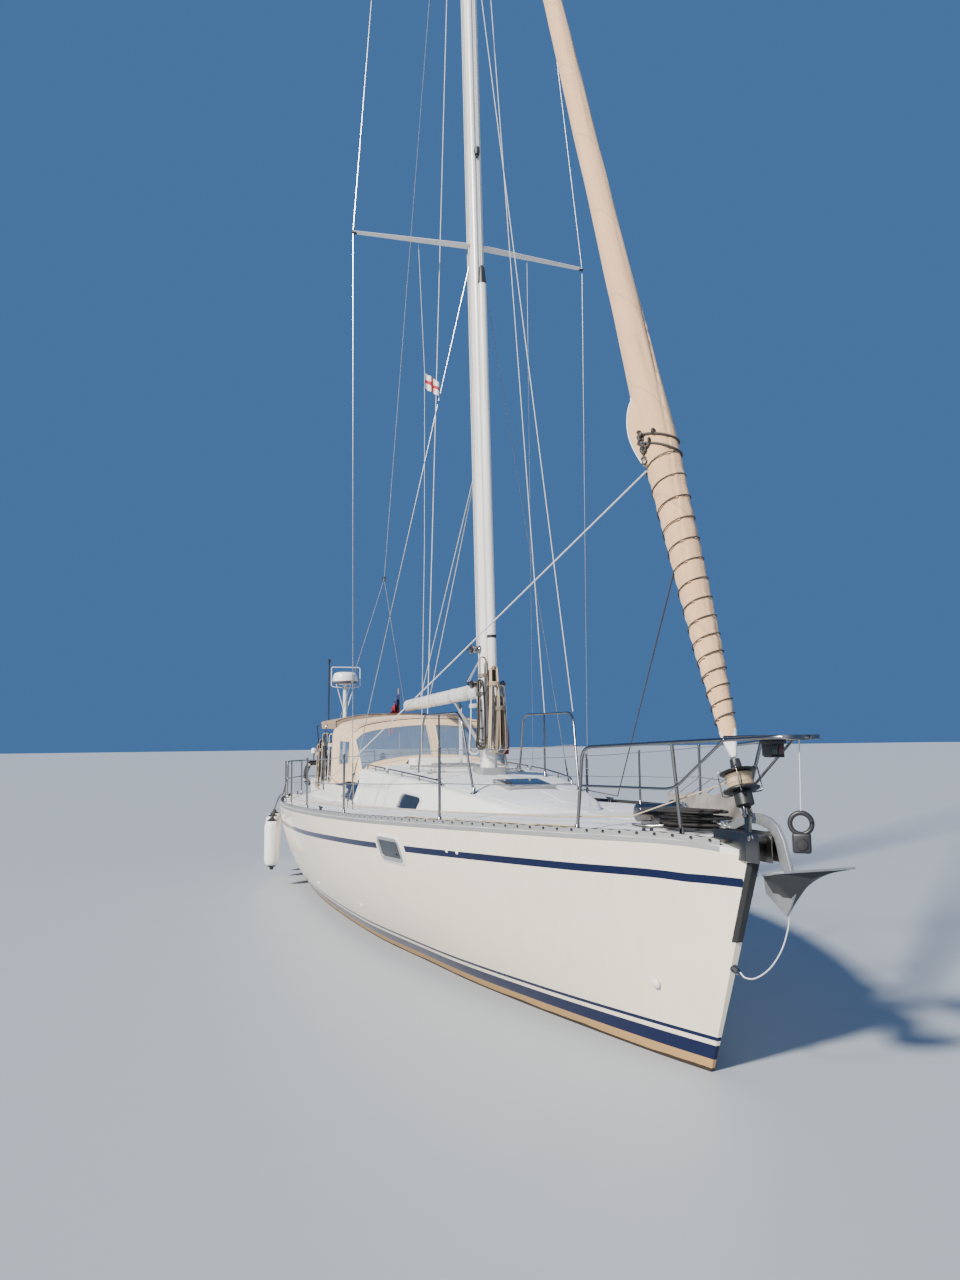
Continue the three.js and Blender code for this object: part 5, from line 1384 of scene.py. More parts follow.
dress(tube("pole_tube", [pole_at(0.045), pole_at(0.955)], 0.05, 28), mast_paint, stands_for=["whisker_pole"])
ends = []
for low, high in ((0.0, 0.05), (1.0, 0.95)):
    a, b = pole_at(low), pole_at(high)
    ends.append(tube("end", [a, a.lerp(b, 0.15), a.lerp(b, 0.5), a.lerp(b, 0.9), b],
                     [0.022, 0.036, 0.04, 0.052, 0.052], 24))
ends += [tube("arm", [pole_at(share), pole_at(share) + Vector((-0.095, 0, 0))], 0.018, 14)
         for share in (0.02, 0.97)]
put("pole_ends", ends, black_plastic)
heel = pole_at(0.0)
down = (pole_at(0.0) - pole_at(1.0)).normalized()
dress(tube("pole_heel_tube", [heel - down * 0.235, heel + down * 0.16], 0.0505, 28), mast_paint)
dress(tube("pole_heel_bell", [heel + down * step for step in (0.155, 0.165, 0.23, 0.27, 0.3)],
           [0.048, 0.054, 0.054, 0.044, 0.028], 24), black_plastic)

# Gooseneck and kicker bracket: stainless lugs on the mast's aft face, each pair with its pin, for the
# tongues of the boom and of the kicker.
for node in ("gooseneck", "kicker_bracket"):
    shown(node, f"{node}_lugs", stainless, bevel=(0.003, 2))

# Boom: an oval painted section with end castings and grey straps, on the gooseneck. Under it a rod
# kicker, and a sheet tackle to the roof.
pin_aft = 0.185
swing_at = Vector((mast_x(2.7) - pin_aft, 0, 2.7))
swing_axis = Vector((-mast_rake, 0, 1)).normalized()
rest_turn = Matrix.Rotation(radians(-2.1), 4, swing_axis)


def swung(piece):
    """Puts a piece made about the gooseneck in the boom's resting place."""
    piece.data.transform(Matrix.Translation(swing_at) @ rest_turn)
    return piece


def boom_ring(x, grow=1.0):
    return [(x, 0.062 * grow * sin(a), 0.09 * grow * cos(a)) for a in around(36)]


boom_tube = lofted("boom_tube", [boom_ring(x) for x in (-0.1, -1, -2, -3, -4, -4.5)])
dress(swung(boom_tube), mast_paint, stands_for=["boom"], body="boom")
castings = [lofted("front", [boom_ring(-0.058, 0.93), boom_ring(-0.064, 1.0), boom_ring(-0.105, 1.0)]),
            lofted("back", [boom_ring(-4.495, 1.0), boom_ring(-4.545, 1.0), boom_ring(-4.558, 0.9)]),
            block("tongue", (-0.11, -0.022, -0.011), (0.02, 0.022, 0.011), 0.003)]
dress(swung(joined("boom_castings", castings)), anodised, body="boom")
straps = [lofted("strap", [boom_ring(x, 1.035), boom_ring(x - 0.002, 1.05), boom_ring(x - 0.038, 1.05),
                           boom_ring(x - 0.04, 1.035)])
          for x in (-0.42, -0.5, -0.58, -1.32, -1.4, -2.25, -2.55, -3.3, -4.1)]
strap_cloth = weathered("strap_webbing", (0.42, 0.42, 0.41), (0.25, 0.24, 0.22), 0.85, 0.4, 0.1)
dress(swung(joined("boom_straps", straps)), strap_cloth, body="boom")
kick_low = Vector((mast_x(2.01) - pin_aft, 0, 2.01)) - swing_at
kick_high = Vector((-1.35, 0, -0.07))
kick = lambda share: kick_low.lerp(kick_high, share)
rod = [tube("outer", [kick(0.05), kick(0.055), kick(0.615), kick(0.62)], [0.019, 0.024, 0.024, 0.019], 20),
       tube("inner", [kick(0.5), kick(0.985)], 0.015, 16),
       placed(block("eye", (-0.115, -0.022, -0.011), (0.02, 0.022, 0.011), 0.003), kick_low)]
dress(swung(joined("kicker_rod", rod)), anodised, stands_for=["kicker"], body="boom")


def pulley(spot, radius=0.032, turn=0):
    """A block: two cheeks round a sheave, with its shackle on top."""
    parts = [turned("cheek", [(0.0, -0.014), (radius * 0.8, -0.013), (radius, -0.008), (radius, 0.008),
                              (radius * 0.8, 0.013), (0.0, 0.014)], (0, 0, 0), (0, 1, 0), 20),
             block("strap", (-0.007, -0.006, 0), (0.007, 0.006, radius + 0.03), 0.002)]
    return [placed(part, spot, (0, 0, turn)) for part in parts]


below_boom, above_boom = Vector((-1.02, 0, -0.16)), Vector((-0.62, 0, 0.115))
tackle = pulley(swing_at + rest_turn @ below_boom) + pulley(swing_at + rest_turn @ above_boom, 0.028)
put("boom_blocks", tackle, black_plastic, body="boom")

# Hull fittings: an opening port in a metal frame on each side, two small skin fittings, a drain, a black
# rubbing strip down the stem and a bolted eye below it.
def hull_y(x, z):
    """Half the breadth of the topsides at a place."""
    row = row_at(x)
    row = row_at(x - row[1] * (z - row[3]))
    nearest = min(range(len(fine_rows)), key=lambda n: abs(fine_rows[n][0] - row[0]))
    side = hull_side(row, nearest / rows_fine)
    for (y0, z0), (y1, z1) in zip(side, side[1:]):
        if z1 <= z <= z0:
            return y0 + (y1 - y0) * (z0 - z) / (z0 - z1)
    return side[0][0]


def hull_normal(x, z, side):
    step = 0.02
    along = (hull_y(x + step, z) - hull_y(x - step, z)) / (2 * step)
    upward = (hull_y(x, z + step) - hull_y(x, z - step)) / (2 * step)
    return Vector((-along, side, -upward)).normalized()


def on_hull(x, z, out, side):
    """A point on the topsides, raised off them."""
    return Vector((x, side * hull_y(x, z), z)) + hull_normal(x, z, side) * out


def round_box(wide, high, corner, steps=6):
    """The outline of a rounded rectangle about its middle."""
    line = []
    for n, (across, up) in enumerate(((1, 1), (-1, 1), (-1, -1), (1, -1))):
        for k in range(steps + 1):
            turn = pi / 2 * (n + k / steps)
            line.append((across * (wide / 2 - corner) + corner * cos(turn),
                         up * (high / 2 - corner) + corner * sin(turn)))
    return line


port_z, port_wide, port_high = 1.155, 0.4, 0.2


def port_ring(side, grow, out):
    """The port's outline on the topsides, grown on all sides and raised off them."""
    outline = round_box(port_wide + 2 * grow, port_high + 2 * grow, 0.05 + grow)
    return [on_hull(port_x + across, port_z + up, out, side) for across, up in outline]


port_trim = ((0.03, -0.004), (0.03, 0.004), (0.026, 0.007), (0.004, 0.008), (0.002, -0.004))
port_frame = ((0.006, -0.004), (0.006, 0.01), (0.002, 0.013), (-0.02, 0.013), (-0.024, 0.009),
              (-0.026, -0.004))
port_pane = ((-0.022, -0.004), (-0.022, 0.002), (-0.06, 0.003), (-0.085, 0.003))
for name, profile, skin, slot in (("trims", port_trim, roof_white, "topsides"),
                                  ("frames", port_frame, anodised, None),
                                  ("panes", port_pane, acrylic, None)):
    rings = [lofted(name, [port_ring(side, *step) for step in profile]) for side in (-1, 1)]
    put(f"hull_port_{name}", rings, skin, slot=slot)
dome = lambda radius, high: [(0.0, -0.004), (radius, -0.004), (radius, high * 0.3),
                             (radius * 0.8, high * 0.75), (radius * 0.4, high), (0.0, high)]
skins = []
for x, z, radius, high in ((3.5, 1.225, 0.016, 0.01), (3.63, 1.225, 0.016, 0.01), (5.14, 0.5, 0.032, 0.014),
                           (1.1, 0.42, 0.024, 0.012), (-0.85, 0.38, 0.024, 0.012),
                           (-4.9, 0.42, 0.028, 0.012)):
    skins.append(turned("fitting", dome(radius, high), on_hull(x, z, 0, -1), hull_normal(x, z, -1), 20))
skins.append(turned("fitting", dome(0.03, 0.014), on_hull(-4.6, 0.45, 0, 1), hull_normal(-4.6, 0.45, 1), 20))
put("skin_fittings", skins, roof_white, slot="topsides")


def stem_x(z):
    return 5.97 + 0.41 * (z - 1.4)


strip, bolts, reach = [], [], 0.021
strip_foot, strip_long = 0.87, 0.5
for k in range(13):
    z = strip_foot + strip_long * k / 12
    front = 0.01 + 0.009 * z
    back = hull_y(stem_x(z) - reach, z)
    strip.append([(stem_x(z) + a, b, z) for a, b in ((-reach, -back - 0.005), (0.002, -front - 0.007),
                                                     (0.009, -front), (0.009, front), (0.002, front + 0.007),
                                                     (-reach, back + 0.005), (-reach, back - 0.004),
                                                     (-reach, -back + 0.004))])
    if k in (1, 4, 7, 10):
        for side in (-1, 1):
            spot = Vector((stem_x(z) - 0.016, side * (hull_y(stem_x(z) - 0.016, z) + 0.006), z))
            bolts.append(turned("bolt", dome(0.006, 0.004), spot, hull_normal(stem_x(z) - 0.016, z, side),
                                12))
rubber = weathered("black_rubber", (0.016, 0.016, 0.017), (0.09, 0.085, 0.08), 0.6, 0.5, 0.6,
                   slot="black_plastic")
dress(lofted("stem_strip", strip), rubber)
eye_spot = Vector((stem_x(0.7) + 0.004, 0, 0.7))
bolts.append(turned("plate", [(0.0, -0.006), (0.026, -0.006), (0.026, 0.003), (0.022, 0.006), (0.0, 0.006)],
                    eye_spot, (1, 0, -0.4), 20))
loop = [eye_spot + Vector((0.055 * sin(a), 0.02 * cos(a) * 1.2, -0.4 * 0.055 * sin(a)))
        for a in (pi * k / 14 for k in range(15))]
bolts.append(tube("loop", loop, 0.006, 10))
put("stem_eye", bolts, stainless)

# Underwater: ballast keel, rudder on its stock, and a fixed bronze propeller on a shaft held by a
# bracket, all coated in dark antifouling but for the shaft and the blades.
antifouling = weathered("antifouling", (0.03, 0.045, 0.085), (0.1, 0.1, 0.08), 0.8, 0.6, 0.3, 0.0,
                        (70, 0.0008), slot="antifouling")
bronze = weathered("bronze", (0.36, 0.22, 0.1), (0.13, 0.16, 0.11), 0.38, 0.5, 0.2, 1.0, (120, 0.0004),
                   slot="bronze")
for node, body, skin, slot in (("keel", "yacht", antifouling, "antifouling"),
                               ("rudder", "rudder", antifouling, "antifouling"),
                               ("shaft_bracket", "yacht", bronze, "bronze"),
                               ("propeller", "propeller", bronze, "bronze")):
    shown(node, f"{node}_form", skin, slot, body=body, smooth=40)

# Bow gear: the roller cheeks and their plate, a hooped galvanised anchor on the port roller with its trip
# line, its chain to the windlass, the deck cleats, and a block with a ring hung from the pulpit.
# The bow metal's near-black colour is a painted reflection of dark surroundings; its stains are weathering.
bow_metal = weathered("bow_metal", (0.17, 0.165, 0.155), (0.05, 0.04, 0.03), 0.3, 0.75, 0.5, 1.0,
                      slot="stainless")
galvanised, tree, shader = finish("galvanised", (0.42, 0.43, 0.43), 0.5, 0.75, slot="galvanised")
grey = stained(tree, (0.44, 0.45, 0.45), (0.2, 0.19, 0.17), 0.55, 0.4)
flakes = add(tree, "TexVoronoi", {"Vector": place_of(tree), "Scale": 70.0})
coloured(shader, blend(tree, maths(tree, "MULTIPLY", flakes.outputs["Distance"], 0.5), grey["Colour"],
                       (0.3, 0.31, 0.32)))
relieve(shader, flakes.outputs["Distance"], 0.0008, 0.6)
shown("bow_fitting", "bow_cheeks", bow_metal, "stainless", bevel=(0.003, 2))
shown("anchor", "anchor_forging", galvanised, smooth=40, bevel=(0.004, 3, 0.6))
# The fluke's underside in near-black galvanising: its dark colour is painted shade under the plate.
shadowed = weathered("painted_shade_galvanising", (0.075, 0.078, 0.08), (0.16, 0.15, 0.13), 0.55, 0.5, 0.3, 0.6,
                     slot="galvanised")
belly = []
for x, half, edge_z, keel_z in ((5.965, 0.022, 1.285, 1.19), (6.06, 0.07, 1.305, 1.135),
                                (6.15, 0.118, 1.322, 1.096), (6.22, 0.158, 1.334, 1.165),
                                (6.3, 0.2, 1.346, 1.25), (6.385, 0.246, 1.364, 1.33)):
    under = [(x, 0.067 + half * s, edge_z - (edge_z - keel_z) * (1 - abs(s)) ** 1.9)
             for s in (n / 8 - 1 for n in range(17))]
    belly.append(under + [(x, 0.067 + half * s, edge_z + 0.002) for s in (1, 0.5, 0, -0.5, -1)])
dress(lofted("anchor_belly", belly), shadowed, smooth=40)
shown("windlass", "windlass_case", stainless, smooth=50, bevel=(0.008, 3))
chain_path = [Vector(p) for p in ((5.6, 0.067, 1.548), (5.4, 0.075, 1.565), (5.15, 0.09, 1.6),
                                  (4.9, 0.105, 1.676))]
link_long, link_wide, link_wire = 0.042, 0.026, 0.0045


def chain(name, path, pitch=0.03):
    """Welded links along a line, each turned a quarter from the one before."""
    parts = []
    total = sum((b - a).length for a, b in zip(path, path[1:]))
    for n in range(int(total / pitch)):
        far = n * pitch
        for a, b in zip(path, path[1:]):
            if far <= (b - a).length:
                break
            far -= (b - a).length
        spot, way = a + (b - a).normalized() * far, (b - a).normalized()
        flat = way.cross(Vector((0, 0, 1))).normalized()
        if n % 2:
            flat = flat.cross(way)
        line = []
        for k in range(17):
            turn = 2 * pi * k / 16
            straight = (link_long - link_wide) / 2 * (1 if cos(turn) > 0 else -1)
            line.append(spot + way * (straight + cos(turn) * link_wide / 2)
                        + flat * sin(turn) * link_wide / 2)
        parts.append(tube("link", line, link_wire, 6))
    return joined(name, parts)


dress(chain("anchor_chain", chain_path), galvanised)
fittings = []
for side in (-1, 1):
    spot = (6.02, side * 0.068 + (0.045 if side > 0 else 0.0), 1.522)
    fittings.append(turned("roller_nut", [(0.0, 0.0), (0.018, 0.0), (0.018, 0.012), (0.012, 0.016),
                                          (0.0, 0.016)], spot, (0, side, 0), 6))


def cleat(spot, heading):
    """A horned cleat on its foot, with its horns along a heading in degrees."""
    horn = [Vector((far, 0, 0.05 + 0.01 * (far / 0.11) ** 2))
            for far in (-0.11 + 0.22 * k / 14 for k in range(15))]
    sizes = [0.006 + 0.01 * (1 - abs(k - 7) / 7) ** 0.6 for k in range(15)]
    parts = [tube("horns", horn, sizes, 12), block("foot", (-0.055, -0.018, -0.004), (0.055, 0.018, 0.008),
                                                   0.004, 3)]
    parts += [tube("leg", [(far, 0, 0.0), (far * 0.9, 0, 0.05)], [0.016, 0.01], 12)
              for far in (-0.028, 0.028)]
    return [placed(part, spot, (0, 0, heading)) for part in parts]


for x, inset, heading in ((5.22, 0.16, 42), (0.3, 0.09, 2), (-6.02, 0.16, -8)):
    for side in (-1, 1):
        y = side * (deck_half(x) - inset)
        fittings += cleat((x, y, deck_high(x, abs(y))), -side * heading)
put("deck_cleats", fittings, stainless)


def smooth_line(points, steps=6):
    """A smooth curve through points."""
    points = [Vector(p) for p in points]
    ends = [points[0] * 2 - points[1], *points, points[-1] * 2 - points[-2]]
    line = []
    for a, b, c, d in zip(ends, ends[1:], ends[2:], ends[3:]):
        line += [passing(a, b, c, d, k / steps) for k in range(steps)]
    return [*line, points[-1]]


def laid_rope(name, points, thickness, material, steps=6):
    """A free rope on a smooth curve."""
    path = smooth_line(points, steps)
    piece = dress(tube(name, path, thickness / 2, 10), material, smooth=60)


laid_rope("anchor_trip_line", [(5.752, 0, 0.692), (5.8, 0.002, 0.672), (5.89, 0.015, 0.69), (6.0, 0.04, 0.77),
                               (6.09, 0.06, 0.89), (6.145, 0.067, 1.01), (6.165, 0.067, 1.083)], 0.009,
          white_rope)
ring = [Vector((6.4 + 0.035 * cos(a), 0.046 * cos(a), 1.635 + 0.058 * sin(a))) for a in around(32, 34)]
ring_block = dress(tube("ring_eye", ring, 0.014, 14), black_plastic)
parts = [block("body", (-0.05, -0.034, 1.475), (0.05, 0.034, 1.585), 0.014, 3),
         turned("wheel", [(0.0, -0.045), (0.03, -0.043), (0.036, -0.02), (0.036, 0.02), (0.03, 0.043),
                          (0.0, 0.045)], (0, 0, 1.525), (0, 1, 0), 24)]
put("ring_block", [placed(part, (6.4, 0, 0), (0, 0, 52)) for part in parts], black_plastic)
laid_rope("ring_line", [(6.42, 0, 2.096), (6.418, 0, 2.02), (6.414, 0, 1.93), (6.41, 0, 1.83),
                        (6.406, 0, 1.74), (6.404, 0, 1.69)], 0.007, white_rope, 6)

# Foredeck stowage: a dark rope coiled down near the stem, a grey canvas screen lashed along the port rail,
# and a cream rope laid along the starboard side.
flake = []
for k in range(17 * 22 + 1):
    turn, laps = 2 * pi * k / 22, k / 22
    far = 0.7 + 0.3 * cos(2 * pi * laps / 5.3)
    across = Vector((0.86, 0.51, 0)) * (0.25 * far * cos(turn))
    across += Vector((-0.51, 0.86, 0)) * (0.105 * far * sin(turn))
    flake.append(Vector((5.27, 0.0, deck_high(5.3, 0.0) + 0.016)) + across
                 + Vector((0.03 * sin(1.9 * laps), 0.02 * cos(2.3 * laps), 0.0075 * laps + 0.03 * (1 - far))))
black_rope = rope_finish("black_rope", (0.014, 0.013, 0.012), (0.045, 0.04, 0.036), 0.012)
laid_rope("foredeck_rope", flake, 0.015, black_rope, 3)
screen_rows = []
for k in range(65):
    t = k / 64
    top = Vector((2.8, 1.2, 1.6)).lerp(Vector((5.42, 0.29, 1.745)), t)
    foot = Vector((2.85, 1.16, 1.42)).lerp(Vector((5.44, 0.255, 1.555)), t)
    row = []
    for n in range(13):
        down = n / 12
        fold = 0.02 * sin(17 * t + 3 * down) * sin(pi * down) + 0.01 * sin(61 * t + 2 * down) * (0.3 + down)
        sag = 0.022 * sin(pi * t * 5) ** 2 * (1 - down)
        row.append(top.lerp(foot, down) + Vector((0.25, 1, 0)) * fold - Vector((0, 0, sag)))
    screen_rows.append(row + [p + Vector((-0.002, -0.006, 0)) for p in row[::-1]])
grey_cloth = weathered("grey_cloth", (0.3, 0.27, 0.235), (0.11, 0.095, 0.08), 0.9, 0.6, 0.9, 0.0,
                       (240, 0.0006), slot="dark_canvas")
dress(lofted("foredeck_screen", screen_rows), grey_cloth, smooth=60)
lashings = []
for k in (1, 13, 26, 39, 51, 63):
    head = screen_rows[k][0]
    over = on_rail(head.x, 1, rail_mid) if head.x < 4.8 else head + Vector((0.02, 0.02, 0.03))
    lashings.append(tube("lashing", [head - Vector((0, 0, 0.012)), over], 0.003, 6))
put("screen_lashings", lashings, dark_rope)
edge_rope = []
for k in range(26):
    x = 4.62 - 0.085 * k
    y = -(deck_half(x) - 0.24 - 0.03 * sin(k * 0.9) - 0.018 * sin(k * 2.1))
    edge_rope.append((x, y, deck_high(x, -y) + 0.0125))
laid_rope("deck_rope", edge_rope, 0.012, tan_rope, 4)

# Deck gear: stainless grab rails along the cabin top, two halyard winches with their clutches, and the
# lines led aft to them from the mast.
gear = []
for side in (-1, 1):
    for fore, aft in ((1.55, -0.15), (-0.3, -1.2)):
        count = 3 if fore > 1 else 2
        spots = [fore + (aft - fore) * k / count for k in range(count + 1)]
        y = lambda x: roof_at(x)[1] - 0.045
        line = [Vector((x, side * y(x), roof_top(x, y(x)) + 0.055)) for x in spots]
        first = Vector((fore + 0.03, line[0].y, line[0].z - 0.06))
        last = Vector((aft - 0.03, line[-1].y, line[-1].z - 0.06))
        gear.append(tube("grab", rounded([first, *line, last], 0.03), 0.01, 12))
        for spot in line[1:-1]:
            gear.append(tube("leg", [spot - Vector((0, 0, 0.06)), spot], 0.008, 10))
put("grab_rails", gear, stainless)
drum_line = [(0.0, 0.0), (0.074, 0.0), (0.0755, 0.004), (0.0755, 0.016), (0.07, 0.02), (0.056, 0.034),
             (0.05, 0.062), (0.05, 0.108), (0.056, 0.13), (0.066, 0.138), (0.068, 0.142), (0.068, 0.15),
             (0.048, 0.154), (0.048, 0.162), (0.068, 0.166), (0.068, 0.176), (0.06, 0.182), (0.03, 0.187),
             (0.028, 0.191), (0.028, 0.215), (0.014, 0.2155), (0.012, 0.198), (0.0, 0.197)]
for side, label in both_sides:
    winch = turned(f"primary_winch_{label}_drum", drum_line, (-4.1, side * 1.03, 1.5003), segments=48)
    dress(winch, stainless, stands_for=[f"primary_winch_{label}"], smooth=32)
small = []
for side in (-1, 1):
    z = roof_top(-1.95, 0.62)
    small.append(turned("drum", [(radius * 0.75, high * 0.72) for radius, high in drum_line],
                        (-1.95, side * 0.62, z), segments=40))
put("halyard_winches", small, stainless, smooth=32)
clutches, tails = [], []
for side in (-1, 1):
    for n in range(4):
        y = side * (0.5 + 0.055 * n)
        z = roof_top(-1.55, abs(y))
        clutches.append(block("clutch", (-1.64, y - 0.022, z - 0.004), (-1.46, y + 0.022, z + 0.042), 0.01,
                              3))
        clutches.append(placed(block("lever", (-0.1, -0.012, 0), (0.0, 0.012, 0.012), 0.004),
                               (-1.47, y, z + 0.042), (0, -8, 0)))
        start = Vector((0.72 + 0.04 * n, side * (0.16 + 0.02 * n), roof_top(0.7, 0.2) + 0.03))
        turn = Vector((0.45, side * (0.4 + 0.05 * n), roof_top(0.45, 0.5) + 0.03))
        tails.append(tube("tail", rounded([start, turn, (-1.3, y, roof_top(-1.3, abs(y)) + 0.018),
                                           (-1.62, y, z + 0.02)], 0.04, 4), 0.005, 8))
put("rope_clutches", clutches, black_plastic)
put("led_halyards", tails, white_rope)
organisers = []
for side in (-1, 1):
    z = roof_top(0.45, 0.5)
    organisers.append(block("plate", (0.4, side * 0.475 - 0.12, z - 0.004),
                            (0.5, side * 0.475 + 0.12, z + 0.008), 0.004))
    for n in range(4):
        organisers.append(turned("sheave", [(0.0, 0.008), (0.022, 0.008), (0.016, 0.02), (0.022, 0.034),
                                            (0.0, 0.036)], (0.45, side * (0.4 + 0.05 * n), z + 0.008),
                                 segments=16))
put("deck_organisers", organisers, anodised)

# Mast fittings: halyard winches and cleats low on the mast, halyards up its faces, a steaming lamp, and
# the coiled tails and the red cloth bag that hang at its foot.
fittings = []
for side, z in ((-1, 2.75), (1, 2.75), (-1, 3.15)):
    spot = Vector((mast_x(z) + 0.02, side * 0.078, z))
    fittings.append(turned("winch", [(radius * 0.7, high * 0.68) for radius, high in drum_line], spot,
                           (0.0, side, 0.0), 36))
for side in (-1, 1):
    for z in (2.25, 2.45):
        fittings += [placed(part, (mast_x(z) + 0.03, side * 0.084, z), (side * -90, 90, 0))
                     for part in [tube("horns", [(-0.08, 0, 0.035), (0.08, 0, 0.035)], 0.008, 10),
                                  tube("leg", [(0, 0, 0), (0, 0, 0.035)], 0.01, 10)]]
put("mast_winches", fittings, stainless)
lamp = [turned("lamp", [(0.0, -0.05), (0.03, -0.045), (0.036, 0.0), (0.03, 0.05), (0.0, 0.055)],
               (mast_x(9.4) + 0.16, 0, 9.4), segments=20),
        block("bracket", (mast_x(9.4) + 0.11, -0.015, 9.33), (mast_x(9.4) + 0.18, 0.015, 9.345), 0.003)]
put("steaming_lamp", lamp, black_plastic)
running = []
for out, across, low, high in ((0.14, -0.035, 2.4, 16.6), (0.138, 0.03, 2.3, 16.8), (0.03, -0.096, 2.6, 16.5),
                               (0.01, 0.098, 2.6, 16.7), (-0.03, -0.097, 3.2, 12.4)):
    running.append(tube("halyard", [(mast_x(z) + out, across, z) for z in (low, (low + high) / 2, high)],
                        0.005, 8))
put("mast_halyards", running, white_rope)
flag_line = [(0.55, -0.705, 8.17), (0.46, -0.61, 6.58), (0.54, -0.64, 4.4),
             (0.58, -0.7, roof_top(0.58, 0.7) + 0.01)]
port_flag_line = [(0.585, 0.7, 8.17), (0.44, 0.72, roof_top(0.44, 0.72) + 0.01)]
aside = [tube("flag_halyard", flag_line, 0.0028, 6), tube("port_flag_halyard", port_flag_line, 0.0028, 6)]
for head, foot in (((mast_x(12.6) + 0.1, 0.05, 12.6), (1.9, 0.62, 2.41)),
                   ((mast_x(16.6) + 0.12, 0.05, 16.6), (1.1, 0.62, 2.41)),
                   ((mast_x(16.6) - 0.05, -0.07, 16.6), (0.58, -0.62, 2.43))):
    aside.append(tube("spare_halyard", [head, foot], 0.005, 8))
put("spare_halyards", aside, white_rope)


def hank(name, top, drop, wide, turns, thickness, material, facing=0):
    """A made-up coil of rope hung by its top, with a few turns round its neck."""
    upper, lower = wide * 0.28, wide * 0.5
    lap = [(upper * sin(a), upper - upper * cos(a)) for a in (pi * k / 20 for k in range(10))]
    lap += [(upper + (lower - upper) * k / 7, upper + (drop - upper - lower) * k / 7) for k in range(7)]
    lap += [(lower * cos(a), drop - lower + lower * sin(a)) for a in (pi * k / 16 for k in range(17))]
    lap += [(-lower + (lower - upper) * k / 7, drop - lower - (drop - upper - lower) * k / 7)
            for k in range(1, 8)]
    lap += [(-upper * cos(a), upper - upper * sin(a)) for a in (pi * k / 20 for k in range(1, 10))]
    path = []
    pitch = thickness * 1.12
    spin = radians(facing)
    across, deep = Vector((cos(spin), sin(spin), 0)), Vector((-sin(spin), cos(spin), 0))
    for k in range(turns * len(lap)):
        side, down = lap[k % len(lap)]
        n = k / len(lap)
        sway = 0.02 * sin(2.2 * down / drop + 0.5)
        spot = Vector(top) + across * (side + sway) + deep * (pitch * (n - turns / 2))
        path.append(spot - Vector((0, 0, thickness + down * (1 + 0.05 * sin(1.7 * n)))))
    piece = dress(tube(name, path, thickness / 2, 8), material, smooth=60)
    tie = []
    depth = pitch * turns / 2 + thickness * 1.1
    for k in range(4 * 20 + 1):
        turn = 2 * pi * k / 20
        tie.append(Vector(top) + across * ((wide * 0.36 + thickness * 1.2) * sin(turn) + 0.015)
                   + deep * depth * cos(turn) - Vector((0, 0, drop * 0.2 + pitch * k / 20)))
    neck = dress(tube(f"{name}_tie", tie, thickness / 2, 8), material, smooth=60)


grey_rope = rope_finish("grey_rope", (0.42, 0.41, 0.38), (0.2, 0.19, 0.18), 0.01)
worn_rope = rope_finish("worn_rope", (0.3, 0.24, 0.18), (0.13, 0.1, 0.08), 0.01)
hank("halyard_hank_1", (mast_x(2.85) + 0.18, -0.115, 3.06), 0.98, 0.12, 7, 0.01, worn_rope, 80)
hank("halyard_hank_5", (mast_x(2.75) + 0.24, -0.165, 2.8), 0.74, 0.1, 6, 0.01, dark_rope, 60)
hank("halyard_hank_6", (mast_x(2.6) + 0.285, 0.04, 2.62), 0.62, 0.12, 6, 0.01, worn_rope, 110)
hank("halyard_hank_2", (mast_x(2.6) + 0.2, 0.07, 2.74), 0.72, 0.13, 8, 0.011, white_rope, 100)
hank("halyard_hank_3", (mast_x(2.7) + 0.3, -0.03, 2.95), 0.92, 0.12, 6, 0.01, tan_rope, 95)
hank("halyard_hank_4", (mast_x(2.6) + 0.05, -0.185, 2.66), 0.66, 0.12, 7, 0.01, white_rope, 75)
red_cloth = weathered("red_cloth", (0.13, 0.004, 0.008), (0.04, 0.003, 0.005), 0.9, 0.4, 0.4,
                      Sheen_Weight=0.3, slot="canvas")
bag_rings = []
for k in range(25):
    t = k / 24
    z = 2.46 - 0.5 * t
    radius = 0.01 + 0.04 * sin(pi * min(1, 0.06 + t * 0.86)) ** 0.7
    bag_rings.append([(mast_x(2.3) + 0.13 + radius * (1 + 0.1 * sin(5 * a + 4 * t)) * cos(a),
                       0.128 + radius * (1 + 0.1 * cos(4 * a)) * sin(a) + 0.045 * t, z) for a in around(36)])
dress(lofted("halyard_bag", bag_rings), red_cloth, smooth=60)
dress(tube("halyard_bag_strop", [(mast_x(2.6) + 0.06, 0.075, 2.6), (mast_x(2.3) + 0.13, 0.13, 2.45)], 0.005,
           8), dark_rope)

# Mainsail: it rolls away inside the mast, so only its clew stands out of the groove, with the beige sun
# strip on its leech. An outhaul runs from the clew to a block on the boom.
sail_rings = []
for k in range(41):
    t = k / 40
    z = 2.93 + 2.75 * t
    reach = 0.2 * (1 - t) ** 0.55 * min(1, 0.35 + t * 9)
    x = mast_x(z) - groove_aft
    wave = 0.016 * sin(9 * t) * (1 - t)
    middle, back = x - reach * 0.5, x - reach
    sail_rings.append([(x, -0.006, z), (middle, wave - 0.012, z), (back, wave - 0.008, z),
                       (back - 0.006, wave, z), (back, wave + 0.008, z), (middle, wave + 0.012, z),
                       (x, 0.006, z)])
dress(lofted("mainsail_strip", sail_rings), sail_strip, smooth=50)
clew_at = swing_at + Vector((0.01, 0, 0.4))
outhaul = [tube("outhaul", [clew_at, swing_at + rest_turn @ Vector((-0.6, y, 0.14))], 0.005, 8)
           for y in (-0.012, 0.012)]
swivel_at = Vector((mast_x(5.4) - pin_aft, 0, 5.4))
legs = [tube("lazy_line",
             [swivel_at + Vector((0, y * 0.08, -0.004)), swing_at + rest_turn @ Vector((-3.1, y, 0.085))],
             0.006, 8) for y in (-0.07, 0.07)]
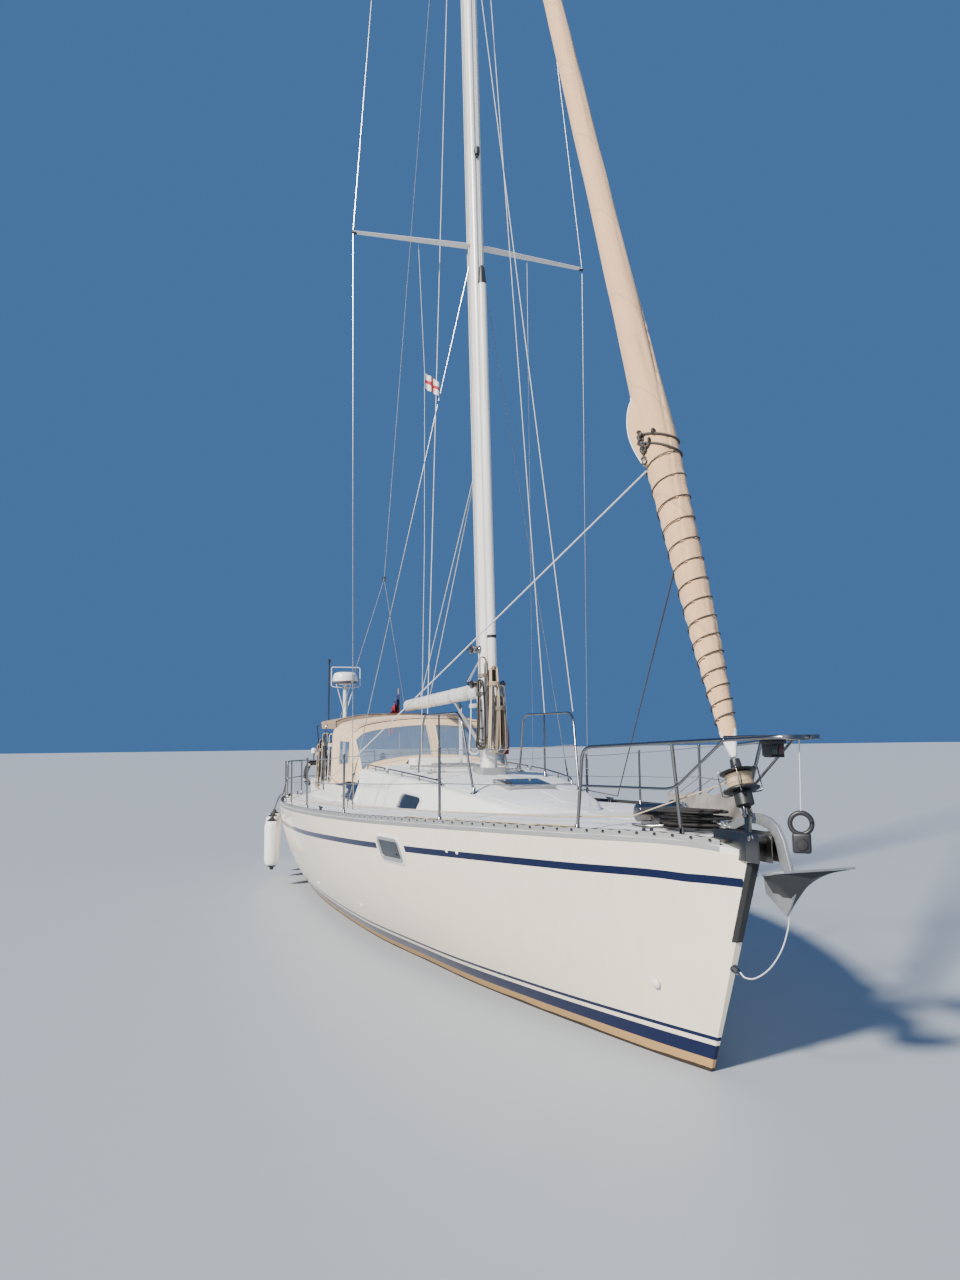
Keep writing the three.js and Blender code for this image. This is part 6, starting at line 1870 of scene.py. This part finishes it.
legs.append(turned("swivel", [(0.0, -0.014), (0.012, -0.009), (0.015, 0.0), (0.012, 0.009), (0.0, 0.014)],
                   swivel_at, segments=24))
put("boom_lines", outhaul + legs, white_rope, body="boom")
strop = [tube("strop", [(mast_x(5.45) - 0.08, 0, 5.48), swivel_at + Vector((0, 0, 0.045))], 0.006, 8),
         turned("bell", [(0.0, 0.016), (0.014, 0.017), (0.022, 0.026), (0.018, 0.046), (0.0, 0.056)],
                swivel_at, segments=24)]
put("lazy_line_strop", strop, black_plastic)
sheet_top = swing_at + rest_turn @ Vector((-1.02, 0, -0.17))
sheet_foot = Vector((sheet_top.x + 0.02, sheet_top.y, roof_top(sheet_top.x) + 0.07))
falls = []
for n in range(4):
    off = Vector((0.02 * (n - 1.5), 0.012 * (n % 2 - 0.5), 0))
    falls.append(tube("fall", [sheet_foot.lerp(sheet_top, k / 12) + off for k in range(13)], 0.005, 8))
falls = joined("mainsheet_falls", falls)
falls.data.materials.clear()
falls.data.materials.append(white_rope)
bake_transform(falls)
track = [block("track", (sheet_foot.x - 0.02, -0.62, roof_top(sheet_foot.x) - 0.02),
               (sheet_foot.x + 0.02, 0.62, roof_top(sheet_foot.x) + 0.028), 0.004),
         *pulley(sheet_foot + Vector((0, 0, -0.02)), 0.03)]
put("mainsheet_track", track, anodised)

# Helm: a moulded pedestal with a compass, an engine lever and a guard hoop, and a leather-covered wheel
# on stainless spokes.
shown("steering_pedestal", "pedestal_moulding", roof_white, "roof_gelcoat", smooth=40, bevel=(0.012, 3))
compass = turned("compass_cover", [(0.0, 1.468), (0.08, 1.468), (0.082, 1.5), (0.07, 1.55), (0.045, 1.578),
                                   (0.0, 1.5895)], (-4.62, 0, 0), segments=32)
dress(compass, black_plastic)
lever = [tube("lever", rounded([(-4.64, -0.118, 1.3), (-4.64, -0.15, 1.31), (-4.62, -0.155, 1.43)], 0.015),
              0.007, 10),
         turned("knob", [(0.0, -0.018), (0.014, -0.014), (0.018, 0.0), (0.014, 0.014), (0.0, 0.018)],
                (-4.62, -0.155, 1.44)),
         tube("guard",
              rounded([(-4.47, -0.17, 0.57), (-4.47, -0.17, 1.5), (-4.47, 0.17, 1.5), (-4.47, 0.17, 0.57)],
                      0.06), 0.0125, 12)]
put("helm_guard", lever, stainless)
wheel_x, wheel_z, wheel_radius = -4.79, 1.4, 0.416
circle = [Vector((wheel_x, wheel_radius * cos(a), wheel_z + wheel_radius * sin(a))) for a in around(72, 73)]
leather, tree, shader = finish("wheel_leather", (0.025, 0.022, 0.02), 0.55, slot="stainless")
stitches = add(tree, "TexVoronoi", {"Vector": place_of(tree), "Scale": 160.0})
coloured(shader, blend(tree, stitches.outputs["Distance"], (0.035, 0.03, 0.027), (0.012, 0.011, 0.01)))
relieve(shader, stitches.outputs["Distance"], 0.0008)
dress(tube("wheel_rim", circle, 0.0138, 16), leather, stands_for=["steering_wheel"], body="steering_wheel",
      smooth=60)
spokes = [turned("hub", [(0.0, -0.038), (0.032, -0.038), (0.038, -0.03), (0.038, 0.024), (0.03, 0.036),
                         (0.0, 0.038)], (wheel_x, 0, wheel_z), (1, 0, 0), 32)]
for k in range(6):
    turn = 2 * pi * (k + 0.5) / 6
    out = Vector((0, cos(turn), sin(turn)))
    centre = Vector((wheel_x, 0, wheel_z))
    spokes.append(tube("spoke", [centre + out * 0.03, centre + out * 0.41], [0.01, 0.007], 12))
put("wheel_spokes", spokes, stainless, body="steering_wheel", smooth=50)

# Sprayhood: tan acrylic canvas sewn over two hoops, with clear windows in its front and sides, bound
# edges and a seam over each hoop.
canvas, tree, shader = finish("canvas", (0.7, 0.57, 0.43), 0.9, Sheen_Weight=0.25, slot="canvas")
cover = stained(tree, (0.72, 0.52, 0.33), (0.4, 0.26, 0.15), 0.55, 0.8)
coloured(shader, cover["Colour"])
weave_on(shader, 260.0, 0.0005)
stained_canvas, tree, shader = finish("stained_canvas", (0.45, 0.33, 0.24), 0.95, slot="canvas")
cover = stained(tree, (0.33, 0.22, 0.15), (0.09, 0.055, 0.04), 0.9, 0.3)
bleached = cloudy(tree, 5.0, 6)
coloured(shader, blend(tree, maths(tree, "MULTIPLY", ramp(tree, bleached, 0.52, 0.7), 0.6), cover["Colour"],
                       (0.62, 0.5, 0.38)))
weave_on(shader, 260.0, 0.0005)
clear_vinyl, tree, shader = finish("clear_vinyl", (0.16, 0.21, 0.28), 0.08, Coat_Weight=0.5, slot="canvas")
ripples = cloudy(tree, 6.0, 4)
wire(shader.inputs["Alpha"], maths(tree, "MULTIPLY_ADD", ramp(tree, ripples, 0.4, 0.75), 0.22, 0.38))
relieve(shader, ripples, 0.01)
hood_arches = (
    # x, half, crown, shoulder, foot
    (-1.33, 1.08, 1.9, 0.12, 1.58),
    (-1.72, 1.15, 2.47, 0.13, 1.59),
    (-2.9, 1.215, 2.52, 0.13, 1.49),
)


def arch_point(arch, index):
    """A point of a hoop: index 0 at its starboard foot, 5 at its crown, 10 at its port foot."""
    x, half, crown, shoulder, foot = arch
    marks = [(-half, foot), (-half + 0.03, crown - shoulder - 0.19), (-half + 0.11, crown - shoulder - 0.04),
             (-half + 0.26, crown - 0.72 * shoulder), (-0.42 * half, crown - 0.22 * shoulder), (0, crown)]
    if marks[1][1] < foot + 0.01:
        marks[1] = (-half + 0.012, foot + 0.01)
    marks += [(-y, z) for y, z in marks[-2::-1]]
    low = min(int(index), 9)
    t = index - low
    (y0, z0), (y1, z1) = marks[low], marks[low + 1]
    if 1 <= low <= 8:
        before, after = marks[low - 1], marks[low + 2]
        return Vector((x, passing(before[0], y0, y1, after[0], t), passing(before[1], z0, z1, after[1], t)))
    return Vector((x, y0 + (y1 - y0) * t, z0 + (z1 - z0) * t))


def hood_point(index, along, sunk=0.0):
    """A point of the hood: along 0 at its front edge, 1 on its fore hoop, 2 on its aft hoop."""
    low = min(int(along), 1)
    t = along - low
    spot = arch_point(hood_arches[low], index).lerp(arch_point(hood_arches[low + 1], index), t)
    hollow = 0.02 * sin(pi * t) * (1 if low else 0.5)
    middle = Vector((spot.x, 0, 1.6))
    return spot + (middle - spot).normalized() * (hollow + sunk)


hood_windows = ((1.6, 4.87, 0.07, 0.8), (5.13, 8.4, 0.07, 0.8), (0.42, 0.95, 1.04, 1.64),
                (9.05, 9.58, 1.04, 1.64))


def in_window(index, along):
    return any(a < index < b and c < along < d for a, b, c, d in hood_windows)


def thickened(piece, thickness):
    """Turns an open sheet's faces up, drops its loose points and gives it thickness downwards."""
    with edited(piece) as work:
        bmesh.ops.delete(work, geom=[v for v in work.verts if not v.link_faces], context="VERTS")
        if sum(face.normal.z for face in work.faces) < 0:
            bmesh.ops.reverse_faces(work, faces=work.faces)
    return shape_with(piece, "SOLIDIFY", thickness=thickness, offset=-1)


columns = sorted({round(k / 10, 4) for k in range(101)} | {round(v, 4) for w in hood_windows for v in w[:2]})
rows = sorted({round(k / 24, 4) for k in range(49)} | {round(v, 4) for w in hood_windows for v in w[2:]})
spots = [hood_point(i, a, 0.004) for a in rows for i in columns]
clothes, panes = [], []
for r in range(len(rows) - 1):
    for c in range(len(columns) - 1):
        face = (r * len(columns) + c, (r + 1) * len(columns) + c, (r + 1) * len(columns) + c + 1,
                r * len(columns) + c + 1)
        middle = ((columns[c] + columns[c + 1]) / 2, (rows[r] + rows[r + 1]) / 2)
        (panes if in_window(*middle) else clothes).append(face)
cloth = thickened(meshed("hood_canvas", spots, clothes), 0.004)
dress(cloth, canvas, stands_for=["sprayhood"], smooth=50)
dress(thickened(meshed("hood_windows", spots, panes), 0.0012), clear_vinyl, smooth=50)
skirt_rings = []
for k in range(61):
    head = hood_point(1.2 + 7.6 * k / 60, 0, 0.004)
    x = head.x + 0.045 + 0.006 * sin(k * 0.8)
    rest = (hatch_z + 0.056 if abs(head.y) < 0.42 else roof_top(x, head.y)) + 0.003
    foot = Vector((x, head.y, min(rest, head.z - 0.002)))
    skirt_rings.append([head, foot, foot - Vector((0.003, 0, 0)), head - Vector((0.003, 0, 0))])
dress(lofted("hood_skirt", skirt_rings), canvas, smooth=50)
bindings = []
for fore, aft, low, high in hood_windows:
    loop = [hood_point(fore + (aft - fore) * k / 24, low, 0.002) for k in range(25)]
    loop += [hood_point(aft, low + (high - low) * k / 16, 0.002) for k in range(1, 17)]
    loop += [hood_point(aft + (fore - aft) * k / 24, high, 0.002) for k in range(1, 25)]
    loop += [hood_point(fore, high + (low - high) * k / 16, 0.002) for k in range(1, 17)]
    bindings.append(tube("binding", rounded(loop, 0.004, 2), 0.0055, 8))
for along in (0.0, 1.0, 2.0):
    bindings.append(tube("seam", [hood_point(k / 6, along, 0.002) for k in range(61)], 0.0065, 8))
bindings.append(tube("seam", [hood_point(5, 0.02 + 1.96 * k / 40, 0.003) for k in range(41)], 0.004, 8))
for side in (0, 10):
    bindings.append(tube("hem", [hood_point(side, 2 * k / 40, 0.003) for k in range(41)], 0.006, 8))
bound = weathered("bound_edge", (0.6, 0.48, 0.35), (0.36, 0.27, 0.19), 0.85, 0.5, 0.4, slot="canvas")
put("hood_bindings", bindings, bound, smooth=60)
hoops = [tube("hoop", [hood_point(k / 5, along, 0.022) for k in range(51)], 0.0125, 12)
         for along in (0.98, 1.98)]
hoops.append(tube("grab", [hood_point(k / 5, 2.0, -0.0) + Vector((0.0, 0, -0.05)) for k in range(10, 41)],
                  0.011, 12))
put("hood_hoops", hoops, stainless, smooth=60)

# Bimini: an awning of tan acrylic gone brown with weather, stretched over three stainless hoops, with a
# valance that hangs from its front edge.
awning_fore, awning_aft, awning_half, awning_crown = -3.06, -5.45, 1.13, 2.56
hoop_xs = (-3.17, -4.255, -5.34)


def awning_top(x, y):
    share = y / awning_half
    nearest = min(abs(x - hoop) for hoop in hoop_xs)
    sag = 0.022 * min(1, nearest / 0.5) ** 1.5 * (1 - share ** 2)
    return awning_crown - 0.003 - 0.12 * share ** 4 - sag


rings = []
for k in range(61):
    x = awning_fore + 0.004 + (awning_aft - awning_fore - 0.008) * k / 60
    edge = awning_half - 0.004 - 0.12 * k / 60
    side_z = awning_top(x, edge)
    hem = side_z - 0.122 + 0.006 * sin(k * 0.7) ** 2
    lip = [(-edge + 0.003 + 0.006 * sin(k * 0.9 + 1) ** 2, hem), (-edge + 0.001, side_z - 0.06),
           (-edge, side_z - 0.01)]
    over = [(y, awning_top(x, y)) for y in ((edge - 0.012) * (n / 24 - 1) for n in range(49))]
    outer = lip + over + [(-y, z) for y, z in lip[::-1]]
    rings.append([Vector((x, y, z)) for y, z in outer])
awning = lofted("bimini_canvas", rings, closed=False, capped=False)
dress(thickened(awning, 0.005), stained_canvas, stands_for=["bimini"], smooth=50)
front, valance_half = [], 1.11
for k in range(49):
    y = valance_half * (k / 24 - 1)
    top = awning_top(awning_fore, y) - 0.002
    drop = 0.115 + 0.004 * sin(k * 1.3)
    front.append([(awning_fore - ahead, y, top - down)
                  for ahead, down in ((0.004, 0), (0.002, drop), (0.007, drop), (0.01, 0))])
dress(lofted("bimini_valance", front), stained_canvas, smooth=50)
shown("bimini_frame", "bimini_hoops", stainless, smooth=60)

# Stern gear: the radar on its pole, a boarding ladder hinged on its bracket, the ensign on its staff, a
# horseshoe buoy, coiled lines on the rail, and three fenders along the starboard side.
white_plastic = weathered("white_plastic", (0.8, 0.8, 0.78), (0.5, 0.47, 0.42), 0.35, 0.3, 0.6,
                          slot="mast_paint")
pole_foot = Vector((-6.0, -0.5, 0))
pole = [tube("pole", [(-6.0, -0.5, 1.2203), (-6.0, -0.5, 3.1997)], 0.0378, 28),
        turned("foot", [(0.0, 1.2203), (0.075, 1.2203), (0.075, 1.228), (0.045, 1.232), (0.042, 1.3),
                        (0.0, 1.3)], pole_foot),
        turned("plate", [(0.0, 3.18), (0.12, 3.185), (0.12, 3.1997), (0.0, 3.1997)], pole_foot)]
put("radar_pole_tube", pole, mast_paint, stands_for=["radar_pole"], smooth=40)
dome_line = [(0.0, 3.2003), (0.15, 3.2005), (0.198, 3.204), (0.216, 3.215), (0.222, 3.23), (0.222, 3.238)]
cap_line = [(0.228, 3.238), (0.2315, 3.244), (0.2315, 3.256), (0.226, 3.312), (0.212, 3.368), (0.19, 3.396),
            (0.15, 3.408), (0.08, 3.4115), (0.0, 3.412)]
dome_base = turned("radar_base", dome_line + [(0.0, 3.239)], pole_foot, segments=56)
dress(dome_base, weathered("dark_base", (0.1, 0.1, 0.1), (0.05, 0.05, 0.05), 0.5, 0.3, 0.2),
      slot="mast_paint")
dress(turned("radar_cap", [(0.0, 3.2385)] + cap_line, pole_foot, segments=56), white_plastic,
      stands_for=["radar_dome"], smooth=40)
guard = [tube("guard",
              rounded([(-5.96, -0.53, 3.12), (-5.93, -0.765, 3.14), (-5.93, -0.765, 3.5),
                       (-5.93, -0.235, 3.5), (-5.93, -0.235, 3.14), (-5.96, -0.47, 3.12)], 0.04), 0.008, 10)]
guard += [tube("brace", [(-6.0, -0.5 + side * 0.03, 2.72), (-5.95, -0.5 + side * 0.17, 3.19)], 0.008, 10)
          for side in (-1, 1)]
put("radar_guard", guard, mast_paint)
aerials = [tube("aerial",
                rounded([(-6.05, -0.54, 2.36), (-6.2, -0.7, 2.4), (-6.2, -0.775, 2.52), (-6.2, -0.77, 3.6)],
                        0.05), 0.014, 12), tube("tip", [(-6.2, -0.77, z) for z in (3.6, 3.605, 3.665, 3.67)],
                                                [0.014, 0.026, 0.026, 0.014], 12),
           tube("stalk", [(-6.34, -1.02, 1.79), (-6.34, -1.02, 1.93)], 0.012, 12)]
put("whip_aerial", aerials, black_plastic)
puck = turned("aerial_dome", [(0.0, 1.92), (0.045, 1.925), (0.052, 1.94), (0.05, 1.985), (0.036, 2.015),
                              (0.0, 2.025)], (-6.34, -1.02, 0), segments=24)
dress(puck, white_plastic)
shown("boarding_ladder", "ladder_tubes", stainless, body="boarding_ladder", smooth=60)
shown("ladder_bracket", "ladder_lugs", stainless, smooth=40)
shown("ensign_staff", "ensign_pole", teak, "varnished_wood", smooth=50)

flag_cloth, tree, shader = finish("flag_cloth", (0.45, 0.02, 0.03), 0.85, Sheen_Weight=0.3)
flag_spot = marks_of(tree, "cut")
canton = maths(tree, "MULTIPLY", maths(tree, "LESS_THAN", flag_spot["X"], 0.5),
               maths(tree, "GREATER_THAN", flag_spot["Y"], 0.5))
coloured(shader, blend(tree, canton, (0.42, 0.018, 0.025), (0.012, 0.016, 0.07)))
weave_on(shader, 300.0, 0.0003)
cross_cloth, tree, shader = finish("cross_cloth", (0.78, 0.77, 0.74), 0.85, Sheen_Weight=0.3)
flag_spot = marks_of(tree, "cut")
cross = maths(tree, "MAXIMUM", band(tree, flag_spot["X"], 0.42, 0.58), band(tree, flag_spot["Y"], 0.38, 0.62))
coloured(shader, blend(tree, cross, (0.78, 0.77, 0.74), (0.5, 0.02, 0.03)))
weave_on(shader, 300.0, 0.0003)


def hung_flag(name, top, hoist, fly, pleat, folds, lean, material, spread=0.3, droop=0.55):
    """A flag that hangs in pleats from the upper end of its hoist."""
    across_steps, down_steps = folds * 10, 24
    spots, marks, faces = [], [], []
    for r in range(down_steps + 1):
        down = r / down_steps
        for c in range(across_steps + 1):
            out = c / across_steps
            swing = sin(2 * pi * folds * out)
            far = Vector((*lean, 0)) * (out * fly * spread)
            side = Vector((-lean[1], lean[0], 0)) * (pleat * swing * (0.7 + 0.5 * down))
            drop = hoist * down * (1 - 0.1 * out) + fly * droop * out
            spots.append(Vector(top) + far + side - Vector((0, 0, drop + 0.004 * sin(9 * out + 5 * down))))
            marks.append((out, 1 - down))
    for r in range(down_steps):
        for c in range(across_steps):
            a = r * (across_steps + 1) + c
            faces.append((a, a + 1, a + across_steps + 2, a + across_steps + 1))
    piece = meshed(name, spots, faces, "cut", [x for face in faces for v in face for x in marks[v]])
    dress(piece, material, smooth=180)


hung_flag("ensign", (-6.482, 0.62, 3.08), 0.46, 0.8, 0.045, 4, (0.55, -0.83), flag_cloth)
hung_flag("courtesy_flag", (0.46, -0.6, 6.57), 0.2, 0.24, 0.012, 2, (0.1, 0.995), cross_cloth,
          0.7, 0.45)

dark_canvas = weathered("dark_canvas", (0.028, 0.03, 0.036), (0.1, 0.09, 0.08), 0.85, 0.5, 0.5, 0.0,
                        (200, 0.0006), slot="dark_canvas")
buoy_at, buoy_wide, buoy_high, buoy_gap, buoy_steps = Vector((-6.402, -1.02, 1.53)), 0.135, 0.225, 32, 48
buoy_line = []
for k in range(buoy_steps + 1):
    turn = radians(buoy_gap - 90 + (360 - 2 * buoy_gap) * k / buoy_steps)
    buoy_line.append(buoy_at + Vector((0, buoy_wide * cos(turn), buoy_high * sin(turn))))
sizes = [0.047 * min(1, 0.55 + 0.45 * sin(pi * min(1, (k + 0.5) / 5)) if k < 3 else 1)
         for k in range(buoy_steps + 1)]
sizes[-3:] = sizes[2::-1]
dress(tube("horseshoe_cover", buoy_line, sizes, 20), dark_canvas, stands_for=["horseshoe_buoy"], smooth=60)
straps = []
for k in (6, 18, 30, 42):
    a, b = buoy_line[k], buoy_line[k + 1]
    way = (b - a).normalized()
    straps.append(tube("strap", [a - way * 0.02, a - way * 0.018, a + way * 0.018, a + way * 0.02],
                       [0.0475, 0.0495, 0.0495, 0.0475], 20))
put("horseshoe_straps", straps, bound, smooth=40)
hank("stern_hank_1", (-4.05, -1.135, 2.28), 0.82, 0.15, 8, 0.011, grey_rope, 65)
hank("stern_hank_2", (-3.45, -1.125, 2.26), 0.78, 0.14, 8, 0.011, white_rope, 75)
hank("stern_hank_3", (-4.6, -1.155, 2.1), 0.7, 0.14, 7, 0.011, tan_rope, 70)
hank("stern_hank_4", (-3.78, -1.15, 2.3), 0.9, 0.13, 6, 0.01, dark_rope, 80)
hank("stern_hank_5", (-4.32, -1.15, 2.18), 0.78, 0.15, 7, 0.011, worn_rope, 60)

vinyl = weathered("fender_vinyl", (0.8, 0.8, 0.77), (0.42, 0.4, 0.35), 0.45, 0.5, 0.8, 0.0, None,
                  Coat_Weight=0.2, slot="fender_vinyl")
fender_line = [(0.0, 0.0), (0.022, 0.0), (0.028, 0.014), (0.03, 0.03), (0.052, 0.045), (0.082, 0.07),
               (0.1, 0.105), (0.1095, 0.155), (0.1095, 0.39)]
fender_high = 0.78
for n, x in enumerate((-3.3, -4.2, -4.8)):
    spot = Vector((x, -(deck_half(x) + 0.1145), 0.25))
    body = fender_line + [(radius, fender_high - far) for radius, far in fender_line[::-1]]
    dress(turned(f"fender_{n + 1}_body", body, spot, segments=40), vinyl, stands_for=[f"fender_{n + 1}"],
          smooth=40)
    caps = []
    for end in (0, 1):
        line = [(radius + 0.0006, far) for radius, far in fender_line[1:6]]
        line = [(0.0, -0.0002)] + line + [(0.0, line[-1][1])]
        if end:
            line = [(radius, fender_high - far) for radius, far in line]
        caps.append(turned("cap", line, spot, segments=40))
    put(f"fender_{n + 1}_ends", caps, black_plastic)
    rail = row_at(x)
    top = spot + Vector((0, 0, fender_high))
    over = [top, Vector((x, -(rail[2] + 0.02), rail[3] + 0.115)),
            Vector((x, -(rail[2] - 0.035), rail[3] + 0.125)), on_rail(x, -1, rail_mid)]
    dress(tube(f"fender_{n + 1}_lanyard", rounded(over, 0.02, 4), 0.0048, 10), dark_rope)

# Floor: a plain grey sheet at the waterline, far wider than the view, that takes the shadow. It is stage
# and no part of the boat.
floor_finish = weathered("floor_finish", (0.38, 0.41, 0.44), (0.33, 0.36, 0.39), 0.5, 0.2, 0)
deselect()
bpy.ops.mesh.primitive_grid_add(x_subdivisions=2, y_subdivisions=2, size=600, location=(0, 0, 0))
ground = bpy.context.object
ground.name = "floor"
ground.data.materials.append(floor_finish)
ground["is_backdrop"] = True

low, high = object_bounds()
